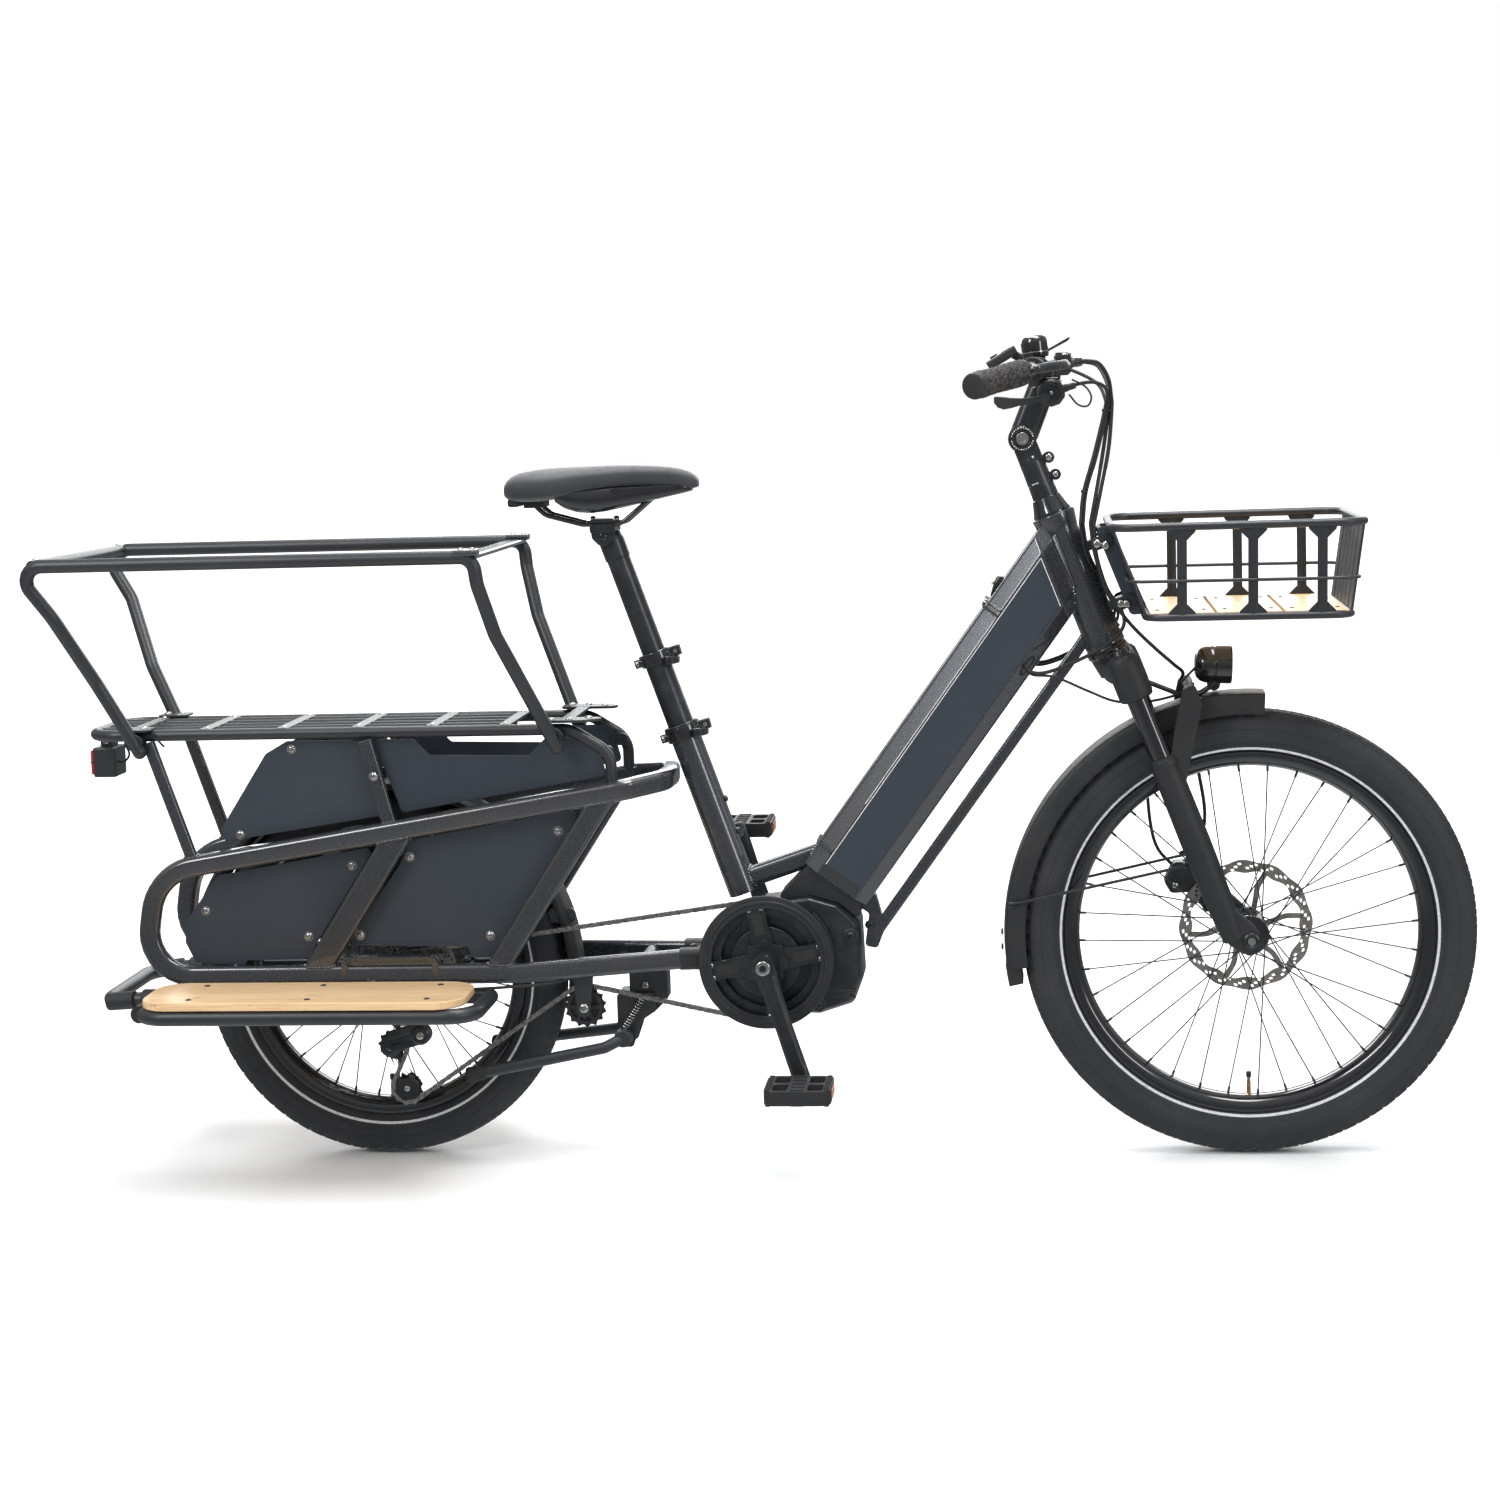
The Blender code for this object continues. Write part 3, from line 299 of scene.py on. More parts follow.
# Materials.
class Look:
    """One procedural material: a Principled shader with noise in its colour, roughness and height."""

    def __init__(self, name, colour, rough=0.5, metal=0.0, **sockets):
        self.material = bpy.data.materials.new(name)
        self.material.use_nodes = True
        self.tree = self.material.node_tree
        self.shader = self.tree.nodes["Principled BSDF"]
        self.colour, self.height = (*colour, 1), None
        self.shader.inputs["Base Color"].default_value = self.colour
        self.shader.inputs["Roughness"].default_value = rough
        self.shader.inputs["Metallic"].default_value = metal
        for socket, value in sockets.items():
            self.shader.inputs[socket.replace("_", " ")].default_value = value
        self.rough = rough
        self.place = self.node("ShaderNodeTexCoord").outputs["Object"]

    def node(self, kind, inputs=(), **settings):
        made = self.tree.nodes.new(kind)
        for key, value in settings.items():
            setattr(made, key, value)
        for key, value in dict(inputs).items():
            if isinstance(value, bpy.types.NodeSocket):
                self.tree.links.new(value, made.inputs[key])
            else:
                made.inputs[key].default_value = value
        return made

    def stretched(self, x, y, z):
        return self.node("ShaderNodeMapping", {"Vector": self.place, "Scale": (x, y, z)}).outputs["Vector"]

    def noise(self, scale, detail=3.0, vector=None):
        made = self.node(
            "ShaderNodeTexNoise", {"Vector": vector or self.place, "Scale": scale, "Detail": detail}
        )
        return made.outputs["Fac"]

    def cells(self, scale, output="Distance", vector=None):
        made = self.node("ShaderNodeTexVoronoi", {"Vector": vector or self.place, "Scale": scale})
        return made.outputs[output]

    def span(self, value, low, high, start=0.0, end=1.0):
        inputs = {"Value": value, "From Min": start, "From Max": end, "To Min": low, "To Max": high}
        return self.node("ShaderNodeMapRange", inputs).outputs["Result"]

    def tint(self, mask, colour, low=0.0, high=1.0):
        """Mixes colour over what is there, by a mask that runs from low to high."""
        mix = self.node("ShaderNodeMix", {0: self.span(mask, 0.0, 1.0, low, high)}, data_type="RGBA")
        for socket, value in (("A_Color", self.colour), ("B_Color", (*colour, 1))):
            found = next(s for s in mix.inputs if s.identifier == socket)
            if isinstance(value[0], float):
                found.default_value = value
            else:
                self.tree.links.new(value[0], found)
        result = next(s for s in mix.outputs if s.identifier == "Result_Color")
        self.tree.links.new(result, self.shader.inputs["Base Color"])
        self.colour = (result,)
        return self

    def roughen(self, scale, amount):
        value = self.span(self.noise(scale), self.rough - amount, self.rough + amount, 0.3, 0.7)
        self.tree.links.new(value, self.shader.inputs["Roughness"])
        return self

    def bump(self, height, strength, distance=0.001):
        inputs = {"Height": height, "Strength": strength, "Distance": distance}
        if self.height:
            inputs["Normal"] = self.height
        self.height = self.node("ShaderNodeBump", inputs).outputs["Normal"]
        self.tree.links.new(self.height, self.shader.inputs["Normal"])
        return self


def make_looks():
    looks = {}
    grey = Look("anthracite_flake", (0.05, 0.053, 0.062), 0.27, 0.6, Coat_Weight=1.0, Coat_Roughness=0.04)
    grey.tint(grey.cells(900.0, "Color"), (0.13, 0.135, 0.15), 0.74, 1.0)
    grey.tint(grey.noise(5.0), (0.066, 0.063, 0.064), 0.45, 0.75).roughen(700.0, 0.06)
    grey.bump(grey.noise(160.0, 2.0), 0.03, 0.0006)
    looks["grey"] = grey
    black = Look("satin_black", (0.017, 0.0185, 0.022), 0.42, 0.0, Coat_Weight=0.15, Coat_Roughness=0.3)
    black.tint(black.noise(9.0), (0.023, 0.024, 0.028), 0.4, 0.7).roughen(500.0, 0.05)
    looks["black"] = black.bump(black.noise(900.0, 2.0), 0.12, 0.0004)
    slate = Look("slate_panel", (0.023, 0.031, 0.043), 0.5, 0.0, Specular_IOR_Level=0.4)
    slate.tint(slate.noise(7.0), (0.03, 0.038, 0.05), 0.35, 0.7).roughen(350.0, 0.06)
    slate.tint(slate.cells(1400.0, "Color"), (0.05, 0.06, 0.075), 0.8, 1.0)
    looks["slate"] = slate.bump(slate.noise(1300.0, 2.0), 0.2, 0.0004)
    plastic = Look("black_plastic", (0.0125, 0.013, 0.0145), 0.55)
    plastic.tint(plastic.noise(12.0), (0.018, 0.018, 0.019), 0.4, 0.7).roughen(300.0, 0.07)
    looks["plastic"] = plastic.bump(plastic.cells(1500.0), 0.15, 0.0003)
    gloss = Look("gloss_black", (0.009, 0.009, 0.01), 0.16, 0.0, Coat_Weight=1.0, Coat_Roughness=0.03)
    looks["gloss"] = gloss.roughen(80.0, 0.05).bump(gloss.noise(60.0), 0.02, 0.0005)
    rubber = Look("rubber", (0.015, 0.015, 0.016), 0.75)
    looks["rubber"] = rubber.roughen(200.0, 0.08).bump(rubber.noise(700.0, 2.0), 0.2, 0.0004)
    tyre = Look("tyre_rubber", (0.02, 0.0215, 0.025), 0.68, 0.0, Specular_IOR_Level=0.35)
    tyre.tint(tyre.noise(14.0), (0.028, 0.028, 0.03), 0.4, 0.75).roughen(240.0, 0.08)
    looks["tyre"] = tyre.bump(tyre.noise(500.0, 4.0), 0.25, 0.0005)
    stripe = Look("reflective_tape", (0.62, 0.63, 0.63), 0.45)
    looks["stripe"] = stripe.tint(stripe.cells(700.0), (0.35, 0.36, 0.37), 0.5, 0.75).roughen(300.0, 0.1)
    steel = Look("bright_steel", (0.62, 0.61, 0.6), 0.24, 1.0)
    looks["steel"] = steel.tint(steel.noise(90.0), (0.42, 0.41, 0.4), 0.4, 0.7).roughen(300.0, 0.1)
    rotor = Look("rotor_steel", (0.56, 0.52, 0.48), 0.34, 1.0)
    rotor.tint(rotor.noise(60.0), (0.36, 0.33, 0.3), 0.42, 0.7).roughen(500.0, 0.12)
    looks["rotor"] = rotor.bump(rotor.noise(300.0), 0.1, 0.0003)
    chain = Look("chain_steel", (0.44, 0.43, 0.42), 0.32, 1.0)
    looks["chain"] = chain.tint(chain.noise(200.0), (0.16, 0.155, 0.15), 0.45, 0.7).roughen(400.0, 0.12)
    alloy = Look("black_alloy", (0.028, 0.03, 0.034), 0.34, 0.6, Coat_Weight=0.3, Coat_Roughness=0.2)
    looks["alloy"] = alloy.tint(alloy.noise(40.0), (0.045, 0.046, 0.05), 0.45, 0.7).roughen(400.0, 0.07)
    bamboo = Look("bamboo", (0.66, 0.44, 0.235), 0.42, 0.0, Coat_Weight=0.25, Coat_Roughness=0.25)
    strands = bamboo.noise(1.0, 5.0, bamboo.stretched(14.0, 420.0, 420.0))
    strips = bamboo.cells(1.0, "Color", vector=bamboo.stretched(1.5, 44.0, 1.0))
    bamboo.tint(strips, (0.74, 0.53, 0.3), 0.2, 0.9).tint(strands, (0.46, 0.28, 0.13), 0.52, 0.78)
    bamboo.tint(bamboo.noise(1.0, 2.0, bamboo.stretched(30.0, 130.0, 60.0)), (0.33, 0.19, 0.085), 0.66, 0.8)
    looks["bamboo"] = bamboo.roughen(60.0, 0.08).bump(strands, 0.15, 0.0005)
    grip = Look("grip_rubber", (0.045, 0.041, 0.039), 0.72)
    scales = grip.cells(1.0, vector=grip.stretched(150.0, 150.0, 190.0))
    grip.tint(scales, (0.016, 0.015, 0.015), 0.45, 0.62)
    looks["grip"] = grip.bump(scales, -0.5, 0.002).roughen(300.0, 0.06)
    cover = Look("saddle_cover", (0.021, 0.0225, 0.027), 0.62, 0.0, Sheen_Weight=0.15)
    cover.tint(cover.noise(10.0), (0.03, 0.031, 0.036), 0.4, 0.7).roughen(250.0, 0.06)
    looks["cover"] = cover.bump(cover.cells(1100.0), 0.25, 0.0005)
    red = Look("red_lens", (0.55, 0.012, 0.008), 0.12, 0.0, Coat_Weight=1.0, Transmission_Weight=0.25)
    looks["red"] = red.bump(red.cells(380.0), 0.4, 0.001)
    amber = Look("amber_reflector", (0.85, 0.24, 0.02), 0.15, 0.0, Coat_Weight=1.0)
    looks["amber"] = amber.bump(amber.cells(420.0), 0.5, 0.001)
    lens = Look("clear_lens", (0.85, 0.87, 0.88), 0.05, 0.0, Transmission_Weight=0.7, IOR=1.49)
    looks["lens"] = lens.bump(lens.cells(160.0), 0.25, 0.002)
    brass = Look("brass", (0.6, 0.38, 0.17), 0.3, 1.0)
    looks["brass"] = brass.roughen(300.0, 0.1)
    # White paint for the printed marks, and also for painted highlights: the glint strips along the battery
    # cover and the down tube's flank edges.
    white = Look("white_marks_and_painted_glints", (0.6, 0.6, 0.6), 0.5)
    looks["white"] = white.roughen(300.0, 0.1)
    return looks


LOOKS = make_looks()


# Pieces.
def piece(name, body, solids, look, hides=(), bevel=0.0, cuts=(), angle=38, slot=None, segments=2):
    """One mesh object from solids, riding a body, standing for the CAD nodes in hides."""
    made = []
    for label, group in (("", [join(solids)]), ("_cut", list(cuts))):
        for i, (points, faces) in enumerate(group):
            mesh = bpy.data.meshes.new(name + label)
            mesh.from_pydata([at(p) for p in points], [], faces)
            work = bmesh.new()
            work.from_mesh(mesh)
            bmesh.ops.recalc_face_normals(work, faces=work.faces[:])
            work.to_mesh(mesh)
            work.free()
            obj = bpy.data.objects.new(name + label + (str(i) if label else ""), mesh)
            SCENE.collection.objects.link(obj)
            made.append(obj)
    obj = made[0]
    for i, cutter in enumerate(made[1:]):
        modifier = obj.modifiers.new(f"cut_{i}", "BOOLEAN")
        modifier.operation, modifier.object, modifier.solver = "DIFFERENCE", cutter, "EXACT"
    if bevel:
        modifier = obj.modifiers.new("edges", "BEVEL")
        modifier.width, modifier.segments, modifier.limit_method = bevel / 1000, segments, "ANGLE"
        modifier.angle_limit = math.radians(angle)
        modifier.use_clamp_overlap = True
    if obj.modifiers:
        bpy.context.view_layer.update()
        shaped = obj.evaluated_get(bpy.context.evaluated_depsgraph_get())
        mesh = bpy.data.meshes.new_from_object(shaped)
        obj.modifiers.clear()
        obj.data = mesh
    for cutter in made[1:]:
        bpy.data.objects.remove(cutter, do_unlink=True)
    obj.data.polygons.foreach_set("use_smooth", [True] * len(obj.data.polygons))
    obj.data.set_sharp_from_angle(angle=math.radians(angle))
    if bevel:
        modifier = obj.modifiers.new("shade", "WEIGHTED_NORMAL")
        modifier.keep_sharp = True
    obj.data.materials.clear()
    obj.data.materials.append(LOOKS[look].material)
    if body:
        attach(obj, body)
    if hides:
        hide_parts(*hides)
    return obj


# A welded seam: how far it is searched for, the widest gap it runs across, and its ring spacing.
SEAM_REACH, SEAM_GAP, SEAM_STEP = 200.0, 40, 1.1


def surface_of(solids):
    """A search tree of solids, for finding where one tube meets another."""
    points, faces = join(solids)
    return BVHTree.FromPolygons([Vector(p) for p in points], faces)


def bead(tree, start, way, section, radius=1.9, up=(0, 0, 1)):
    """A welded seam where a section, carried along way from start, meets the surface in tree."""
    way = Vector(way).normalized()
    side = way.cross(Vector(up))
    if side.length < 1e-3:
        side = way.cross(Vector((0, 1, 0)))
    side.normalize()
    rise = side.cross(way).normalized()
    path = []
    for u, v in section:
        origin = Vector(start) + side * u + rise * v
        hit = tree.ray_cast(origin, way, SEAM_REACH)[0]
        if hit is not None:
            path.append(hit)
    if len(path) < 5:
        return []
    out = []
    for a, b in zip(path, path[1:] + path[:1]):
        if (b - a).length > SEAM_GAP:
            continue
        steps = max(1, int((b - a).length / SEAM_STEP))
        out += [a.lerp(b, i / steps) for i in range(steps)]
    rings = []
    for i, here in enumerate(out):
        ahead, behind = out[(i + 1) % len(out)], out[i - 1]
        along = (ahead - behind).normalized()
        across_way = along.cross(way).normalized()
        third = along.cross(across_way).normalized()
        size = radius * (1 + 0.3 * math.cos(i * 2.1)) * (1 + 0.12 * math.sin(i * 0.53))
        rings.append(
            [
                here + (across_way * math.cos(t) + third * math.sin(t)) * size
                for t in (0.0, 1.05, 2.09, 3.14, 4.19, 5.24)
            ]
        )
    return [skin(rings, closed=True)]


# Camera, light and floor, in metres and degrees. The camera's turn is (yaw, pitch down, roll).
CAMERA_SPOT, CAMERA_TURN = (0.41131, -3.98621, 1.11023), (6.059, 7.390, -1.635)
LENS, SENSOR, FAR = 67.42, 36.0, 60.0
FLOOR_HALF, FLOOR_DROP = 30.0, 0.0006
# Each area light: name, place, what it points at, width, height and watts.
LAMPS = (
    ("key", (-2.6, -3.2, 3.4), (0, 0, 0.5), 0.9, 2.4, 95),
    ("top", (0.3, 0.2, 3.6), (0, 0, 0.4), 4.4, 1.2, 170),
    ("fill", (3.4, -2.6, 1.6), (0, 0, 0.6), 0.7, 2.2, 30),
    ("back", (0.0, 3.4, 2.0), (0, 0, 0.6), 4.5, 1.6, 80),
)


def build_stage():
    yaw, pitch, roll = map(math.radians, CAMERA_TURN)
    right = Vector((math.cos(yaw), math.sin(yaw), 0))
    ahead = Vector((-math.sin(yaw), math.cos(yaw), 0))
    up = Vector((0, 0, 1))
    ahead, up = ahead * math.cos(pitch) - up * math.sin(pitch), up * math.cos(pitch) + ahead * math.sin(pitch)
    right, up = right * math.cos(roll) + up * math.sin(roll), up * math.cos(roll) - right * math.sin(roll)
    camera = bpy.data.objects.new("camera", bpy.data.cameras.new("camera"))
    camera.data.lens, camera.data.sensor_width, camera.data.clip_end = LENS, SENSOR, FAR
    basis = Matrix((right, up, -ahead)).transposed().to_4x4()
    camera.matrix_world = Matrix.Translation(CAMERA_SPOT) @ basis
    SCENE.collection.objects.link(camera)
    SCENE.camera = camera

    # The floor fades into the white surroundings away from the bicycle.
    floor_look = Look("pale_floor", (0.9, 0.9, 0.9), 0.6, 0.0, Emission_Color=(1.0, 1.0, 1.0, 1.0))
    floor_look.tint(floor_look.noise(2.0), (0.92, 0.92, 0.92), 0.3, 0.7).roughen(30.0, 0.05)
    away = floor_look.node("ShaderNodeVectorMath", {0: floor_look.place}, operation="LENGTH").outputs["Value"]
    fade = floor_look.span(away, 0.0, 1.0, 2.0, 5.0)
    floor_look.tree.links.new(fade, floor_look.shader.inputs["Emission Strength"])
    mesh = bpy.data.meshes.new("floor")
    corners = ((-1, -1), (1, -1), (1, 1), (-1, 1))
    mesh.from_pydata([(x * FLOOR_HALF, y * FLOOR_HALF, 0) for x, y in corners], [], [(0, 1, 2, 3)])
    floor = bpy.data.objects.new("floor", mesh)
    floor.location.z = -FLOOR_DROP
    floor.visible_glossy = False
    mesh.materials.append(floor_look.material)
    SCENE.collection.objects.link(floor)

    # White surroundings for the camera, and a dimmer room with a bright ceiling for the light.
    world = bpy.data.worlds.new("studio")
    world.use_nodes = True
    SCENE.world = world
    nodes, links = world.node_tree.nodes, world.node_tree.links
    sky, room = nodes["Background"], nodes.new("ShaderNodeBackground")
    mix, rays = nodes.new("ShaderNodeMixShader"), nodes.new("ShaderNodeLightPath")
    way, split = nodes.new("ShaderNodeTexCoord"), nodes.new("ShaderNodeSeparateXYZ")
    strength = nodes.new("ShaderNodeMath")
    sky.inputs["Color"].default_value = (1.0, 1.0, 1.0, 1)
    sky.inputs["Strength"].default_value = 1.0
    room.inputs["Color"].default_value = (0.95, 0.975, 1.0, 1)
    links.new(way.outputs["Generated"], split.inputs[0])
    # The room brightens upwards, and again towards the floor.
    for i, span in enumerate(((-0.1, 0.9, 0.2, 0.72), (-0.2, -0.75, 0.0, 0.55))):
        ramp = nodes.new("ShaderNodeMapRange")
        for label, value in zip(("From Min", "From Max", "To Min", "To Max"), span):
            ramp.inputs[label].default_value = value
        links.new(split.outputs["Z"], ramp.inputs["Value"])
        links.new(ramp.outputs["Result"], strength.inputs[i])
    links.new(strength.outputs[0], room.inputs["Strength"])
    links.new(rays.outputs["Is Camera Ray"], mix.inputs[0])
    links.new(room.outputs[0], mix.inputs[1])
    links.new(sky.outputs[0], mix.inputs[2])
    links.new(mix.outputs[0], nodes["World Output"].inputs["Surface"])
    SCENE.view_settings.view_transform = "Standard"

    for name, spot, target, wide, tall, power in LAMPS:
        light = bpy.data.lights.new(name, "AREA")
        light.shape, light.size, light.size_y, light.energy = "RECTANGLE", wide, tall, power
        obj = bpy.data.objects.new(name, light)
        obj.location = spot
        obj.rotation_euler = (Vector(target) - Vector(spot)).to_track_quat("-Z", "Y").to_euler()
        SCENE.collection.objects.link(obj)


build_stage()


# Every CAD node takes a material; most of them are then replaced by a detailed piece.
BASE = {
    "grey": "main_frame rear_frame",
    "slate": "battery_pack",
    "rubber": "cable_loom",
    "steel": "clamp_lever_lower clamp_lever_upper",
}
for look_name, node_names in BASE.items():
    for node_name in node_names.split():
        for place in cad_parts[node_name].material_slots:
            place.material = LOOKS[look_name].material
for node_name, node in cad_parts.items():
    if not any(node_name in names.split() for names in BASE.values()):
        for place in node.material_slots:
            place.material = LOOKS["black"].material


# Frame.
def reach_of(ahead, above):
    """How far up the down tube, at a height above it, the plane ahead of the steering axis lies."""
    foot, unit, rise = down(0, 0), UP_DOWN, down(0, 1) - down(0, 0)
    out = steer(0, 1) - steer(0, 0)
    return (ahead - (foot - steer(0, 0)).dot(out) - above * rise.dot(out)) / unit.dot(out)


def build_frame():
    wide = [(-42, -22), (-30, 0), (30, 0), (42, -22), (42, -88), (28, -107), (-28, -107), (-42, -88)]
    ring = [(p.x, p.z) for p in fillet([(y, 0, a) for y, a in wide], 7, 4, closed=True)[1:]]
    rings = [[down(along, above, y) for y, above in ring] for along in (-32, 0, 60, 430)]
    for ahead, narrow in ((-36, 1.0), (-31, 0.97), (-13, 0.62), (-4, 0.58)):
        rings.append([down(reach_of(ahead, above), above, y * narrow) for y, above in ring])
    down_tube = skin(rings)
    head_steps = [(6, 28.5), (12, 29), (22, 27), (180, 27), (190, 28.5), (203, 31), (206, 30)]
    head = turned(steer(0, 0), UP_STEER, head_steps, 48)
    seat_tube = rod(seat(-253), seat(8), 22, 40)
    short = sweep([(541, 0, 405), (662, 0, 446)], rounded(26, 30, 9, 4))
    strut = sweep(fillet([steer(42, 0), (1017, 0, 728), (722, 0, 322)], 22, 7), rounded(14, 17, 4, 3))
    bracket = slab(
        flat_fillet([(690, 366), (722, 384), (736, 330), (724, 300), (706, 304), (713, 352)], 6), -9, 9
    )
    bay = [
        skin(
            [
                [down(a, above, y) for y, above in ((-29.4, 1), (29.4, 1), (29.4, -69.5), (-29.4, -69.5))]
                for a in (4.6, 413.4)
            ]
        )
    ]
    piece("down_tube", "frame", [down_tube], "grey", ["main_frame"], bevel=1.2, cuts=bay, slot="frame_grey")
    tubes = [head, seat_tube, short, strut]
    piece("head_and_seat_tubes", "frame", tubes, "grey", bevel=0.8, slot="frame_grey")
    piece("motor_bracket", "frame", [bracket], "grey", bevel=1.2)
    # The flat flank of the down tube, which ends in a slanted edge in front of the head tube.
    flank = [(-14, -25), (reach_of(-37.5, -25), -25), (reach_of(-37.5, -86), -86), (-14, -86)]
    for side, sign in (("right", -1), ("left", 1)):
        plate = [[down(a, z, sign * y) for a, z in flank] for y in (41.2, 42.5)]
        piece(f"tube_flank_{side}", "frame", [skin(plate)], "slate", bevel=0.5, slot="panel_slate")
    # Thin white beads along the flank's upper edge and its slanted front edge: a painted highlight standing
    # in for the glint of light on those edges.
    edges = both(*(sweep([down(a, z, -42.3), down(b, w, -42.3)], rounded(0.9, 1.3, 0.3, 1))
                   for (a, z), (b, w) in ((flank[1], flank[2]), (flank[0], flank[1]))))
    piece("tube_flank_edge_glints", "frame", edges, "white")
    head_tree = surface_of([head])
    joint = [(y * 0.6, above + 52) for y, above in ring]
    across_tube = (-DOWN_DIR[1], 0, DOWN_DIR[0])
    seams = bead(head_tree, down(430, -52, 0), UP_DOWN, joint, 3.4, up=across_tube)
    seams += bead(
        head_tree, down(424, -52, 0), UP_DOWN, [(y * 0.93, above * 0.94) for y, above in joint], 3.0,
        up=across_tube,
    )
    seams += bead(surface_of([seat_tube]), (600, 0, 425), (-121, 0, -41), rounded(26, 30, 9, 4), 2.2)
    seams += bead(surface_of([down_tube]), (600, 0, 425), (121, 0, 41), rounded(26, 30, 9, 4), 2.2)
    seams += bead(
        head_tree, (1036, 0, 735), steer(42, 0) - Vector((1000, 0, 724)), rounded(14, 17, 4, 3), 1.8
    )
    piece("main_welds", "frame", seams, "grey", angle=60)
    collar = [turned(seat(-14), UP_SEAT, [(0, 24.5), (1, 26), (21, 26), (23, 24.5)], 40)]
    piece("seat_collar", "frame", collar, "alloy", bevel=0.5)
    bosses = [bar(steer(56, 18), steer(56, 48), 14, 26), bar(steer(146, 18), steer(146, 48), 14, 26)]
    piece("basket_bosses", "frame", bosses, "black", bevel=1.0)
    bolts = []
    for along in (-115, -165):
        bolts += screw(seat(along) + Vector((22, 0, 7.6)), (math.cos(SEAT_LEAN), 0, math.sin(SEAT_LEAN)), 5)
    piece("seat_tube_bosses", "frame", bolts, "black")


def rail_paths():
    path = [
        (430, 0, 556), (426, -50, 555), (374, -SIDE_Y, 548), (-312, -SIDE_Y, 436),
        (-338, -SIDE_Y, 283), (215, -SIDE_Y, 285), (456, -33, 293), (480, -33, 293),
    ]
    front = fillet(path[:4], 30, 5)[:-1]
    rear = fillet(path[2:6], 78, 9)[1:-1]
    tail = fillet(path[4:], 60, 6)[1:]
    return front + rear + tail


def build_rear_frame():
    side = sweep(rail_paths(), rounded(24, 29, 7.5, 4))
    upper = ((51, -SIDE_Y, 494), (-82, -SIDE_Y, 289))
    fore = ((350, -SIDE_Y, 546), (181, -SIDE_Y, 288))
    struts = [bar(*upper, 38, 18, 6), bar(*fore, 32, 18, 6)]
    risers = [
        sweep([(4, -SIDE_Y, 624), (36, -SIDE_Y, 498)], rounded(12, 21, 4)),
        sweep([(-313, -SIDE_Y, 626), (-255, -SIDE_Y, 448)], rounded(13, 18, 5)),
    ]
    solids = both(side, *struts, *risers)
    solids += [across(468, 293, -33, 33, 12, 32), across(390, 289, -48, 48, 11, 32)]
    piece("rear_side_frames", "frame", solids, "grey", ["rear_frame"], bevel=0.6, slot="frame_grey")
    # Dropout boxes with a rounded recess round the axle nut.
    outline = flat_fillet([(-46, 266), (101, 266), (99, 312), (-42, 312)], 11, 6)
    inner = flat_fillet([(-36, 271), (91, 271), (89, 307), (-33, 307)], 8, 6)
    piece(
        "dropouts", "frame", both(slab(outline, -103, -80)), "grey", bevel=1.4,
        cuts=both(slab(inner, -120, -97)),
    )
    tree = surface_of([side])
    seams = []
    for (start, end), wide in ((upper, 38), (fore, 32)):
        start, end = Vector(start), Vector(end)
        way, middle = (end - start).normalized(), (start + end) / 2
        for sign in (-1, 1):
            seams += bead(tree, middle, way * sign, rounded(18, wide, 6, 4), 2.1)
    for start, end in (((4, -SIDE_Y, 622), (36, -SIDE_Y, 498)), ((-313, -SIDE_Y, 622), (-255, -SIDE_Y, 448))):
        seams += bead(tree, start, Vector(end) - Vector(start), rounded(13, 20, 5), 1.7)
    edge = [Vector((x, -94.5, z)) for x, z in outline if x > 40]
    path = spline(edge, 3)
    seams.append(sweep(path, circle(1.8, 8), up=(0, 1, 0), scale=lambda t: 1 + 0.25 * math.cos(t * 140)))
    piece("rear_welds", "frame", both(*seams), "grey", angle=60)
    nuts = [
        turned(
            (0, -96.5, 269.5), (0, -1, 0),
            [(0, 16), (2, 16), (2.4, 12), (9, 11), (11, 9.5), (11, 5), (8, 4.6)], 32,
        )
    ]
    nuts += [turned((30, -96.5, 283), (0, -1, 0), [(0, 7), (2, 7), (3, 5), (3, 3.2), (1, 3)], 24)]
    piece("axle_nuts", "frame", both(*nuts), "alloy", bevel=0.4)
    piece("rear_axle", "frame", [across(0, 269.5, -104, 104, 5.7, 24)], "steel")
    stand = [slab(flat_fillet([(362, 285), (418, 285), (418, 230), (400, 212), (362, 212)], 6), -18, 18)]
    stand += [
        slab(
            flat_fillet([(344, 240), (400, 240), (402, 214), (380, 200), (366, 160), (344, 160)], 6), -26.4,
            -22.6,
        )
    ]
    stand += [flip(stand[1]), block(346, 366, -26, 26, 232, 240)]
    piece("stand_bracket", "frame", stand, "black", bevel=1.2)
    bolts = both(*screw((355, -26, 179), (0, -1, 0), 8, 4), *screw((385, -18, 250), (0, -1, 0), 6, 3))
    piece("stand_bolts", "frame", bolts, "steel", bevel=0.3)
    arm = [slab(flat_fillet([(286, 284), (318, 284), (311, 218), (302, 212), (293, 218)], 5), -66, -62)]
    piece("idler_arm", "frame", arm, "black", bevel=0.8)
    piece("idler_bolt", "frame", screw((302, -66, 227), (0, -1, 0), 7.5, 3.4), "steel")
    caliper = [
        sweep([(30, 58.7, 325), (76, 58.7, 321)], rounded(22, 33, 7)),
        bar((38, 75, 306), (66, 75, 306), 18, 16, 4),
    ]
    piece("rear_caliper", "frame", caliper, "alloy", bevel=1.0)
    hanger = [slab(flat_fillet([(-14, 272), (14, 272), (14, 238), (-4, 234), (-12, 246)], 5), -90, -82)]
    piece("derailleur_hanger", "frame", hanger, "alloy", bevel=1.0)
    tab = [slab(flat_fillet([(248, 366), (288, 366), (288, 344), (240, 344)], 9), -24, -21)]
    piece("fender_tab", "frame", tab, "grey", bevel=0.6)
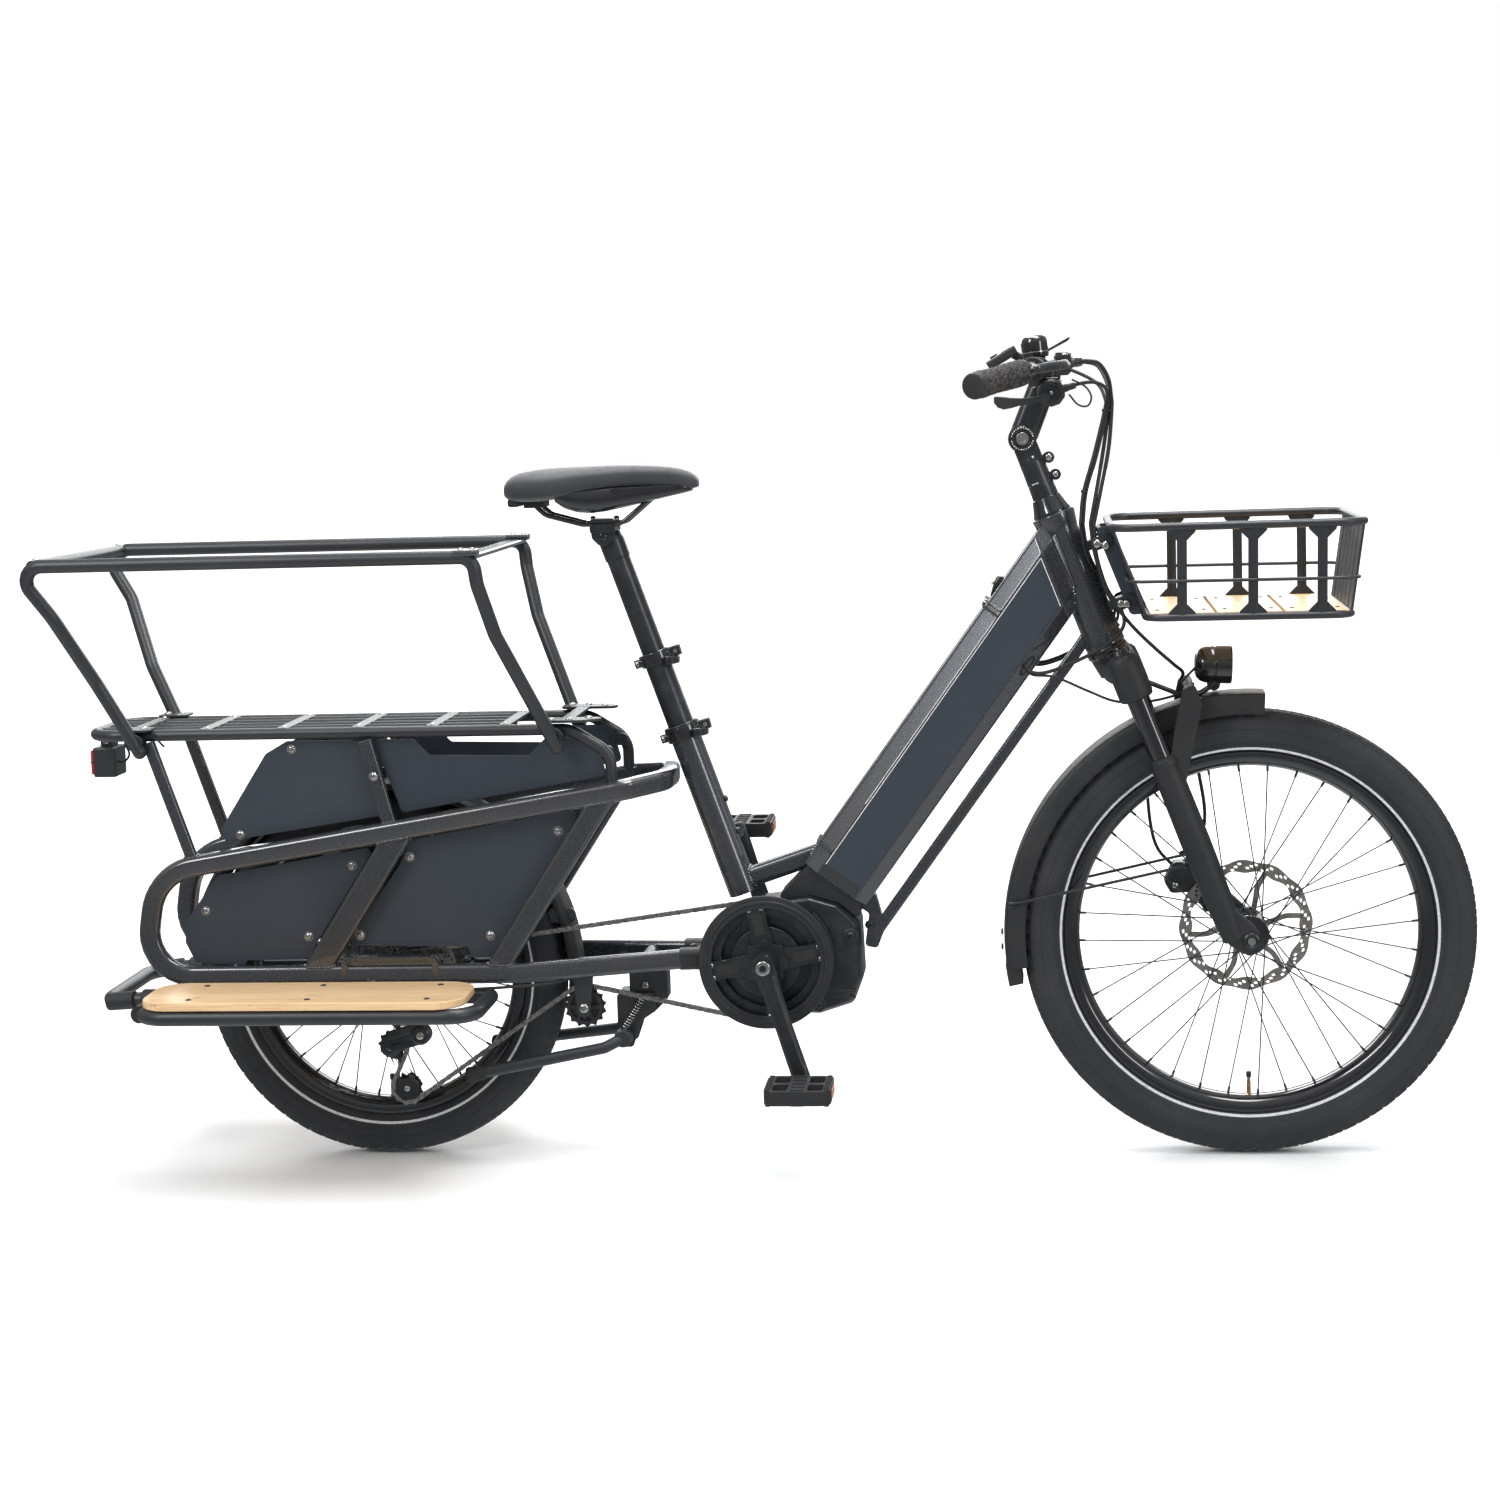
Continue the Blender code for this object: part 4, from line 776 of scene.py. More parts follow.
    # The near ends of the lower rails go into black covers at the motor.
    covers = both(sweep([(440, -36, 292.6), (482, -33, 293)], rounded(27, 31, 8, 4)))
    piece("rail_ends", "frame", covers, "plastic", bevel=0.8)


build_frame()
build_rear_frame()


# Wheels.
def tyre_profile(outer):
    half = [
        (61.5, 14), (57, 20.5), (47, 27), (36, 31.2), (25, 32), (15, 29.6), (8, 24.6), (3.6, 17), (1.9, 9),
        (1.5, 0),
    ]
    side = spline([(outer - d, y, 0) for d, y in half], 4)
    return [(p.x, p.y) for p in side]


def tyre_y(profile, radius):
    for (r0, y0), (r1, y1) in zip(profile, profile[1:]):
        if r0 <= radius <= r1:
            return y0 + (y1 - y0) * (radius - r0) / (r1 - r0)
    return profile[0][1]


def build_wheel(name, x, z, outer, stripe_r, rotor_r, reach):
    body = f"{name}_wheel"
    profile = tyre_profile(outer)
    inner = [(outer - 60, -9), (outer - 57, 0), (outer - 60, 9)]
    loop = profile + [(r, -y) for r, y in reversed(profile[:-1])] + inner
    piece(f"{name}_tyre", body, [lathe(x, z, loop, 120)], "tyre", [f"{name}_tire"], slot="tyre")
    # Tread: slanted blocks on the shoulders and a broken band round the middle.
    pitch = 11.0
    count = int(2 * math.pi * outer / pitch)
    blocks = []

    def tread_block(angle, spots, rise):
        low, high = [], []
        for along, y in spots:
            r = next(
                rr for rr, yy in reversed(profile) if yy >= abs(y) - 1e-6 or rr == profile[0][0]
            ) if abs(y) > 1 else outer - 1.5
            a = angle + along / outer
            low.append((x + (r - 0.8) * math.cos(a), y, z + (r - 0.8) * math.sin(a)))
            top = min(r + rise, outer)
            high.append((x + top * math.cos(a), y * 0.995, z + top * math.sin(a)))
        blocks.append(skin([low, high]))

    for i in range(count):
        a = 2 * math.pi * i / count
        for sign in (-1, 1):
            lean = 2.5 if i % 2 else -1.0
            tread_block(
                a,
                [
                    (lean, sign * 17.5), (7.4 + lean, sign * 17.5), (10.0 + lean, sign * 24.5),
                    (3.4 + lean, sign * 24.5),
                ],
                1.6,
            )
            if i % 2 == 0:
                tread_block(
                    a, [(0, sign * 25.6), (6.5, sign * 25.6), (8.5, sign * 29.3), (2.5, sign * 29.3)], 1.2
                )
            tread_block(a, [(0, sign * 2.2), (8.6, sign * 4.4), (9.4, sign * 15.6), (1.2, sign * 15.6)], 1.5)
    piece(f"{name}_tread", body, blocks, "tyre", angle=30)
    wide = 1.7
    bands = []
    for sign in (-1, 1):
        y0, y1 = tyre_y(profile, stripe_r - wide), tyre_y(profile, stripe_r + wide)
        ring = [
            (stripe_r - wide, sign * (y0 - 0.4)), (stripe_r - wide, sign * (y0 + 0.35)),
            (stripe_r + wide, sign * (y1 + 0.35)), (stripe_r + wide, sign * (y1 - 0.4)),
        ]
        bands.append(lathe(x, z, ring, 120))
    piece(f"{name}_stripe", body, bands, "stripe")
    ribs = []
    for radius in (stripe_r + 6.5, stripe_r + 9.5, outer - 27):
        for sign in (-1, 1):
            y = tyre_y(profile, radius)
            ribs.append(
                lathe(
                    x, z,
                    [
                        (radius - 0.7, sign * (y - 0.5)), (radius, sign * (y + 0.45)),
                        (radius + 0.7, sign * (y - 0.5)),
                    ],
                    96,
                )
            )
    piece(f"{name}_ribs", body, ribs, "tyre")
    bed = outer - 62
    half = [
        (bed + 1.6, 17.2), (bed + 1.6, 19.6), (bed - 1, 20.2), (bed - 9, 19.6), (bed - 14.5, 15.5),
        (bed - 19, 8.5), (bed - 20, 0),
    ]
    rim = half + [(r, -y) for r, y in reversed(half[:-1])] + [(bed - 4, -14), (bed - 6, 0), (bed - 4, 14)]
    piece(f"{name}_rim", body, [lathe(x, z, rim, 120)], "gloss", [f"{name}_wheel"], slot="gloss_black")
    spokes, nipples = [], []
    for i in range(36):
        sign = -1 if i % 2 else 1
        trail = 1 if (i // 2) % 2 else -1
        a = math.radians(10 * i + 3)
        b = a + trail * math.radians(62)
        hub = Vector((x + 24 * math.cos(b), sign * (31 + 1.2 * trail), z + 24 * math.sin(b)))
        end = Vector((x + (bed - 18) * math.cos(a), sign * 4.0, z + (bed - 18) * math.sin(a)))
        spokes.append(rod(hub, end, 1.0, 6))
        way = (end - hub).normalized()
        nipples.append(turned(end - way * 10, way, [(0, 1.3), (1, 1.9), (11, 1.9), (12, 2.6), (14, 2.6)], 8))
        spokes.append(
            turned(hub + Vector((0, sign * 1.2 * trail, 0)), (0, 1, 0), [(-2.2, 1.6), (2.2, 1.6)], 8)
        )
    piece(f"{name}_spokes", body, spokes, "alloy", angle=60)
    piece(f"{name}_nipples", body, nipples, "alloy", angle=40)
    steps = [
        (-reach, 10), (-reach + 1, 12), (-36, 14), (-34, 27.5), (-33, 28.2), (-29.5, 28.2), (-28.5, 27),
        (-25, 19), (-16, 16.5), (16, 16.5), (25, 19), (28.5, 27), (29.5, 28.2), (33, 28.2), (34, 27.5),
        (36, 20), (41, 19), (41.5, 24), (46, 24), (47.5, 15), (48, 10),
    ]
    piece(f"{name}_hub", body, [turned((x, 0, z), (0, 1, 0), steps, 48)], "gloss", bevel=0.3)
    # Disc: a wavy ring with rows of slots, on curved arms.
    sides, rows = 240, 5
    low, high = rotor_r - 16, rotor_r
    points = []
    for i in range(sides):
        a = 2 * math.pi * i / sides
        wave = 1.5 * math.cos(12 * a)
        for j in range(rows + 1):
            r = low + (high - low) * j / rows + (
                wave if j == rows else (-wave * 1.4 if j == 0 else 0.3 * wave)
            )
            twist = 0.012 * j
            points.append((a + twist, r))
    gone = {(i, j) for i in range(sides) for j in range(1, rows - 1) if (i + 3 * j) % 10 in (0, 1)}
    verts, faces = [], []
    for y in (42.5, 44.3):
        verts += [Vector((x + r * math.cos(a), y, z + r * math.sin(a))) for a, r in points]
    n, base = rows + 1, len(points)
    for i in range(sides):
        i2 = (i + 1) % sides
        for j in range(rows):
            if (i, j) in gone:
                continue
            q = (i * n + j, i * n + j + 1, i2 * n + j + 1, i2 * n + j)
            faces += [q, tuple(base + k for k in reversed(q))]
            for (p0, p1), (di, dj) in (
                ((q[0], q[1]), (-1, 0)), ((q[2], q[3]), (1, 0)), ((q[1], q[2]), (0, 1)),
                ((q[3], q[0]), (0, -1)),
            ):
                other = ((i + di) % sides, j + dj)
                if other in gone or not 0 <= other[1] < rows:
                    faces.append((p1, p0, base + p0, base + p1))
    arms = []
    for i in range(6):
        a = math.radians(60 * i)
        curve = [
            (x + r * math.cos(a + t), 43.4, z + r * math.sin(a + t))
            for r, t in ((20, 0), (40, 0.16), (58, 0.22), (low + 3, 0.16))
        ]
        arms.append(sweep(spline(curve, 5), rounded(8.0, 1.8, 0.5, 1), up=(0, 1, 0)))
    piece(f"{name}_rotor", body, [(verts, faces), *arms], "rotor")
    carrier = [lathe(x, z, [(19, 41.5), (26, 41.5), (27, 42.3), (27, 44.5), (26, 45.4), (19, 45.4)], 48)]
    piece(f"{name}_rotor_carrier", body, carrier, "alloy", bevel=0.3)
    bolts = []
    for i in range(6):
        a = math.radians(60 * i)
        bolts += screw((x + 22 * math.cos(a), 45.2, z + 22 * math.sin(a)), (0, 1, 0), 3.6, 2)
    piece(f"{name}_rotor_bolts", body, bolts, "steel")
    valve, way = Vector((x, 0, z - (bed - 19))), Vector((0, 0, 1))
    piece(
        f"{name}_valve", body,
        [turned(valve, way, [(-3, 4.5), (1, 4.5), (2, 3), (20, 3), (20, 2.4), (27, 2.4)], 12)], "brass",
    )
    piece(
        f"{name}_valve_cap", body, [turned(valve + way * 26, way, [(0, 3.6), (7, 3.8), (8, 3)], 12)],
        "plastic",
    )


build_wheel("front", *FRONT, 265, 94, 50)
build_wheel("rear", *REAR, 222, 92, 50)



# Fork, front fender and headlamp.
def build_fork():
    low = -UP_STEER
    crown = [
        steer(-30, 14, -80), steer(-31, 14, -66), steer(-30, 10, -40), steer(-26, 3, -14), steer(-26, 3, 14),
        steer(-30, 10, 40), steer(-31, 14, 66), steer(-30, 14, 80),
    ]
    solids = [sweep(spline(crown, 5), rounded(44, 46, 15, 4), up=UP_STEER)]
    solids += both(
        turned(
            steer(-9, 14, -LEG_Y), low,
            [(0, 15), (3, 20), (9, 23.5), (22, 24.5), (58, 24.5), (64, 23), (66, 19)], 40,
        )
    )
    solids += [turned(steer(-36, 1), UP_STEER, [(0, 24), (20, 27.5), (30, 29)], 40)]
    piece("fork_crown", "steering", solids, "plastic", ["fork_upper"], bevel=0.6)
    knobs = both(
        turned(steer(-12, 14, -LEG_Y), UP_STEER, [(0, 14), (3, 14), (5, 12), (9, 11.5), (11, 9.5)], 24)
    )
    piece("fork_caps", "steering", knobs, "alloy", bevel=0.4)
    race = [turned(steer(-8, 0), UP_STEER, [(0, 29), (1, 30), (6, 30.3), (11, 29.5), (13.5, 28)], 48)]
    piece("lower_headset", "steering", race, "gloss", bevel=0.3)
    legs = both(rod(steer(-60, 14, -LEG_Y), steer(-250, 14, -LEG_Y), 16, 40))
    piece("stanchions", "steering", legs, "gloss", slot="gloss_black")
    piece("steerer", "steering", [rod(steer(-20, 0), steer(262, 0), 14.2, 32)], "steel")

    steps = [
        (0, 18), (1, 21), (12, 21.6), (14, 20), (19, 19.6), (60, 20), (150, 20.6), (215, 19.6), (258, 17.2),
        (276, 16),
    ]
    toe = flat_fillet(
        [steer(a, b).xz for a, b in ((-392, 0), (-392, 27), (-436, 48), (-466, 46), (-470, 26), (-444, 4))],
        11, 5,
    )
    web = flat_fillet(
        [
            steer(a, b).xz
            for a, b in ((-215, 20), (-208, 33), (-116, 93), (-84, 95), (-84, 77), (-138, 42), (-163, 28))
        ],
        7, 5,
    )
    solids = both(
        turned(steer(-165, 14, -LEG_Y), low, steps, 40), slab(toe, -LEG_Y - 12, -LEG_Y + 10),
        slab(web, -LEG_Y - 9, -LEG_Y + 4),
    )
    solids += [
        sweep(
            [
                steer(-92, 85, -66), steer(-90, 86, -40), steer(-88, 86, 0), steer(-90, 86, 40),
                steer(-92, 85, 66),
            ],
            rounded(15, 14, 5, 4), up=UP_STEER,
        )
    ]
    piece(
        "fork_legs", "sliders", solids, "plastic", ["fork_lowers"], bevel=2.2, segments=3, slot="satin_black"
    )
    seals = both(turned(steer(-163, 14, -LEG_Y), low, [(0, 17), (0.5, 19.4), (5, 20.6), (6, 20.6)], 40))
    piece("leg_seals", "sliders", seals, "rubber", bevel=0.3)
    ends = both(turned((1252, -76, 320), (0, -1, 0), [(0, 13), (2, 13), (4, 11.5), (5, 8), (3, 6)], 32))
    ends += both(turned(steer(-466, 30, -LEG_Y), low, [(-3, 9), (1, 9), (3, 7)], 20))
    piece("front_axle_caps", "sliders", ends, "alloy", bevel=0.3)
    piece("front_axle", "sliders", [across(1252, 320, -80, 80, 5.6)], "steel")
    outline = flat_fillet(
        [(1136, 384), (1150, 412), (1196, 412), (1204, 388), (1186, 368), (1146, 366)], 8, 5
    )
    body = [
        slab(outline, 48, 74),
        slab(flat_fillet([(1160, 420), (1196, 402), (1214, 340), (1196, 336), (1172, 372)], 7), 56, 68),
    ]
    piece("front_caliper", "sliders", body, "alloy", bevel=2.0)
    bolts = screw((1158, 74, 392), (0, 1, 0), 5, 3) + screw((1190, 74, 398), (0, 1, 0), 5, 3) + screw(
        (1152, 48, 378), (0, -1, 0), 4.6, 2
    )
    piece("caliper_bolts", "sliders", bolts, "steel")
    hose = spline(
        [
            (1150, 66, 404), (1128, 70, 430), (1118, 72, 470), (1112, 74, 540), (1100, 76, 600),
            tuple(steer(-168, 40, 74)),
        ],
        8,
    )
    piece("front_brake_hose", "sliders", [sweep(hose, circle(2.5, 10))], "rubber")


def fender_profile(outer, lip):
    half = [(lip, 38.5), (lip + 6, 38.2), (outer - 5, 34.5), (outer - 1.4, 26), (outer - 0.3, 13), (outer, 0)]
    half = [(p.x, p.y) for p in spline([(r, y, 0) for r, y in half], 4)]
    skin_out = half + [(r, -y) for r, y in reversed(half[:-1])]
    return skin_out + [(r - 2.4, y * 0.945) for r, y in reversed(skin_out)]


def build_fenders():
    x, z, _ = FRONT
    guard = lathe(x, z, fender_profile(346, 317), 72, 86, 188)
    piece("front_mudguard", "sliders", [guard], "plastic", ["front_fender"], bevel=0.5, slot="black_plastic")
    stays = both(
        sweep(fillet([(914, -38.5, 369), (934, -42, 372), (1170, -46, 424)], 10, 4), circle(2.2, 10))
    )
    piece("front_stays", "sliders", stays, "plastic")
    flap = [lathe(x, z, [(346.6, -34), (346.6, 34), (326, 34), (326, -34)], 8, 186.5, 192)]
    piece("mud_flap", "sliders", flap, "rubber", bevel=0.8)
    bolts = both(*screw((919, -39.5, 368), (0, -1, 0), 4.6, 2.6)) + screw((904, 0, 322), (-1, 0, 0), 5, 2.4)
    bolts += screw((904, 0, 300), (-1, 0, 0), 5, 2.4) + both(*screw((1163, -50, 424), (0, -1, 0), 4.6, 2.4))
    piece("front_fender_bolts", "sliders", bolts, "alloy")
    x, z, _ = REAR
    guard = lathe(x, z, fender_profile(292, 279), 96, -6, 168)
    piece("rear_mudguard", "frame", [guard], "plastic", ["rear_fender"], bevel=0.5, slot="black_plastic")


def build_headlamp():
    way = (1, 0, -0.03)
    shell = turned(
        (1180, 0, 703), way,
        [
            (0, 13), (2, 18), (7, 23), (13, 25.5), (26, 26.6), (27, 25.8), (28.4, 25.8), (29.4, 26.8),
            (49, 27), (51.5, 26.2), (51.5, 24.4), (46, 23.6),
        ],
        48,
    )
    fins = [
        turned((1180, 0, 703), way, [(d, 24.6), (d + 0.2, 25.9), (d + 1.4, 26.1), (d + 1.6, 24.8)], 48)
        for d in (14, 17, 20)
    ]
    foot = [slab(flat_fillet([(1196, 682), (1216, 682), (1214, 668), (1198, 668)], 3), -7, 7)]
    piece("lamp_shell", "headlamp", [shell, *fins, *foot], "gloss", ["headlamp"], bevel=0.3)
    piece(
        "lamp_lens", "headlamp",
        [turned((1226, 0, 701.6), way, [(0, 24), (2.5, 24.3), (4.4, 20), (5.2, 10), (5.4, 0.5)], 48)], "lens",
    )
    ring = [turned((1224, 0, 701.7), way, [(0, 23.8), (2.4, 23.8), (-6, 6), (-7, 1)], 32)]
    piece("lamp_reflector", "headlamp", ring, "steel")
    piece("lamp_bolts", "headlamp", both(*screw((1206, -7, 675), (0, -1, 0), 5.2, 3)), "steel", bevel=0.2)
    # The bracket comes forward from the fork arch and ends in two eyes beside the lamp's foot.
    arm = both(
        sweep(
            fillet(
                [steer(-60, 30, -12), (1160, -12, 660), (1188, -13, 662), (1206, -10, 674), (1210, -10, 680)],
                10, 5,
            ),
            circle(2.6, 12),
        )
    )
    arm += both(turned((1206, -8, 674), (0, -1, 0), [(0, 8), (3.4, 8)], 24))
    piece("lamp_bracket", "sliders", arm, "alloy", bevel=0.2)
    lead = spline(
        [(1182, -6, 700), (1170, -18, 690), (1150, -30, 672), (1120, -40, 660), (1092, -44, 668)], 8
    )
    piece("lamp_lead", "headlamp", [sweep(lead[:14], circle(1.9, 8))], "rubber")


build_fork()
build_fenders()
build_headlamp()


# Basket.
def fluted(start, end, wide, deep, lines=4):
    """A flat slat with raised lines on both faces; wide is across its own face."""
    half = []
    for i in range(lines * 2 + 1):
        half.append((-wide / 2 + wide * i / (2 * lines), deep / 2 - (0.9 if i % 2 == 0 else 0)))
    section = half + [(-u, -v) for u, v in half]
    return sweep([start, end], section, up=(1, 0, 0.0))


def build_basket():
    def loop(x0, x1, half, z0, z1, bend, radius):
        path = fillet(
            [(x0, -half, z0), (x1, -half, z1), (x1, half, z1), (x0, half, z0)], bend, 8, closed=True
        )[1:]
        return sweep(path, circle(radius, 18), closed=True)

    rims = [
        loop(1062, 1401, 159, 905, 907, 34, 5.6), loop(1108, 1384, 150, 782, 782, 28, 5.2),
        loop(1084, 1394, 157.5, 832, 832, 24, 2.4),
    ]
    uprights = []
    for x in (1156, 1251, 1343):
        top, low = Vector((x, -158.5, 903)), Vector((x, -150.5, 784))
        uprights.append(sweep([low, top], rounded(13.5, 5.2, 1.6, 2)))
        uprights.append(sweep([low, top], rounded(4.5, 6.8, 1.2, 2)))
        for end, sign in ((top, -1), (low, 1)):
            for lean in (-1, 1):
                web = [
                    (x + lean * 6, end.z + sign * 17), (x + lean * 6, end.z + sign * 1),
                    (x + lean * 19, end.z + sign * 1), (x + lean * 18, end.z + sign * 5),
                ]
                uprights.append(slab(web, end.y - 1.7, end.y + 1.7))
    solids = rims + both(*uprights)
    for y in (-113, -66, -22, 22, 66, 113):
        solids.append(fluted((1384, y, 784), (1401, y, 906), 36, 4.6))
    for y in (-128, -88, 88, 128):
        solids.append(fluted((1108, y, 784), (1063, y, 904), 32, 4.6))
    for y in (-50, 50):
        solids.append(fluted((1106, y, 784), (1066, y, 900), 30, 4.6, 3))
    solids += [block(x - 7, x + 7, -149, 149, 777.4, 780.6) for x in (1156, 1251, 1343)]
    piece("basket_frame", "frame", solids, "black", ["basket"], bevel=0.4, slot="satin_black")
    boards = []
    for x0, x1 in ((1113, 1199.5), (1204, 1291), (1295.5, 1380)):
        outline = plan_fillet([(x0, -145), (x1, -145), (x1, 145), (x0, 145)], 5, 4)
        boards.append(sheet(outline, 780.8, 788))
    piece("basket_boards", "frame", boards, "bamboo", bevel=0.9, slot="bamboo")
    screws = []
    for x in (1125, 1188, 1216, 1279, 1307, 1368):
        for y in (-96, 96):
            screws += screw((x, y, 788), (0, 0, 1), 3.4, 1.2)
    piece("basket_screws", "frame", screws, "alloy")
    # The channel between the head tube's bosses and the basket.
    cheek = flat_fillet(
        [steer(170, 47).xz, (1066, 902), (1073, 884), (1112, 790), (1106, 779), steer(36, 48).xz], 8, 5
    )
    channel = both(slab(cheek, -45, -41.6))
    channel += [bar(steer(38, 52.5), steer(166, 52.5), 5, 88, 1.5)]
    piece("basket_channel", "frame", channel, "slate", bevel=1.2, slot="panel_slate")
    ears = []
    for along in (56, 146):
        ears.append(
            slab(
                flat_fillet(
                    [steer(along + a, b).xz for a, b in ((-9, 34), (9, 34), (9, 64), (-9, 64))], 8, 5
                ),
                -48.5, -45,
            )
        )
    piece("basket_ears", "frame", both(*ears), "black", bevel=0.8)
    bolts = []
    for point in ((1057, 876), (1085, 794), steer(56, 42).xz, steer(146, 42).xz):
        bolts += screw((point[0], -48.5, point[1]), (0, -1, 0), 6.4, 3.6)
    piece("basket_bolts", "frame", both(*bolts), "steel", bevel=0.3)


build_basket()


# Rack, passenger rails, side panels and decks.
def build_rack():
    rail = [
        (357, -85, 556), (357, -85, 600), (300, -85, 635), (-404, -85, 635), (-404, 85, 635), (300, 85, 635),
        (357, 85, 600), (357, 85, 556),
    ]
    solids = [tube(rail, 8.2, 44, 20, 8)]
    solids += [tube([(212, y, 639), (-392, y, 639)], 4.2, 0, 14) for y in (-52, -18, 18, 52)]
    for x in (-339, -232, -118, -9, 99, 205):
        solids.append(sweep([(x, -86, 641), (x, 86, 641)], rounded(17, 5, 1.6, 2), up=(0, 0, 1)))
        solids += both(block(x - 7, x + 7, -86, -76, 634, 641))
    piece("rack_rails", "frame", solids, "black", ["cargo_rack"], bevel=0.4, slot="satin_black")
    plates = []
    outline = plan_fillet([(262, -104), (318, -104), (346, -84), (340, -66), (262, -66)], 9, 5)
    plates += both(sheet(outline, 646, 650))
    plates += [block(286, 304, -80, 80, 645.6, 649.6)]
    outline = plan_fillet([(-350, -112), (-306, -112), (-306, -72), (-350, -72)], 7, 5)
    plates += both(sheet(outline, 643, 646.4))
    piece("rack_plates", "frame", plates, "black", bevel=0.8)
    bolts = []
    for x, y, z in (
        (274, -92, 650), (300, -92, 650), (326, -78, 650), (-340, -92, 646.4), (-318, -92, 646.4)
    ):
        bolts += both(*screw((x, y, z), (0, 0, 1), 5.2, 3))
    for x in (-339, -232, -118, -9, 99, 205):
        bolts += both(*screw((x, -70, 643.4), (0, 0, 1), 3.8, 1.8))
    piece("rack_bolts", "frame", bolts, "steel", bevel=0.2)


def build_hoops():
    near = [
        (-322, -106, 614), (-372, -128, 716), (-414, -176, 815), (-462, -HOOP_Y, HOOP_Z),
        (192, -HOOP_Y, HOOP_Z), (196, -190, 850), (214, -168, 778), (284, -106, 612),
    ]
    solids = both(sweep(fillet(near, 46, 12), circle(9.75, 24)))
    for (x, y, z), way in ((near[-1], (0.35, 0, -1)), (near[0], (0.4, 0, -1))):
        solids += both(turned((x, y, z), way, [(-2, 9.75), (1, 9.75), (5, 9), (8.6, 6), (10, 2)], 24))
    solids += [tube([(-432, -HOOP_Y, HOOP_Z), (-432, HOOP_Y, HOOP_Z)], 8.6, 0, 24)]
    piece("hoops", "frame", solids, "black", ["passenger_rails"], slot="satin_black")
    plates = [sweep([(183, -HOOP_Y, HOOP_Z), (183, HOOP_Y, HOOP_Z)], rounded(26, 7, 2.4, 3), up=(0, 0, 1))]
    for y in (-HOOP_Y, HOOP_Y):
        plates.append(sweep([(166, y, HOOP_Z + 6), (200, y, HOOP_Z + 6)], rounded(22, 9, 4, 3), up=(0, 0, 1)))
    piece("hoop_cross_plate", "frame", plates, "grey", bevel=0.6)
    collars = []
    for x, z in ((-327, 628), (282, 628)):
        collars += both(
            turned(
                (x, -88, z), (0, -1, 0),
                [(0, 11), (18, 11), (19, 12.4), (26, 12.4), (27, 11), (27, 6.5), (22, 6)], 32,
            )
        )
    piece("hoop_feet", "frame", collars, "alloy", bevel=0.4)
    bolts = []
    for x, y in ((176, -HOOP_Y), (192, -HOOP_Y), (-432, -HOOP_Y + 16)):
        bolts += both(*screw((x, y, HOOP_Z + (10.4 if x > 0 else 8.4)), (0, 0, 1), 4.2, 2.4))
    piece("hoop_bolts", "frame", bolts, "steel")


PANELS = {
    "upper_rear": [(-218, 495), (-213, 478), (26, 514), (-8, 623), (-114, 623), (-146, 605)],
    "upper_front": [
        (13, 624), (72, 623), (94, 600), (237, 597), (261, 621), (328, 622), (337, 613), (349, 567), (50, 517)
    ],
    "lower_rear": [
        (-227, 428), (-2, 467), (3, 459), (-93, 314), (-105, 304), (-189, 303), (-192, 296), (-265, 300),
        (-279, 330), (-277, 360),
    ],
    "lower_front": [
        (61, 478), (309, 519), (182, 305), (144, 305), (138, 321), (-32, 323), (-37, 333), (42, 440)
    ],
}
SCREWS = [
    (-107, 611), (-189, 488), (18, 574), (-26, 441), (-246, 377), (-95, 338), (346, 600), (276, 488),
    (59, 453), (172, 337), (-19, 339),
]


def build_panels():
    for where, outline in PANELS.items():
        for side, sign in (("right", -1), ("left", 1)):
            plate = slab(flat_fillet(outline, 7, 5), sign * 73.7, sign * 76.7)
            piece(
                f"plate_{where}_{side}", "frame", [plate], "slate", [f"panel_{where}_{side}"], bevel=0.7,
                slot="panel_slate",
            )
    heads, tabs = [], []
    for x, z in SCREWS:
        tall = 104 if (x, z) == (18, 574) else 76.7
        heads += screw((x, -tall, z), (0, -1, 0), 5.6, 2.6)
        heads.append(turned((x, -tall + 0.1, z), (0, -1, 0), [(-0.5, 7), (0.6, 7)], 24))
        tabs.append(
            slab(
                flat_fillet([(x - 12, z - 9), (x + 12, z - 9), (x + 12, z + 9), (x - 12, z + 9)], 6), -73, -70
            )
        )
    piece("panel_screws", "frame", both(*heads), "steel", bevel=0.2)
    piece("panel_tabs", "frame", both(*tabs), "grey", bevel=0.5)


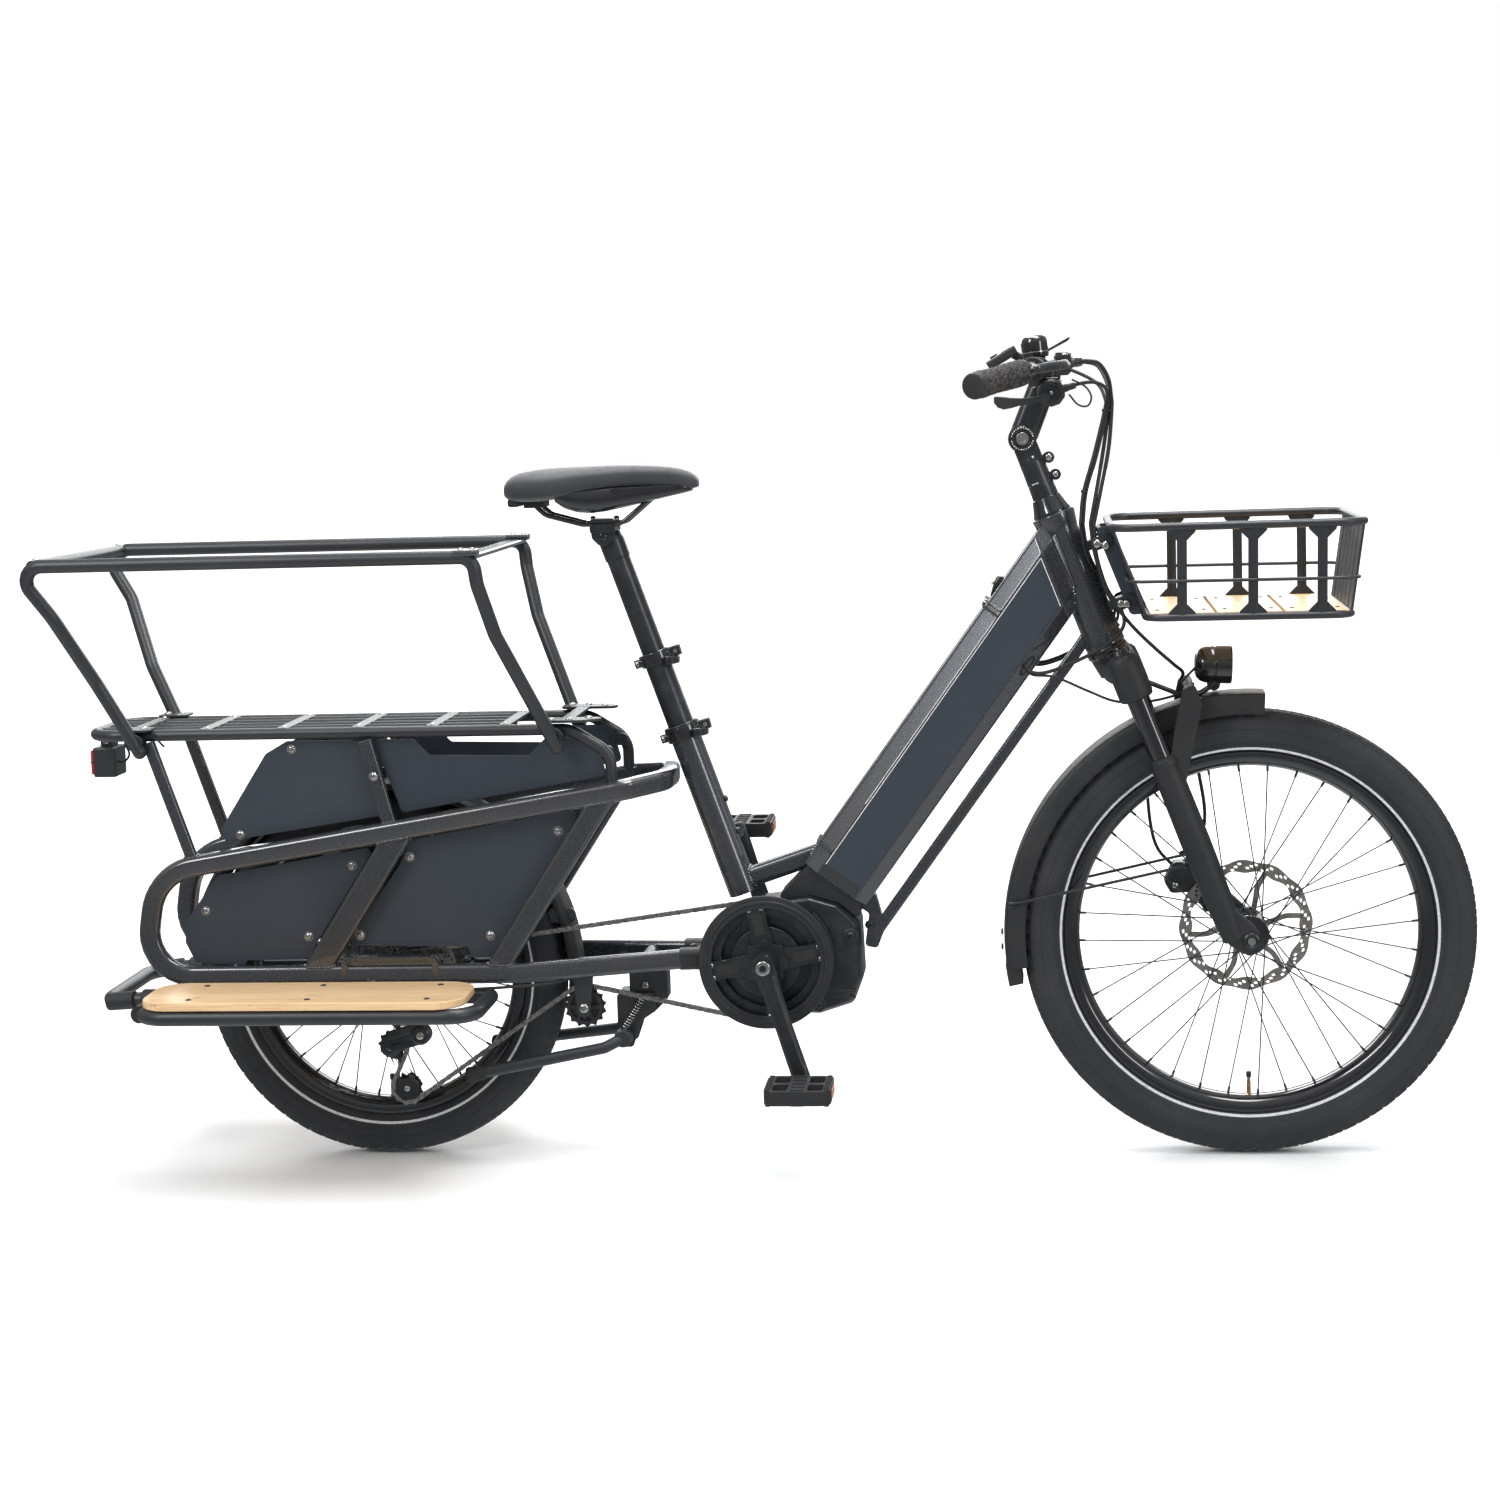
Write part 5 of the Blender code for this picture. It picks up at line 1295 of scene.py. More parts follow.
def build_decks():
    loop = [(176, -112, 256), (176, -244, 256), (-303, -246, 256), (-300, -112, 256)]
    solids = both(
        tube(loop, 11, 40, 24, 9), sweep([(176, -116, 256), (-330, -116, 256)], rounded(18, 18, 4, 3))
    )
    solids += [
        tube([(-320, -116, 256), (-392, -112, 250), (-392, 112, 250), (-320, 116, 256)], 11, 40, 24, 9)
    ]
    piece("deck_tubes", "frame", solids, "black", ["deck_frame"], bevel=0.3, slot="satin_black")
    sleeves = both(
        tube([(-306, -222, 256), (-304, -150, 256)], 12.6, 0, 28), tube(
            [(-344, -119, 255), (-386, -111.5, 250.8)], 13, 0, 28
        ),
        turned((-310, -116, 256), (-1, 0, 0), [(0, 12), (2, 14), (22, 14), (24, 12)], 28),
    )
    piece("deck_sleeves", "frame", sleeves, "plastic", bevel=0.8)
    tabs = both(*[bar((x, -104, 262), (x, -88, 276), 22, 5, 1.5) for x in (-230, -60, 110)])
    tabs += both(*[bar((x, -118, 262.5), (x, -240, 262.5), 4, 26, 1.5) for x in (-230, -60, 110)])
    piece("deck_brackets", "frame", tabs, "black", bevel=0.5)
    for side, sign in (("right", 1), ("left", -1)):
        outer = plan_fillet([(160, -116), (163, -254), (-300, -254), (-302, -116)], 42, 8)
        outline = [(x, sign * y) for x, y in outer]
        piece(
            f"board_{side}", "frame", [sheet(outline, 267.4, 279)], "bamboo", [f"deck_{side}"], bevel=2.0,
            segments=3, slot="bamboo",
        )
    heads = []
    for x in (-230, -60, 110):
        for y in (-140, -232):
            heads += both(*screw((x, y, 279), (0, 0, 1), 4.6, 1.4))
    piece("deck_screws", "frame", heads, "alloy")


build_rack()
build_hoops()
build_panels()
build_decks()


# Drive: motor, crank, chain, idler, cassette, derailleur and stand.
def scaled(outline, factor):
    """An (x, z) outline made larger or smaller about the middle of its points."""
    cx, cz = sum(x for x, _ in outline) / len(outline), sum(z for _, z in outline) / len(outline)
    return [(cx + (x - cx) * factor, cz + (z - cz) * factor) for x, z in outline]


def toothed(x, z, y0, y1, inner, root, tip, teeth):
    """A sprocket ring, chamfered at its teeth."""
    rings = []
    for i in range(teeth * 6):
        a = 2 * math.pi * i / (teeth * 6)
        radius = (root, root + (tip - root) * 0.35, tip, tip, root + (tip - root) * 0.35, root)[i % 6]
        thin = (y1 - y0) * 0.28 * (radius - root) / (tip - root)
        profile = [(inner, y0), (radius, y0 + thin), (radius, y1 - thin), (inner, y1)]
        rings.append([(x + r * math.cos(a), y, z + r * math.sin(a)) for r, y in profile])
    return skin(rings, closed=True)


def build_motor():
    outline = [
        (497, 262), (497, 322), (515, 352), (560, 374), (632, 384), (672, 372), (701, 345), (704, 262),
        (690, 226), (640, 210), (560, 214), (515, 234),
    ]
    shell = flat_fillet(outline, 14, 5)
    ring = [
        [(x, y, z) for x, z in scaled(shell, f)]
        for f, y in (
            (0.86, -43), (0.93, -42.6), (0.965, -39), (1, -30), (1, 36), (0.97, 46), (0.9, 54), (0.8, 55)
        )
    ]
    piece("motor_shell", "frame", [skin(ring)], "alloy", ["motor_housing"], bevel=1.2, slot="alloy_black")
    ribs = [bar((654 + 9 * i, -40.5, 250), (654 + 9 * i, -40.5, 345 - 7 * i), 3.4, 7, 1.2) for i in range(4)]
    ribs += [bar((640, -41, 236 + 9 * i), (694, -41, 236 + 9 * i), 3.0, 5, 1.0) for i in range(2)]
    arc = [(math.radians(a), 94) for a in range(-30, 50, 5)]
    arc = [(CRANK[0] + r * math.cos(a), -42, CRANK[1] + r * math.sin(a)) for a, r in arc]
    ribs.append(sweep(arc, rounded(7, 8, 2), up=(0, 1, 0)))
    piece("motor_ribs", "frame", ribs, "plastic", bevel=0.6)
    # The shoulder of the motor's cover, which fills the space under the down tube's cut end.
    left, right = down(-31, -6), down(-31, -98)
    cover = flat_fillet(
        [(left.x, left.z), (right.x, right.z), (701, 346), (672, 371), (632, 383), (578, 375)], 5, 4
    )
    piece("motor_shoulder", "frame", [slab(cover, -33, 33)], "plastic", bevel=1.6)
    bolts = []
    for x, z in ((688, 326), (520, 340), (640, 226)):
        bolts += [
            turned((x, -42, z), (0, -1, 0), [(0, 11), (3, 10.5), (4, 9)], 28)
        ] + screw((x, -45.5, z), (0, -1, 0), 6, 3)
    bolts += screw((713, -9, 335), (0, -1, 0), 6.5, 3.4)
    piece("motor_bolts", "frame", bolts, "alloy", bevel=0.3)


def arm_rings(start, end, stations):
    """A tapering, faceted crank arm: (share of the way, wide, deep, push outwards)."""
    start, end = Vector(start), Vector(end)
    along = (end - start).normalized()
    wide = along.cross(Vector((0, 1, 0))).normalized()
    rings = []
    for share, w, d, push in stations:
        middle = start.lerp(end, share) + Vector((0, push, 0))
        cut_w, cut_d = w * 0.22, d * 0.34
        spots = [
            (w / 2, d / 2 - cut_d), (w / 2 - cut_w, d / 2), (-w / 2 + cut_w, d / 2), (-w / 2, d / 2 - cut_d),
            (-w / 2, -d / 2 + cut_d), (-w / 2 + cut_w, -d / 2), (w / 2 - cut_w, -d / 2),
            (w / 2, -d / 2 + cut_d),
        ]
        rings.append([middle + wide * u + Vector((0, v, 0)) for u, v in spots])
    return skin(rings)


def build_crank():
    x, z = CRANK
    ring = [toothed(x, z, -53.2, -50.8, 66, 85.4, 91.0, 44)]
    piece("chainring", "crank", ring, "alloy", ["crankset_right"], slot="alloy_black", angle=30)
    guard = [
        (78, -62), (78, -64.8), (79.4, -66), (84, -65.6), (85, -66.9), (88.4, -66.9), (89.4, -65.7),
        (94, -65.9), (96.4, -65), (97, -63.4), (96.4, -62),
    ]
    piece("chain_guard", "crank", [lathe(x, z, guard, 128)], "plastic", bevel=0.2, slot="black_plastic")
    arms, pockets, bolts = [], [], []
    for i in range(4):
        a = math.radians(90 * i + 10)
        c, s = math.cos(a), math.sin(a)

        def spot(r, t):
            return (x + r * c - t * s, z + r * s + t * c)

        arms.append(
            slab(
                flat_fillet(
                    [spot(14, -17), spot(60, -13), spot(83, -15), spot(83, 15), spot(60, 13), spot(14, 17)], 5
                ),
                -63.4, -53.6,
            )
        )
        pocket = flat_fillet([spot(40, -7.5), spot(72, -7.5), spot(72, 7.5), spot(40, 7.5)], 3)
        pockets.append(slab(pocket, -63.9, -63.2))
        for t in (-9, 9):
            bolts += screw((spot(78, t)[0], -63.4, spot(78, t)[1]), (0, -1, 0), 3.4, 1.8)
        bolts += screw((spot(46, 0)[0], -58.6, spot(46, 0)[1]), (0, -1, 0), 3.0, 1.4)
    star = []
    for i in range(48):
        a = 2 * math.pi * i / 48
        r = 31 + 3.2 * math.cos(8 * a)
        star.append((x + r * math.cos(a), z + r * math.sin(a)))
    arms.append(slab(star, -67.5, -52))
    arms.append(turned((x, -52, z), (0, -1, 0), [(0, 50), (2, 50.5), (4, 50), (4.4, 36)], 64))
    piece("spider", "crank", arms, "alloy", bevel=0.9, slot="alloy_black")
    piece("spider_pockets", "crank", pockets, "rubber")
    piece("spider_bolts", "crank", bolts, "steel")
    toe = (x + 170 * math.sin(math.radians(18)), z - 170 * math.cos(math.radians(18)))
    heel = (2 * x - toe[0], 2 * z - toe[1])
    stations = [
        (-0.09, 24, 12, 0), (-0.05, 31, 16, 0), (0.06, 33, 17, 0), (0.2, 28, 16, 0), (0.55, 25, 14, 0),
        (0.88, 26, 13, 0), (1.03, 26, 13, 0), (1.08, 17, 10, 0),
    ]
    near = [arm_rings((x, -98, z), (toe[0], -110.5, toe[1]), stations), across(x, z, -107, -66, 17.5, 40)]
    piece("crank_arm_right", "crank", near, "alloy", bevel=1.0, slot="alloy_black")
    far = [arm_rings((x, 92, z), (heel[0], 110.5, heel[1]), stations), across(x, z, 56, 100, 17.5, 40)]
    piece("crank_arm_left", "crank", far, "alloy", ["crank_left"], bevel=1.0, slot="alloy_black")
    caps = both(
        turned(
            (x, -106, z), (0, -1, 0), [(0, 10.5), (2.4, 10.5), (3.4, 9.2), (3.4, 5), (0, 4.6), (0.2, 1)], 32
        )
    )
    caps += [
        turned((toe[0], -104, toe[1]), (0, 1, 0), [(0, 9), (3, 9), (3, 5), (4, 4.5)], 6),
        turned((heel[0], 104, heel[1]), (0, -1, 0), [(0, 9), (3, 9)], 6),
    ]
    caps += [across(*toe, -123, -104, 6.5, 24), across(*heel, 104, 123, 6.5, 24)]
    piece("crank_bolts", "crank", caps, "steel", bevel=0.3)
    for side, sign, (px, pz) in (("right", -1, toe), ("left", 1, heel)):
        lo, hi = sorted((sign * 120.5, sign * 213.5))
        outline = plan_fillet([(px - 47, lo), (px + 47, lo), (px + 47, hi), (px - 47, hi)], 15, 6)
        windows = []
        for x0, x1 in ((-35, -14), (14, 35)):
            for y0, y1 in ((128, 162), (172, 206)):
                a, b = sorted((sign * y0, sign * y1))
                hole = plan_fillet([(px + x0, a), (px + x1, a), (px + x1, b), (px + x0, b)], 5, 3)
                windows.append(sheet(hole, pz - 40, pz + 40))
        piece(
            f"pedal_body_{side}", f"{side}_pedal", [sheet(outline, pz - 10.5, pz + 10.5)], "plastic",
            [f"pedal_{side}"], bevel=1.4, cuts=windows, slot="black_plastic",
        )
        studs = []
        for k in range(9):
            y = sign * (128 + 9.75 * k)
            for dx in (-41, 41):
                for top in (-1, 1):
                    studs.append(
                        block(
                            px + dx - 3.4, px + dx + 3.4, y - 2.6, y + 2.6, pz + (10.2 if top > 0 else -12.2),
                            pz + (12.2 if top > 0 else -10.2),
                        )
                    )
            if k % 2 == 0:
                studs += [
                    block(px - 9, px + 9, y - 3, y + 3, pz + 10.2, pz + 12.0),
                    block(px - 9, px + 9, y - 3, y + 3, pz - 12.0, pz - 10.2),
                ]
        piece(f"pedal_tread_{side}", f"{side}_pedal", studs, "rubber", bevel=0.6)
        piece(
            f"pedal_barrel_{side}", f"{side}_pedal", [across(px, pz, sign * 119, sign * 212, 9.6, 28)],
            "gloss", bevel=0.5,
        )
        glass = [
            sweep([(px + dx, sign * 148, pz), (px + dx, sign * 186, pz)], rounded(2.4, 13, 1.0, 2))
            for dx in (-47.2, 47.2)
        ]
        piece(f"pedal_reflectors_{side}", f"{side}_pedal", glass, "amber", bevel=0.3)


def belt(circles):
    """The closed path of a chain round (x, z, radius, turn) circles, where turn is +1 or -1."""
    legs = []
    for (x0, z0, r0, t0), (x1, z1, r1, t1) in zip(circles, circles[1:] + circles[:1]):
        dx, dz = x1 - x0, z1 - z0
        heading = math.atan2(dz, dx) - math.asin((t1 * r1 - t0 * r0) / math.hypot(dx, dz))
        nx, nz = -math.sin(heading), math.cos(heading)
        legs.append(((x0 - t0 * r0 * nx, z0 - t0 * r0 * nz), (x1 - t1 * r1 * nx, z1 - t1 * r1 * nz)))
    path = []
    for i, (x, z, r, turn) in enumerate(circles):
        arrive, leave = legs[i - 1][1], legs[i][0]
        a = math.atan2(arrive[1] - z, arrive[0] - x)
        b = math.atan2(leave[1] - z, leave[0] - x)
        span = (b - a) % (2 * math.pi) if turn > 0 else -((a - b) % (2 * math.pi))
        count = max(2, round(abs(span) / math.radians(4)))
        path += [
            Vector((x + r * math.cos(a + span * k / count), CHAIN_Y, z + r * math.sin(a + span * k / count)))
            for k in range(count + 1)
        ]
    return path


def build_chain():
    circles = [
        (*CRANK, 88.5, -1), (302, 227, 31.5, 1), (36, 108, 22.5, -1), (16, 172, 22.5, 1), (0, 269.5, 32.0, -1)
    ]
    path = belt(circles)
    path.append(path[0])
    total = sum((b - a).length for a, b in zip(path, path[1:]))
    count = 2 * round(total / 12.7 / 2)
    pitch, joints, need, run = total / count, [], 0.0, 0.0
    for a, b in zip(path, path[1:]):
        step = (b - a).length
        while need <= run + step and len(joints) < count and step > 0:
            joints.append(a.lerp(b, (need - run) / step))
            need += pitch
        run += step
    links, rollers = [], []
    for i, here in enumerate(joints):
        there = joints[(i + 1) % count]
        along = (there - here).normalized()
        rise = along.cross(Vector((0, 1, 0)))
        span = (there - here).length
        outline = []
        for k in range(16):
            a = 2 * math.pi * (k + 0.5) / 16
            waist = 4.1 if abs(math.cos(a)) > 0.35 else 3.0
            outline.append(
                along * (
                    span / 2 + math.copysign(span / 2, math.cos(a)) * (1 if abs(math.cos(a)) > 0.35 else 0.25)
                    + 4.1 * math.cos(a)
                )
                + rise * waist * math.sin(a)
            )
        for y0, y1 in (((-3.4, -2.6), (2.6, 3.4)) if i % 2 else ((-2.5, -1.7), (1.7, 2.5))):
            links.append(skin([[here + o + Vector((0, y, 0)) for o in outline] for y in (y0, y1)]))
        rollers.append(
            turned(
                here - Vector((0, 3.9, 0)), (0, 1, 0),
                [(0, 1.7), (2.3, 1.7), (2.3, 3.8), (5.5, 3.8), (5.5, 1.7), (7.8, 1.7)], 10,
            )
        )
    piece("chain_links", "frame", links + rollers, "chain", ["chain"], angle=40, slot="steel")


def build_rear_drive():
    x, z = 0.0, 269.5
    cogs = [turned((x, -66, z), (0, 1, 0), [(0, 13), (1, 14), (27, 14), (28, 13)], 40)]
    for y, r in (
        (-64, 20), (-60.6, 23.4), (-57.2, 27), (-52, 30.6), (-48.2, 34), (-45.2, 38), (-42.2, 42.4),
        (-39.2, 46.6),
    ):
        cogs.append(
            toothed(
                x, z, y - 0.9, y + 0.9, r * 0.62, r - 2.6, r + 1.4, max(11, round(2 * math.pi * r / 12.7))
            )
        )
        for k in range(5):
            a = math.radians(72 * k + r)
            cogs.append(
                sweep(
                    [
                        (x + 12 * math.cos(a), y, z + 12 * math.sin(a)),
                        (x + r * 0.7 * math.cos(a), y, z + r * 0.7 * math.sin(a)),
                    ],
                    rounded(5, 1.5, 0.5, 1), up=(0, 1, 0),
                )
            )
    piece("cogs", "cassette", cogs, "chain", ["cassette"], angle=30, slot="steel")
    wheel = [
        toothed(302, 227, -53.5, -50.5, 8, 27.4, 31.0, 15),
        lathe(302, 227, [(6, -57.6), (9, -57.6), (9, -47.4), (6, -47.4)], 32),
    ]
    wheel += [
        lathe(302, 227, [(21, -57.6), (26.4, -57.6), (26.4, -56), (21, -56)], 48),
        lathe(302, 227, [(21, -49), (26.4, -49), (26.4, -47.4), (21, -47.4)], 48),
    ]
    for k in range(6):
        a = math.radians(60 * k)
        wheel.append(
            sweep(
                [
                    (302 + 7 * math.cos(a), -52.5, 227 + 7 * math.sin(a)),
                    (302 + 24 * math.cos(a), -52.5, 227 + 24 * math.sin(a)),
                ],
                rounded(6, 9.5, 1.5, 2), up=(0, 1, 0),
            )
        )
    piece("idler_sprocket", "idler", wheel, "plastic", ["idler_wheel"], bevel=0.3, slot="black_plastic")
    upper, lower = (16.0, 172.0), (36.0, 108.0)
    for name, (px, pz) in (("upper", upper), ("lower", lower)):
        jockey = [
            toothed(px, pz, -53.4, -50.6, 5, 18.4, 22.2, 11),
            lathe(px, pz, [(3.6, -54.6), (8, -54.6), (8, -49.4), (3.6, -49.4)], 24),
        ]
        piece(
            f"jockey_{name}", f"{name}_pulley", jockey, "plastic", [f"pulley_{name}"], bevel=0.2,
            slot="black_plastic",
        )
    (ux, uz), (lx, lz) = upper, lower
    outline = [
        (ux - 11, uz - 4), (ux - 8, uz + 12), (ux + 9, uz + 11), (ux + 13, uz - 6), (ux + 12, uz - 30),
        (lx + 19, lz + 6), (lx + 14, lz - 15), (lx - 6, lz - 19), (lx - 19, lz - 6), (lx - 10, lz + 22),
    ]
    hole = [(ux - 1, uz - 18), (ux + 7, uz - 20), (lx + 6, lz + 16), (lx - 8, lz + 14)]
    plates = [slab(flat_fillet(outline, 8, 5), -61.3, -59.4), slab(flat_fillet(outline, 8, 5), -44.6, -42.6)]
    window = [slab(flat_fillet(hole, 3.5, 4), -80, -30)]
    piece(
        "cage_plates", "cage", plates, "alloy", ["derailleur_cage"], bevel=0.3, cuts=window,
        slot="alloy_black",
    )
    pins = [across(px, pz, -61, -43, 3, 16) for px, pz in (upper, lower)]
    for px, pz in (upper, lower):
        pins += screw((px, -61.3, pz), (0, -1, 0), 4.6, 1.8)
    piece("cage_pins", "cage", pins, "steel")
    knuckle = [turned((ux, -62, uz), (0, -1, 0), [(0, 14), (2, 15), (9, 15), (11, 13), (12, 8)], 36)]
    knuckle += [
        bar((12, -76, 180), (60, -82, 200), 24, 15, 5), bar((16, -86, 192), (62, -88, 206), 13, 6, 2.5),
        bar((20, -84, 172), (66, -86, 186), 12, 6, 2.5),
    ]
    knuckle += [
        turned((66, -72, 194), (0, -1, 0), [(0, 12), (2, 14.5), (19, 14.5), (22, 11)], 32),
        slab(flat_fillet([(56, 212), (76, 196), (30, 240), (-10, 240), (-12, 226), (26, 222)], 7), -90, -80),
    ]
    knuckle += [turned((-2, -80, 233), (0, -1, 0), [(0, 9), (12, 9), (13.4, 7)], 28)]
    piece("derailleur_links", "frame", knuckle, "alloy", ["derailleur_body"], bevel=0.8, slot="alloy_black")
    bolts = screw((66, -94, 194), (0, -1, 0), 6, 2.4) + screw(
        (-2, -93.4, 233), (0, -1, 0), 5.4, 2
    ) + screw((ux, -74, uz), (0, -1, 0), 5, 2)
    bolts += [turned((58, -84, 208), (0.55, -0.2, 0.75), [(0, 3), (14, 3), (14.5, 2)], 16)]
    piece("derailleur_bolts", "frame", bolts, "steel")
    stand = both(
        tube([(355, -48, 179), (330, -62, 168), (146, -100, 139)], 8.6, 16, 24, 6),
        turned((355, -28, 179), (0, -1, 0), [(0, 11), (1, 13), (27, 13), (29, 10)], 32),
    )
    stand += [
        across(355, 179, -58, 58, 5.5, 20),
        turned((355, -19, 179), (0, 1, 0), [(0, 10), (1, 11.4), (37, 11.4), (38, 10)], 32),
    ]
    piece("stand_legs", "stand", stand, "black", ["centre_stand"], bevel=0.6, slot="satin_black")
    feet = both(
        turned(
            (160, -97.2, 141.2), (-1, -0.205, -0.157), [(0, 9), (2, 11), (22, 12), (26, 11), (27.5, 7)], 28
        )
    )
    piece("stand_feet", "stand", feet, "rubber", bevel=0.8)
    coil = []
    for side in (-1, 1):
        points = []
        for k in range(14 * 12):
            a = 2 * math.pi * k / 12
            t = k / (14 * 12)
            spine = Vector((352, side * 32, 186)).lerp(Vector((384, side * 28, 236)), t)
            points.append(spine + Vector((0.84 * 5 * math.cos(a), 5 * math.sin(a), -0.54 * 5 * math.cos(a))))
        coil.append(sweep(points, circle(1.1, 6)))
    piece("stand_springs", "frame", coil, "steel", angle=60)


build_motor()
build_crank()
build_chain()
build_rear_drive()


# Seat posts and saddle.
def build_seat():
    piece(
        "post_lower", "seatpost_lower",
        [turned(seat(-150), UP_SEAT, [(0, 18), (1, 19), (256, 19), (258, 18.4)], 48)], "alloy",
        ["seatpost_lower"], slot="alloy_black",
    )
    head = [
        turned(seat(-10), UP_SEAT, [(0, 16.9), (296, 16.9)], 48),
        turned(seat(262), UP_SEAT, [(0, 16.9), (1, 18.4), (26, 18.6), (36, 17), (43, 12), (46, 5)], 48),
    ]
    head += [across(348, 904, -19, 19, 12.6, 36), bar(tuple(seat(270)), (347, 0, 908), 30, 30, 9)]
    piece("post_upper", "seatpost_upper", head, "alloy", ["seatpost_upper"], bevel=0.4, slot="alloy_black")
    for body, spot, radius, outer in (("frame", -13, 22.4, 26.4), ("seatpost_lower", 101, 19.4, 23.4)):
        collar = [
            turned(
                seat(spot), UP_SEAT,
                [(0, outer - 1), (1.5, outer), (17, outer), (18.5, outer - 1), (18.5, radius), (0, radius)],
                48,
            )
        ]
        for lean in (-1, 1):
            spine = seat(spot + 9.5) + Vector((math.cos(SEAT_LEAN), 0, math.sin(SEAT_LEAN))) * (outer + 5)
            collar.append(
                sweep(
                    [spine + Vector((-8, lean * 5, -2)), spine + Vector((9, lean * 5, 2.6))],
                    rounded(6, 15, 2.5),
                )
            )
        back = seat(spot + 9.5) - Vector((math.cos(SEAT_LEAN), 0, math.sin(SEAT_LEAN))) * (outer + 2)
        collar.append(sweep([back + Vector((8, 0, 2)), back + Vector((-6, 0, -2))], rounded(14, 13, 5)))
        piece(f"collar_{body}", body, collar, "gloss", bevel=0.6)
        pin = seat(spot + 9.5) + Vector((math.cos(SEAT_LEAN), 0, math.sin(SEAT_LEAN))) * (outer + 8)
        pins = [across(pin.x, pin.z, -10.5, 10.5, 3.2, 16)] + screw(
            (back.x - 2, -7, back.z - 1), (0, -1, 0), 3.6, 2
        )
        piece(f"collar_pin_{body}", body, pins, "steel")
    for name, spot, radius in (("lower", 0, 26), ("upper", 110, 23)):
        centre, arc = seat(spot - 2), []
        for i in range(19):
            turn = math.radians(-60 + 120 * i / 18)
            reach = radius + 8 + (2.5 if i > 15 else 0)
            arc.append(centre + Vector((math.cos(turn) * reach, -math.sin(turn) * reach, 0)))
        lever = [
            sweep(arc, rounded(5.4, 12, 2.4, 3), scale=lambda t: 1.0 if t < 0.8 else 1.0 + 0.5 * (t - 0.8))
        ]
        lever += [turned(arc[0] - Vector((0, 0, 7)), (0, 0, 1), [(0, 5), (1, 6), (13, 6), (14, 5)], 24)]
        piece(
            f"quick_lever_{name}", f"{name}_clamp_lever", lever, "gloss", [f"clamp_lever_{name}"], bevel=0.4,
            slot="steel",
        )


# The saddle's stations: x, half width, top and skirt.
SADDLE = [
    (212.5, 58, 979, 966), (214, 68, 985, 961), (220, 78, 992, 957), (232, 86, 997, 955),
    (252, 89, 1000, 955), (275, 86, 1001, 956), (292, 79, 1001.4, 959), (306, 70, 1001.6, 964),
    (325, 60, 1002, 968), (345, 52, 1002.6, 970), (370, 43, 1002.8, 972), (395, 35.5, 1002.4, 973),
    (420, 30, 1001.2, 972.5), (445, 26.5, 999, 971), (462, 24.5, 995.6, 969), (474, 21, 990, 967.4),
    (481, 16.5, 984.6, 968), (484.6, 11, 979, 970.6),
]


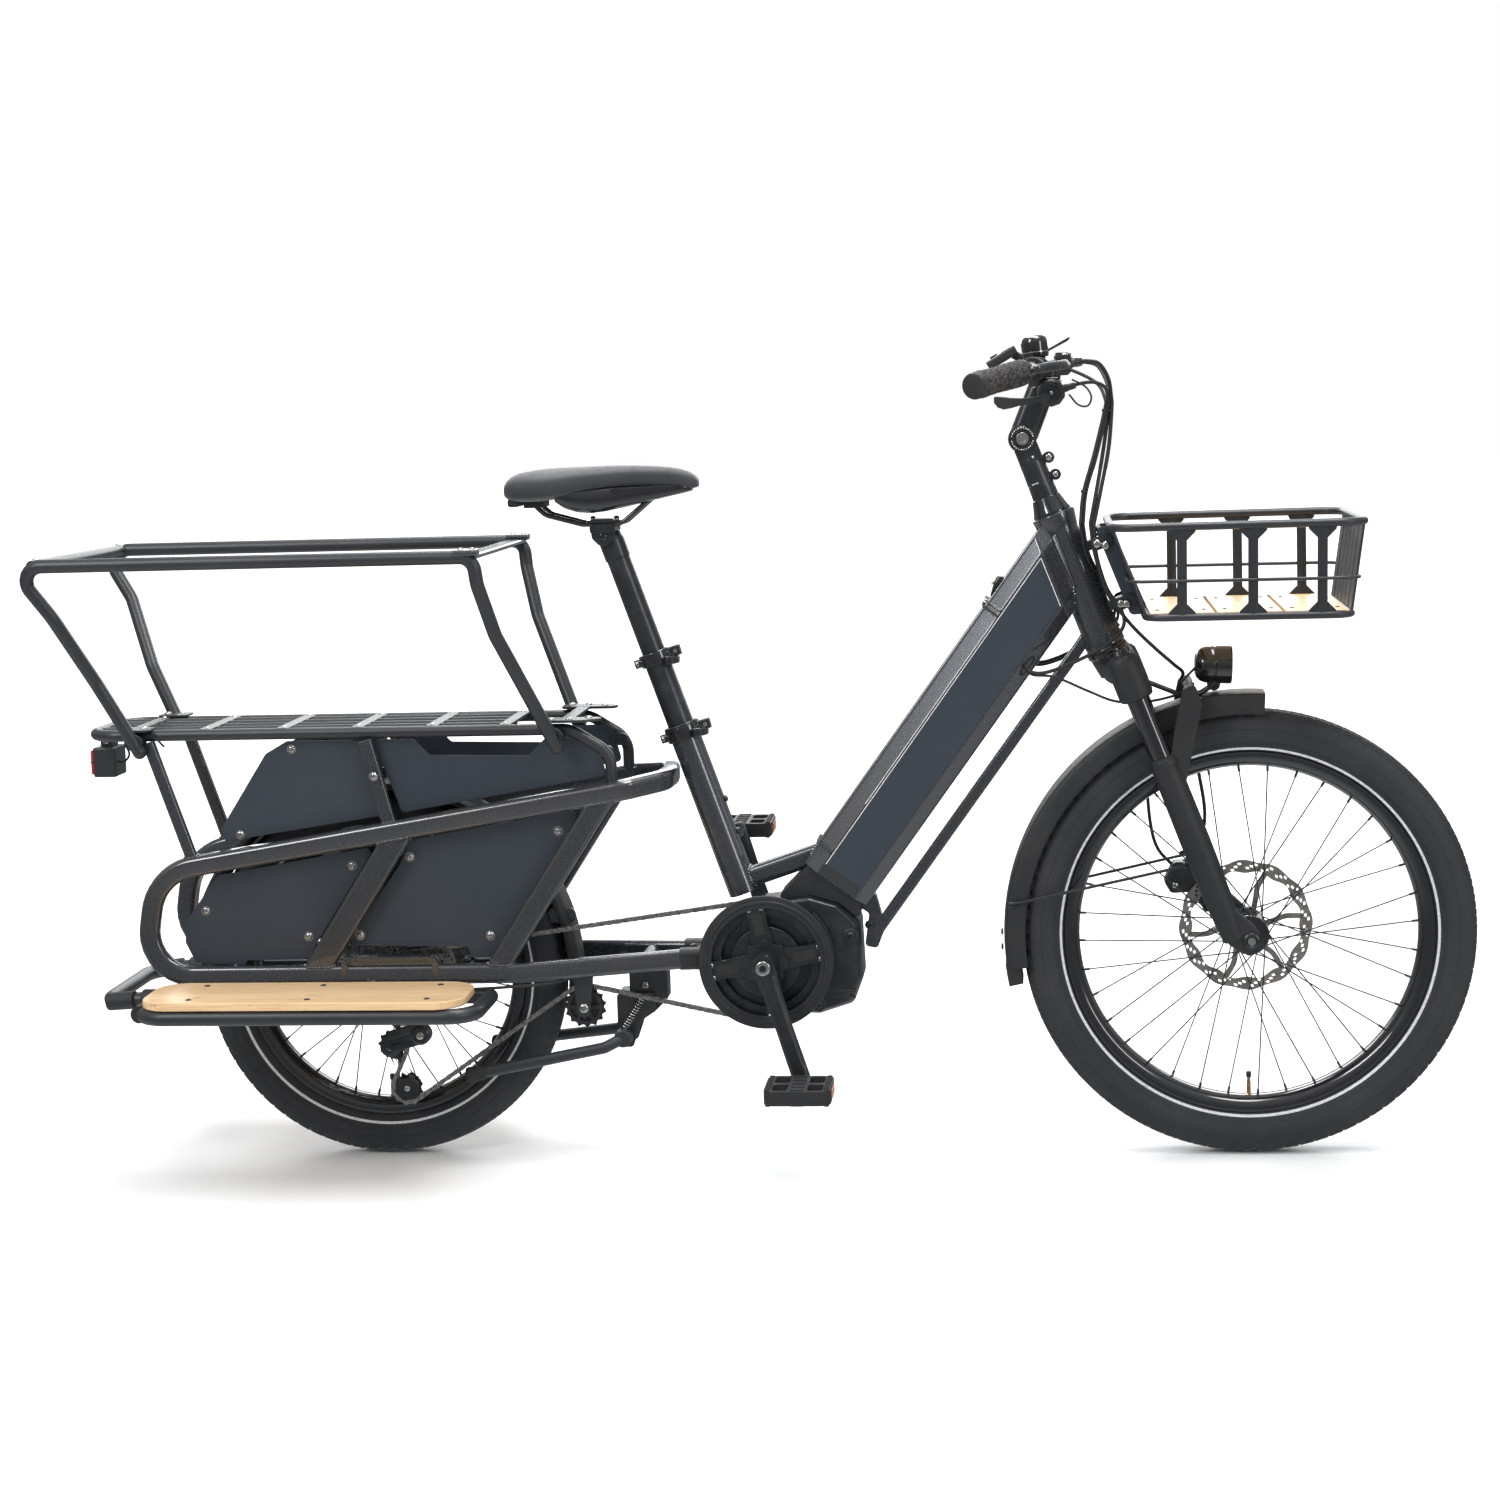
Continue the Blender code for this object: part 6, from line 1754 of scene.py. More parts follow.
def build_saddle():
    rings = []
    for x, half, top, skirt in SADDLE:
        ring = []
        middle = skirt + (top - skirt) * 0.42
        for k in range(32):
            a = 2 * math.pi * k / 32
            c, s = math.cos(a), math.sin(a)
            if s >= 0:
                y, z = half * math.copysign(abs(c) ** 0.72, c), middle + (top - middle) * s**0.62
                z -= 2.8 * math.exp(-((y / 9) ** 2)) * (1 if 225 < x < 450 else 0.3)
            else:
                y = half * math.copysign(abs(c) ** 0.45, c) * (1 - 0.08 * -s)
                z = middle + (middle - skirt) * -(abs(s) ** 0.5)
            ring.append((x, y, z))
        rings.append(ring)
    cover = piece("saddle_cover", "saddle", [skin(rings)], "cover", ["saddle"], angle=70, slot="rubber")
    modifier = cover.modifiers.new("smooth", "SUBSURF")
    modifier.levels = modifier.render_levels = 1
    # Glossy shell under the cover, deepest behind the nose.
    shell = []
    for x, low, half in (
        (286, 952, 66), (296, 944, 62), (312, 938, 56), (332, 936, 51), (352, 938, 46), (380, 943.5, 37),
        (410, 950, 29), (438, 956, 25), (462, 961, 21), (474, 964, 16),
    ):
        ring = []
        for k in range(24):
            a = 2 * math.pi * k / 24
            c, s = math.cos(a), math.sin(a)
            ring.append(
                (
                    x, half * math.copysign(abs(c) ** 0.5, c),
                    (low + 978) / 2 + (978 - low) / 2 * math.copysign(abs(s) ** 0.5, s),
                )
            )
        shell.append(ring)
    piece("saddle_shell", "saddle", [skin(shell)], "gloss", angle=70)
    rear = [
        sweep([(226, -60, 955), (222, 0, 954), (226, 60, 955)], rounded(16, 12, 4, 3)),
        block(236, 262, -34, 34, 946, 958),
    ]
    piece("saddle_rear_shell", "saddle", rear, "plastic", bevel=1.6)
    ribs = []
    for i in range(21):
        x = 366 + 4.7 * i
        half = next(
            h0 + (h1 - h0) * (x - x0) / (x1 - x0)
            for (x0, h0, _, _), (x1, h1, _, _) in zip(SADDLE, SADDLE[1:]) if x0 <= x <= x1
        )
        size = 1.0 if i < 14 else 1 - (i - 13) * 0.09
        ribs.append(
            sweep(
                [(x - 3.5, -half * 0.985, 973), (x + 2.0 * size, -half * 0.93, 973 - 9.5 * size)],
                rounded(1.7, 1.9, 0.5, 1),
            )
        )
    piece("saddle_ribs", "saddle", both(*ribs), "gloss")
    rail = [
        (246, -24, 956), (256, -24, 944), (266, -23.5, 935), (318, -22, 920.5), (374, -22, 920.5),
        (424, -14, 962), (434, -12, 966),
    ]
    piece("saddle_rails", "saddle", both(tube(rail, 3.5, 22, 16, 6)), "gloss", bevel=0)
    clamp = [
        sweep([(347, -30, 914), (347, 30, 914)], rounded(36, 13, 4, 3)),
        sweep([(347, -29, 925.5), (347, 29, 925.5)], rounded(34, 6, 2.4, 3)),
    ]
    clamp += both(
        slab(
            flat_fillet([(329, 916), (365, 916), (363, 900), (355, 890), (341, 890), (331, 900)], 7), -24.6,
            -19.6,
        )
    )
    piece("saddle_clamp", "saddle", clamp, "alloy", bevel=0.8)
    bolts = both(
        *screw((347, -24.6, 903), (0, -1, 0), 7, 3.4)
    ) + screw((330, 0, 928.5), (0, 0, 1), 4, 3) + screw((364, 0, 928.5), (0, 0, 1), 4, 3)
    piece("saddle_bolts", "saddle", bolts, "gloss", bevel=0.2)


build_seat()
build_saddle()
# Battery, cockpit, cables and rear light.
def along_tube(section, first, last):
    """A prism along the down tube from a (y, above) section."""
    return skin([[down(along, above, y) for y, above in section] for along in (first, last)])


def build_battery():
    outer = [(-43.2, -22.6), (-30.9, 1.0), (30.9, 1.0), (43.2, -22.6)]
    inner = [(42.6, -23.2), (30.4, 0.35), (-30.4, 0.35), (-42.6, -23.2)]
    shell = fillet([(y, 0, a) for y, a in outer], 7, 4)
    back = fillet([(y, 0, a) for y, a in inner], 6.8, 4)
    section = [(p.x, p.z) for p in shell + back]
    core = [(-28, 0.2), (28, 0.2), (28.8, -5), (28.8, -68.8), (-28.8, -68.8), (-28.8, -5)]
    case = [along_tube(section, 8, 412), along_tube(core, 5.6, 412.6)]
    piece("battery_cover", "battery", case, "grey", hides=("battery_pack",), bevel=0.35, slot="panel_slate")
    strip = []
    for side in (-1, 1):
        line = [(side * 43.2, -22.1), (side * 43.4, -21.3), (side * 42.9, -21.1), (side * 42.5, -22.0)]
        strip.append(along_tube(line if side > 0 else line[::-1], 90, 408))
    piece("battery_edge_glints", "battery", strip, "white")
    seam = []
    for s in (3.6, 415.4):
        path = [(y * 1.018, a + 1.0) for y, a in outer]
        path = [down(s, p.z, p.x) for p in fillet([(y, 0, a) for y, a in path], 7, 4)]
        seam.append(sweep(path, rounded(5.6, 2.2, 0.6, 1), up=UP_DOWN))
    piece("battery_seams", "frame", seam, "rubber", bevel=0.2)
    strap = [(y * 1.02, a + 1.2) for y, a in outer]
    strap = [down(424, p.z, p.x) for p in fillet([(y, 0, a) for y, a in strap], 7, 4)]
    piece("battery_strap", "frame", [sweep(strap, rounded(9, 2.8, 0.9, 2), up=UP_DOWN)], "gloss")
    lock = [skin([
        [
            down(a, h, y)
            for y, h in ((-w, -2), (w, -2), (w, top * 0.7), (w * 0.6, top), (-w * 0.6, top), (-w, top * 0.7))
        ]
        for a, w, top in (
            (431, 8, 2.0), (437, 10, 4.0), (446, 10.5, 7.5), (456, 10.5, 10.5), (461, 9.5, 9.5),
            (463.5, 8, 4.5),
        )
    ])]
    piece("battery_latch", "frame", lock, "gloss", bevel=1.2)
    key = turned(down(450, 8.2), down(0, 1) - down(0, 0), [(0, 5.4), (1.6, 5.4), (2.0, 4.6)], 20)
    piece("battery_lock", "frame", [key], "steel", bevel=0.2)
    for side, name in ((-1, "right"), (1, "left")):
        centre = down(382, -96.5, side * 36.0)
        lift = (down(0, -88, side * 42) - down(0, -107, side * 28)).normalized()
        out = lift.cross(UP_DOWN).normalized() * (side if lift.cross(UP_DOWN).y > 0 else -side)
        port = (
            ("rim", "rubber", ((1.2, -1.0), (1.2, 0.9), (1.08, 1.3), (0.92, 1.2), (0.9, -1.2))),
            ("dark", "gloss", ((0.92, -1.6), (0.92, 0.5))),
        )
        for label, look, steps in port:
            loops = []
            for grow, rise in steps:
                turns = [2 * math.pi * i / 28 for i in range(28)]
                loops.append([
                    centre + out * rise
                    + UP_DOWN * (math.copysign(abs(math.cos(a)) ** 0.7, math.cos(a)) * 14 * grow)
                    + lift * (math.sin(a) * 4.4 * grow)
                    for a in turns
                ])
            piece(f"cable_port_{label}_{name}", "frame", [skin(loops)], look)


def build_stem_parts():
    start = steer(206.2, 0)
    steps = [(0, 27.2), (3.2, 27.4), (5, 26.4), (13, 23.8), (22, 21.2), (25, 20.4), (25.6, 19.4)]
    piece("headset_cone", "steering", [turned(start, UP_STEER, steps + [(25.6, 15)], 48)], "gloss", bevel=0.3)
    body = [(25.9, 15), (25.9, 19.0), (31, 18.6), (46, 18.2)]
    upper = [(46.7, 17.5), (47.5, 18.2), (70, 17.7), (82, 17.4), (84, 16.8)]
    piece(
        "stem_riser_shell", "steering", [turned(start, UP_STEER, body + upper, 48)], "alloy",
        hides=("stem_riser",), bevel=0.25,
    )
    cheeks = []
    for side in (-1, 1):
        outline = [
            steer(284, -17).xz, steer(284, 17).xz, steer(306, 17).xz, steer(320, 15).xz, steer(333, 8).xz
        ]
        outline += [steer(337, 0).xz, steer(333, -8).xz, steer(320, -15).xz, steer(306, -17).xz]
        cheeks.append(slab([(p.x, p.y) for p in outline], *sorted((side * 9.5, side * 16.2))))
    piece("stem_cheeks", "steering", cheeks, "alloy", bevel=1.0)
    ears = []
    for s, ahead, radius in ((282, 24, 8.2), (256, 24, 8.0)):
        middle = steer(s, ahead).xz
        root = steer(s + 1, 13).xz
        ears.append(across(middle.x, middle.y, -6.5, 6.5, radius, 28))
        ears.append(sweep([(root.x, 0, root.y), (middle.x, 0, middle.y)], rounded(12.6, 12, 3, 3)))
    piece("stem_ears", "steering", ears, "alloy", bevel=0.9)
    bolts = []
    for s, ahead, radius in ((282, 24, 5.4), (256, 24, 4.6)):
        middle = steer(s, ahead).xz
        for side in (-1, 1):
            bolts += screw((middle.x, side * 6.4, middle.y), (0, side, 0), radius, 2.2)
    piece("stem_ear_bolts", "steering", bolts, "steel", bevel=0.2)
    mark = []
    for i in range(4):
        a = math.radians(-126 + 9.0 * i)
        spot = steer(254.5, 18.25 * math.cos(a), 18.25 * math.sin(a))
        mark.append(rod(spot - UP_STEER * 0.7, spot + UP_STEER * 0.7, 1.1, 8))
    piece("stem_height_mark", "steering", mark, "white")
    dot = steer(291, 4).xz
    piece("stem_dot", "steering", both(across(dot.x, dot.y, -17.0, -15.4, 1.6, 12)), "white")


def build_stem_arm():
    pivot, clamp = Vector(steer(STEM_PIVOT, 0)), Vector((978, 0, 1113))
    way = (clamp - pivot).normalized()
    arm = [sweep([pivot + way * 6, clamp - way * 2], rounded(35, 40, 12, 6), scale=lambda t: 1.0 - 0.04 * t)]
    arm += [across(pivot.x, pivot.z, -17.4, 17.4, 20, 48), across(clamp.x, clamp.z, -23, 23, 20, 40)]
    piece("stem_arm_body", "bar", arm, "alloy", hides=("stem_arm",), bevel=1.0)
    disc, ticks, bolt = [], [], []
    for side in (-1, 1):
        disc.append(
            turned(
                (pivot.x, side * 17.2, pivot.z), (0, side, 0),
                [(0, 17.6), (1.6, 17.6), (2.2, 17.0), (2.2, 12.2), (1.2, 11.6), (1.2, 0)], 48,
            )
        )
        for i in range(26):
            a = 2 * math.pi * i / 26
            if i % 13 == 0:
                continue
            spot = Vector((pivot.x + 15.2 * math.cos(a), side * 19.2, pivot.z + 15.2 * math.sin(a)))
            run = Vector((-math.sin(a), 0, math.cos(a))) * (1.25 if i % 3 else 0.7)
            ticks.append(sweep([spot - run, spot + run], rounded(1.3, 1.3, 0.3, 1)))
        bolt += [
            turned(
                (pivot.x, side * 18.2, pivot.z), (0, side, 0),
                [(0, 9.2), (2.2, 9.2), (3.4, 8.3), (3.4, 5.4), (2.2, 4.9), (2.2, 4.4), (2.9, 4.0), (2.9, 0)],
                36,
            )
        ]
    piece("stem_pivot_disc", "bar", disc, "gloss", bevel=0.2)
    piece("stem_pivot_ticks", "bar", ticks, "white")
    piece("stem_pivot_bolt", "bar", bolt, "steel", bevel=0.2)
    bolts = []
    for side in (-1, 1):
        spot = clamp + Vector((0.45, 0, -0.9)).normalized() * 19.4
        bolts += screw((spot.x + 9, side * 15, spot.z + 8), (0.6, 0, -0.8), 3.4, 3)
    piece("stem_clamp_bolts", "bar", bolts, "steel", bevel=0.2)


def bar_point(y):
    """The point and the outward direction of the right half of the bar at a distance across."""
    line = [Vector(p) for p in ((978, 0, 1113), (978, -40, 1113), (966, -140, 1122), GRIP_IN, GRIP_OUT)]
    for a, b in zip(line, line[1:]):
        if b.y <= y:
            return a.lerp(b, (y - a.y) / (b.y - a.y)), (b - a).normalized()


def collar(y, width, radius, body=(0, 0, -1)):
    """A bar clamp with a split and its bolt: (solids, bolt solids)."""
    spot, way = bar_point(y)
    half = width / 2
    solids = [
        turned(
            spot - way * half, way,
            [(0, radius - 0.8), (0.8, radius), (width - 0.8, radius), (width, radius - 0.8)], 36,
        )
    ]
    down_way = Vector(body).normalized()
    lug = spot + down_way * (radius + 1.5)
    solids.append(sweep([lug - way * half * 0.8, lug + way * half * 0.8], rounded(12, 9, 2, 3)))
    return solids, screw(lug + down_way * 4.4, down_way, 3.0, 2.2)


def build_bar():
    half = fillet([(978, 0, 1113), (978, -40, 1113), (966, -140, 1122), GRIP_IN, GRIP_OUT], 46, 8)
    tube_path = [Vector((p.x, -p.y, p.z)) for p in reversed(half[1:])] + half
    piece("bar_tube", "bar", [sweep(tube_path, circle(11, 28))], "alloy", hides=("handlebar",), angle=60)
    start = Vector(GRIP_IN)
    way = (Vector(GRIP_OUT) - start).normalized()
    steps = [
        (15.5, 14.6), (17, 16.0), (25, 17.2), (40, 17.0), (62, 16.7), (90, 16.0), (112, 16.4), (128, 17.4),
        (137, 17.4), (139, 16.8),
    ]
    grip = turned(start, way, steps, 56)
    plug = turned(start, way, [(139.4, 17.2), (142.6, 17.4), (145, 16.6), (146, 13), (146, 0)], 48)
    ring = turned(start, way, [(11, 15.2), (11.8, 16.2), (14.6, 16.2), (15.3, 15.2)], 48)
    for side, turn in SIDES:
        piece(f"grip_sleeve_{side}", "bar", [turn(grip)], "grip", hides=(f"grip_{side}",), angle=60)
        piece(f"grip_plug_{side}", "bar", [turn(plug)], "plastic", bevel=0.4)
        piece(f"grip_lock_{side}", "bar", [turn(ring)], "alloy", bevel=0.3)
    tiles = []
    side_way = way.cross(Vector((0, 0, 1))).normalized()
    rise = side_way.cross(way)
    for row in range(14):
        s = 22 + row * 8.0
        radius = next(
            r0 + (r1 - r0) * (s - s0) / (s1 - s0) for (s0, r0), (s1, r1) in zip(steps, steps[1:])
            if s0 <= s <= s1
        )
        for k in range(15):
            a = 2 * math.pi * (k + 0.5 * (row % 2)) / 15
            out = side_way * math.cos(a) + rise * math.sin(a)
            lean = (way * 0.92 + out.cross(way) * 0.38).normalized()
            spot = start + way * s + out * (radius - 0.25)
            cross = out.cross(lean)
            ring_a = [
                spot + lean * u * 3.7 + cross * v * 2.7 for u, v in ((-1, -1), (1, -1), (1, 1), (-1, 1))
            ]
            ring_b = [
                spot + out * 1.0 + lean * u * 3.1 + cross * v * 2.2
                for u, v in ((-1, -1), (1, -1), (1, 1), (-1, 1))
            ]
            tiles.append(skin([ring_a, ring_b]))
    for side, turn in SIDES:
        piece(f"grip_scales_{side}", "bar", [turn(t) for t in tiles], "grip")


def build_brakes():
    for side, turn in SIDES:
        ring, bolt = collar(-172, 13, 16.6)
        tank = turned(
            (1007, -134, 1128.5), (-0.12, -1, 0.02),
            [(0, 6.5), (1.5, 8), (8, 9.6), (14, 10.6), (46, 11.2), (54, 10.4), (57, 8)], 32,
        )
        lid = sweep([(1003, -146, 1139.5), (998, -187, 1140)], rounded(17, 4.4, 2, 3))
        link = sweep([(972, -172, 1121), (998, -172, 1128)], rounded(15, 15, 4, 3))
        ears = [slab([(990, 1112), (1006, 1112), (1010, 1116), (1010, 1119), (990, 1119)], -214, -186)]
        ears += [block(990, 1010, -214, -186, 1133, 1139)]
        piece(
            f"brake_tank_{side}", "bar", [turn(s) for s in [tank, lid, link, *ears, *ring]], "plastic",
            hides=(f"brake_body_{side}",), bevel=0.9,
        )
        ferrule = turned(
            (1007, -137, 1128.5), (0.75, 0.62, 0.04), [(-4, 7.4), (6, 7.4), (9, 6.2), (22, 6.0), (23.5, 4.6)],
            28,
        )
        nut = turned((1007, -137, 1128.5), (0.75, 0.62, 0.04), [(9.5, 6.8), (15, 6.8)], 6)
        piece(f"brake_ferrule_{side}", "bar", [turn(ferrule), turn(nut)], "gloss", bevel=0.3)
        bolts = [turn(s) for s in bolt]
        bolts += [turn(s) for s in screw((1002, -207, 1139), (0, 0, 1), 4, 2.2)]
        bolts += [
            turn(s)
            for s in screw(
                (1000.5, -151, 1141.6), (0, 0, 1), 2.2, 1.2
            ) + screw((998, -182, 1142), (0, 0, 1), 2.2, 1.2)
        ]
        piece(f"brake_bolts_{side}", "bar", bolts, "steel", bevel=0.15)
        blade = spline(
            [
                (1002, -207, 1126), (1003, -232, 1126), (992, -262, 1124.5), (976, -294, 1122.5),
                (963, -320, 1120), (961, -330, 1120), (966, -338, 1120),
            ],
            7,
        )
        lever = [sweep(blade, oval(7.4, 13, 20), scale=lambda t: 1.1 - 0.25 * t)]
        lever += [turned((1002, -207, 1119.8), (0, 0, 1), [(0, 6.6), (12.4, 6.6)], 28)]
        tip = turned((964.5, -336, 1120), (0.2, -1, 0), [(-6, 4.4), (0, 6.0), (3, 5.2), (4.5, 3)], 20)
        piece(
            f"brake_blade_{side}", f"{side}_brake_lever", [turn(s) for s in [*lever, tip]], "alloy",
            hides=(f"brake_lever_{side}",), bevel=0.4, angle=50,
        )
        reach = screw((1007.5, -214, 1126), (1, -0.3, 0), 2.6, 2.0)
        piece(
            f"brake_reach_screw_{side}", f"{side}_brake_lever", [turn(s) for s in reach], "steel", bevel=0.1
        )


def build_shifter():
    ring, bolt = collar(-124, 12, 16.6, (0.2, 0, -1))
    drum = turned(
        (984, -117, 1090), (0, -1, -0.03),
        [(0, 15.5), (1, 17.5), (6, 19), (22, 19.4), (26, 18.4), (29, 15.5)], 10,
    )
    neck = block(964, 986, -129, -118, 1092, 1112)
    barrel = turned(
        (1000, -124, 1094), (1, 0.08, 0.25), [(-6, 5.4), (6, 5.4), (7, 4.6), (16, 4.4), (17.5, 3.2)], 24
    )
    piece("shifter_drum", "bar", [drum, neck, barrel, *ring], "plastic", hides=("shifter_body",), bevel=0.8)
    rim = turned(
        (984, -146.2, 1089.1), (0, -1, -0.03),
        [(-0.6, 13.4), (0.6, 13.2), (0.8, 11.6), (0.2, 11.2), (0.2, 0)], 10,
    )
    piece("shifter_cap", "bar", [rim], "alloy", bevel=0.2)
    window = sweep([(972, -130, 1108.4), (993, -130, 1108.0)], rounded(13, 3, 1.2, 2))
    piece("shifter_window", "bar", [window], "gloss", bevel=0.2)
    piece(
        "shifter_bolts", "bar", bolt + screw((984, -146.6, 1089), (0, -1, 0), 2.8, 1.6), "steel", bevel=0.15
    )
    widths = (
        (976, -154.5, 1082, 9, 4.6), (962, -155.5, 1080, 8.6, 4.4), (944, -157, 1078.4, 9.5, 4.2),
        (930, -159, 1078, 14, 4.4), (920, -160.5, 1078.6, 17, 4.6), (912, -162, 1080, 15, 4.4),
        (907, -162.5, 1081.6, 8, 3.4),
    )
    rings = []
    for x, y, z, tall, thick in widths:
        rings.append(
            [
                (x, y + v, z + u - (tall - 9) * 0.22)
                for v, u in rounded(thick * 1.7, tall, min(2.0, thick * 0.45), 3)
            ]
        )
    paddle = [skin(rings), turned((976, -148.6, 1083), (0, -1, 0), [(0, 6.6), (12, 6.8)], 24)]
    piece("shift_paddle_blade", "shift_paddle", paddle, "plastic", hides=("shift_paddle",), bevel=0.5)


def build_bell_and_display():
    ring, bolt = collar(-92, 11, 15.6)
    base = turned((965, -92, 1131), (-0.1, 0, 1), [(0, 7), (3, 12), (5, 13), (6.4, 13)], 28)
    piece("bell_base", "bar", [base, *ring], "plastic", bevel=0.6)
    dome = turned(
        (964, -92, 1137), (-0.1, 0, 1),
        [
            (0, 16), (0.4, 17.4), (4, 18.2), (20, 18.6), (25.5, 17.9), (28.6, 15.2), (30.2, 11), (30.8, 5),
            (31, 0),
        ],
        48,
    )
    piece("bell_dome", "bar", [dome], "gloss", hides=("bell",), angle=60)
    groove = turned((964, -92, 1137), (-0.1, 0, 1), [(6.6, 18.0), (7.0, 18.7), (8.2, 18.7), (8.6, 18.0)], 48)
    piece("bell_rim", "bar", [groove, *bolt], "steel", bevel=0)
    lever = skin([
        [Vector((974 + 36 * t, -92 + 3 * t, 1143 + 19 * t)) + Vector((0.3 * v, 0, v)) + Vector((0, u, 0))
         for u, v in rounded(7 * grow, 5 * grow, 1.5 * grow, 3)]
        for t, grow in ((0.0, 0.8), (0.3, 0.85), (0.7, 1.0), (0.92, 1.05), (1.0, 0.7))
    ])
    piece("bell_lever", "bar", [lever], "plastic", bevel=0.3)
    collar_solids, screws = collar(-66, 11, 15.6)
    way = (Vector((935, 66, 1150)) - Vector((897, 66, 1128))).normalized()
    up = Vector((-22, 0, 38)).normalized()
    start, end = Vector((896, 66, 1127.4)), Vector((936, 66, 1150.6))
    case = sweep([start, end], rounded(45, 12.6, 3.4, 4))
    arm = sweep([(973, 66, 1121), (932, 66, 1143.5)], rounded(11, 12, 3, 3))
    centre = Vector((908, 66, 1134.4))
    pocket = rod(centre + up * 4.3, centre + up * 14, 6.8, 28)
    piece(
        "display_case", "bar", [case, arm, *map(flip, collar_solids)], "plastic", hides=("display_remote",),
        bevel=0.6, cuts=(pocket,),
    )
    glass_middle = Vector((925, 66, 1144.2)) + up * 6.35
    glass = sweep([glass_middle - way * 8, glass_middle + way * 7], rounded(38, 1.2, 0.5, 2))
    piece("display_glass", "bar", [glass], "gloss", bevel=0.2)
    bars = []
    for i in range(4):
        spot = glass_middle + up * 0.7 + way * (-4.5 + 2.6 * i)
        bars.append(
            sweep(
                [spot + Vector((0, -11 + 2 * i, 0)), spot + Vector((0, 11 - 2 * i, 0))],
                rounded(0.5, 1.2, 0.2, 1),
            )
        )
    piece("display_bars", "bar", bars, "white")
    piece("display_bolts", "bar", [flip(s) for s in screws], "steel", bevel=0.1)
    top = centre + up * 6.9
    cap = turned(top, up, [(0, 5.9), (2.0, 5.9), (2.8, 5.2), (3.0, 3.6), (2.7, 0)], 32)
    piece("remote_button_cap", "remote_button", [cap], "alloy", hides=("remote_button",), bevel=0.2)
    dot = turned(top + up * 2.7, up, [(0, 1.5), (0.4, 1.2)], 16)
    piece("remote_button_dot", "remote_button", [dot], "white")


def loose(name, solids, look, a, b, start, end, **settings):
    """A piece with no single body: it rides none of them and stays where it is drawn."""
    obj = piece(name, None, solids, look, **settings)
    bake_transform(obj)
    return obj


def hose(points, radius):
    return sweep(spline(points, 10), circle(radius, 14))


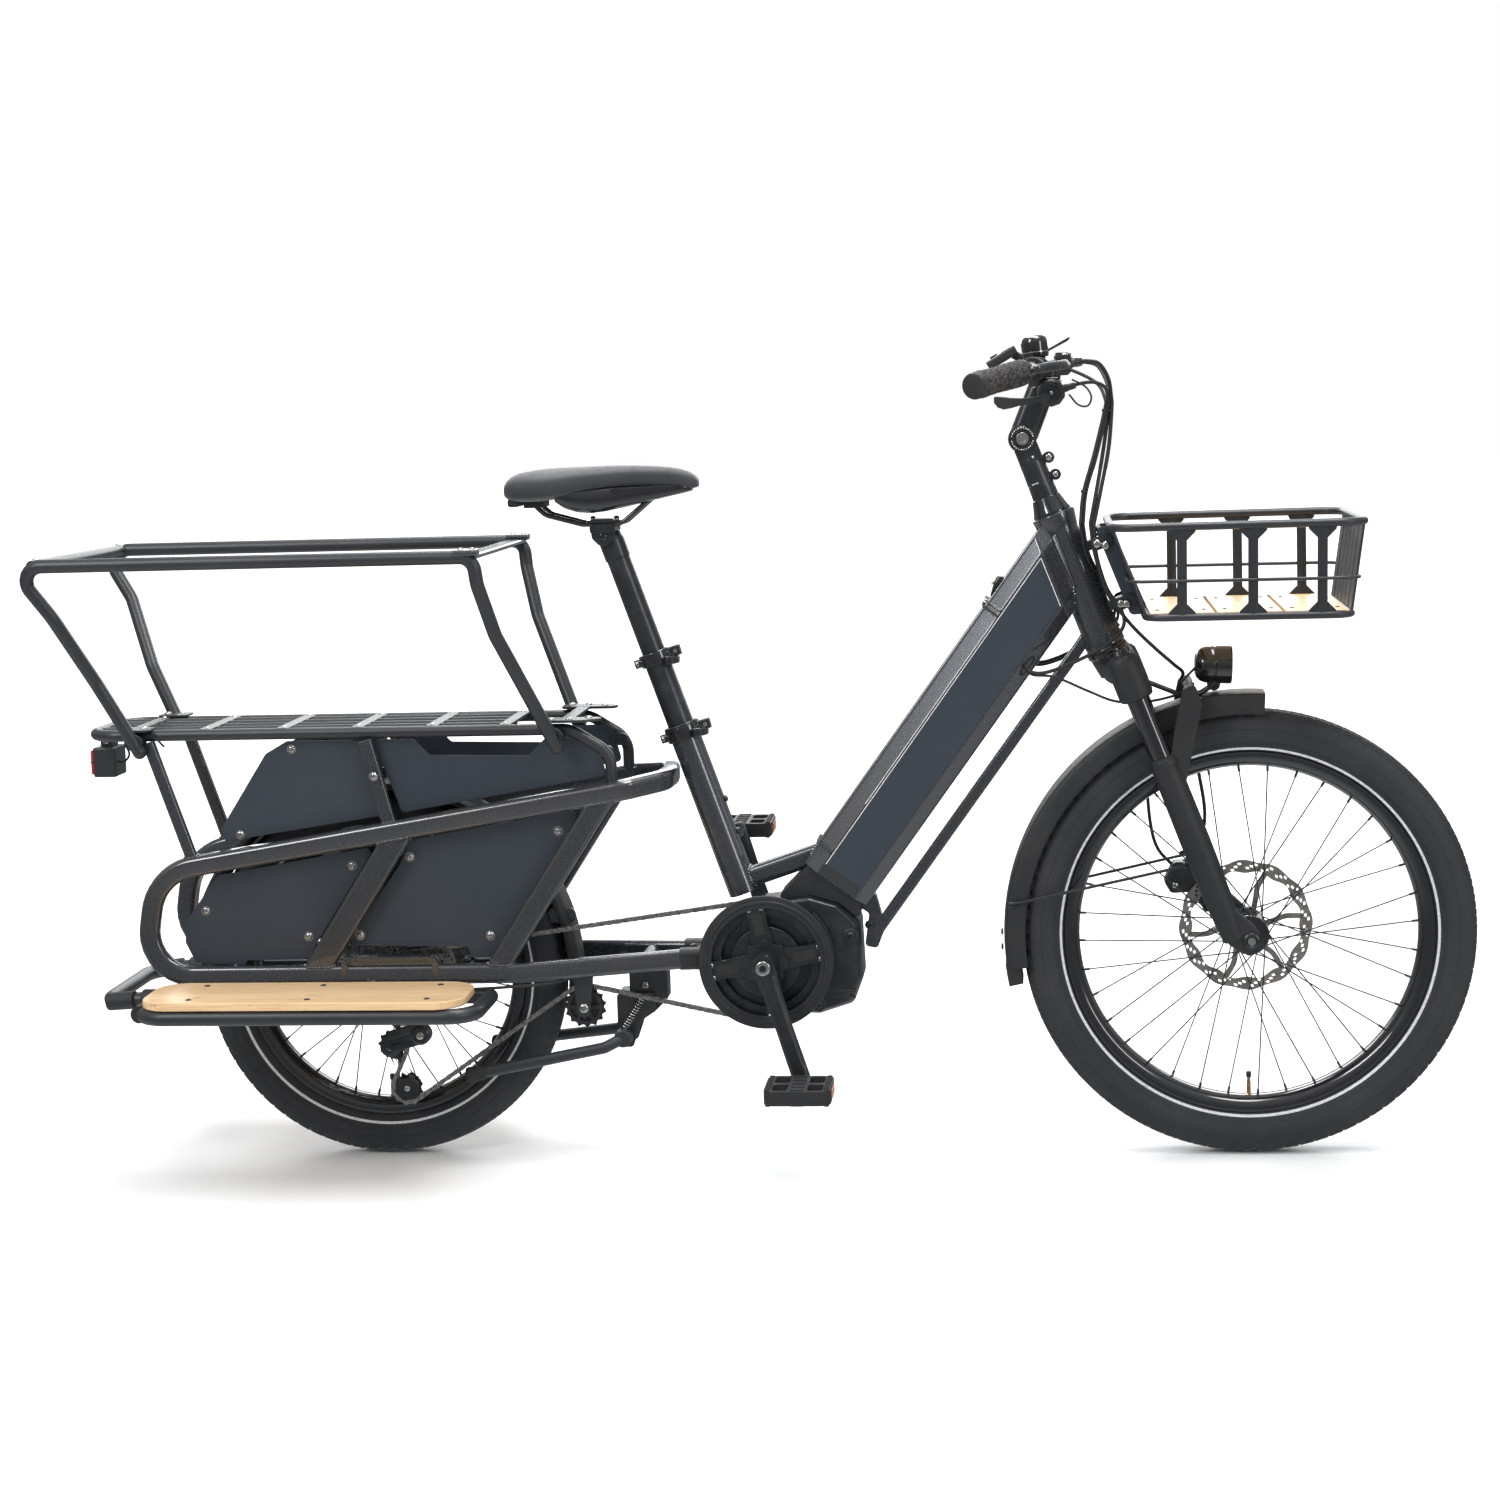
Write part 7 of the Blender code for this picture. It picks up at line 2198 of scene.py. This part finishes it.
def build_cables():
    heads = {
        "rear_brake_hose": [
            (1022, -124, 1129.5), (1034, -112, 1130), (1050, -78, 1126), (1063, -34, 1106),
            (1067.5, -8, 1080), (1068, -5, 1064), (1063, -14, 1010), (1052, -22, 955), (1041, -29, 905),
        ],
        "front_brake_hose": [
            (1022, 124, 1129.5), (1034, 112, 1130), (1051, 78, 1124), (1062, 30, 1102), (1064.5, 0, 1080),
            (1063.5, -1, 1062), (1056, -12, 1010), (1046, -22, 955), (1036, -30, 905),
        ],
        "shift_cable": [
            (1014, -122, 1098), (1028, -116, 1101), (1044, -86, 1101), (1058, -40, 1094), (1063, -10, 1078),
            (1061, -8, 1060), (1046, -20, 1000), (1031, -27, 950), (1026, -33, 905),
        ],
        "display_cable": [
            (960, 60, 1138), (984, 58, 1128), (1016, 50, 1118), (1048, 20, 1100), (1059, -4, 1078),
            (1058, -9, 1062), (1042, -22, 1000), (1027, -30, 950), (1022, -36, 905),
        ],
    }
    for name, points in heads.items():
        hides = ("cable_loom",) if name == "rear_brake_hose" else ()
        radius = 2.4 if "cable" in name else 2.8
        loose(
            name, [hose(points, radius)], "rubber", "steering", "bar", (1045, -30, 1010), (1046, -60, 1098),
            hides=hides, angle=70,
        )
    loop = [
        (1012, -126, 1106), (1030, -122, 1096), (1038, -118, 1082), (1033, -116, 1070), (1020, -118, 1072),
        (1008, -122, 1086),
    ]
    piece("bar_wire_loop", "bar", [hose(loop, 1.3)], "rubber", angle=70)
    ties = []
    for spot, wide in ((Vector((1063, -5.5, 1062)), 9.6), (Vector((1029, -28.5, 951)), 6.4)):
        lean = Vector((0.25, 0, 1)).normalized()
        ties.append(turned(spot - lean * 1.4, lean, [(0, wide * 0.62), (2.8, wide * 0.62)], 20))
        ties.append(
            sweep(
                [spot + Vector((-wide * 0.9, -2, 0)), spot + Vector((-wide * 0.35, -2, 0))],
                rounded(5, 4, 1, 2),
            )
        )
    loose("cable_ties", ties, "plastic", "steering", "bar", (1045, -30, 1010), (1046, -60, 1098), bevel=0.3)
    into = {
        "rear_brake_hose_low": [
            (1041, -29, 905), (1044, -36, 862), (1058, -42, 815), (1077, -48, 786), (1079, -53, 762),
            (1056, -56, 738), (1014, -57, 716), (973, -55, 701), (951, -50, 701), (943, -40, 709),
        ],
        "shift_cable_low": [
            (1026, -33, 905), (1034, -24, 862), (1056, 10, 818), (1072, 42, 786), (1073, 54, 762),
            (1050, 57, 738), (1012, 58, 716), (973, 55, 702), (951, 50, 702), (943, 40, 710),
        ],
        "display_cable_low": [
            (1022, -36, 905), (1030, -28, 862), (1052, 4, 820), (1068, 40, 788), (1068, 55, 766),
            (1046, 59, 743), (1010, 60, 720), (974, 57, 706), (953, 52, 706), (946, 40, 714),
        ],
    }
    for name, points in into.items():
        loose(
            name, [hose(points, 2.6 if "hose" in name else 2.1)], "rubber", "frame", "steering",
            (990, -50, 712), (1050, -50, 736), angle=70,
        )
    lamp = [
        (942, -40, 706), (953, -49, 697), (984, -57, 694), (1028, -62, 675), (1066, -66, 660),
        (1104, -66, 658), (1140, -50, 662), (1168, -20, 668), (1178, -4, 676),
    ]
    loose(
        "lamp_lead", [hose(lamp, 1.9)], "rubber", "frame", "steering", (970, -50, 704), (1050, -62, 662),
        angle=70,
    )
    front = [
        (1036, -30, 905), (1042, -34, 862), (1057, -38, 812), (1078, -44, 780), (1098, -44, 756),
        (1124, -40, 730), (1150, -30, 706), (1164, 10, 690), (1162, 52, 668), (1170, 66, 620),
        (1188, 70, 540), (1196, 66, 470), (1178, 58, 412),
    ]
    loose(
        "front_brake_hose_low", [hose(front, 2.6)], "rubber", "steering", "sliders", (1150, -30, 740),
        (1165, 20, 640), angle=70,
    )


def build_rear_light():
    case = [block(-420, -386, -25.5, 25.5, 567, 611)]
    neck = [block(-411, -393, -13.5, 13.5, 610, 627.4)]
    piece("rear_light_case", "frame", case, "black", hides=("rear_light",), bevel=3.0, segments=3)
    piece("rear_light_neck", "frame", neck, "black", bevel=1.2)
    piece("rear_light_lens", "frame", [block(-424.5, -419.5, -22, 22, 571, 607)], "red", bevel=1.6)
    piece("rear_light_band", "frame", [block(-425, -420, -22.4, 22.4, 588, 590)], "gloss", bevel=0.3)
    nuts = []
    for side in (-1, 1):
        nuts += screw((-402, side * 13.5, 618), (0, side, 0), 4.6, 3)
    piece("rear_light_bolts", "frame", nuts, "steel", bevel=0.2)
    lead = [
        (-390, -8, 590), (-378, -10, 588), (-368, -14, 600), (-372, -18, 618), (-352, -30, 629),
        (-318, -52, 628), (-296, -74, 618),
    ]
    piece("rear_light_lead", "frame", [hose(lead, 1.6)], "rubber", angle=70)


def build_rear_cables():
    shift = [
        (300, -60, 276), (262, -92, 270), (200, -108, 268), (120, -109, 264), (60, -108, 258),
        (36, -104, 240), (26, -96, 224),
    ]
    brake = [(300, 56, 276), (262, 88, 270), (200, 106, 268), (120, 108, 272), (76, 104, 290), (58, 92, 306)]
    piece("rear_shift_cable", "frame", [hose(shift, 2.2)], "rubber", angle=70)
    piece("rear_brake_line", "frame", [hose(brake, 2.4)], "rubber", angle=70)


build_battery()
build_stem_parts()
build_stem_arm()
build_bar()
build_brakes()
build_shifter()
build_bell_and_display()
build_cables()
build_rear_light()
build_rear_cables()
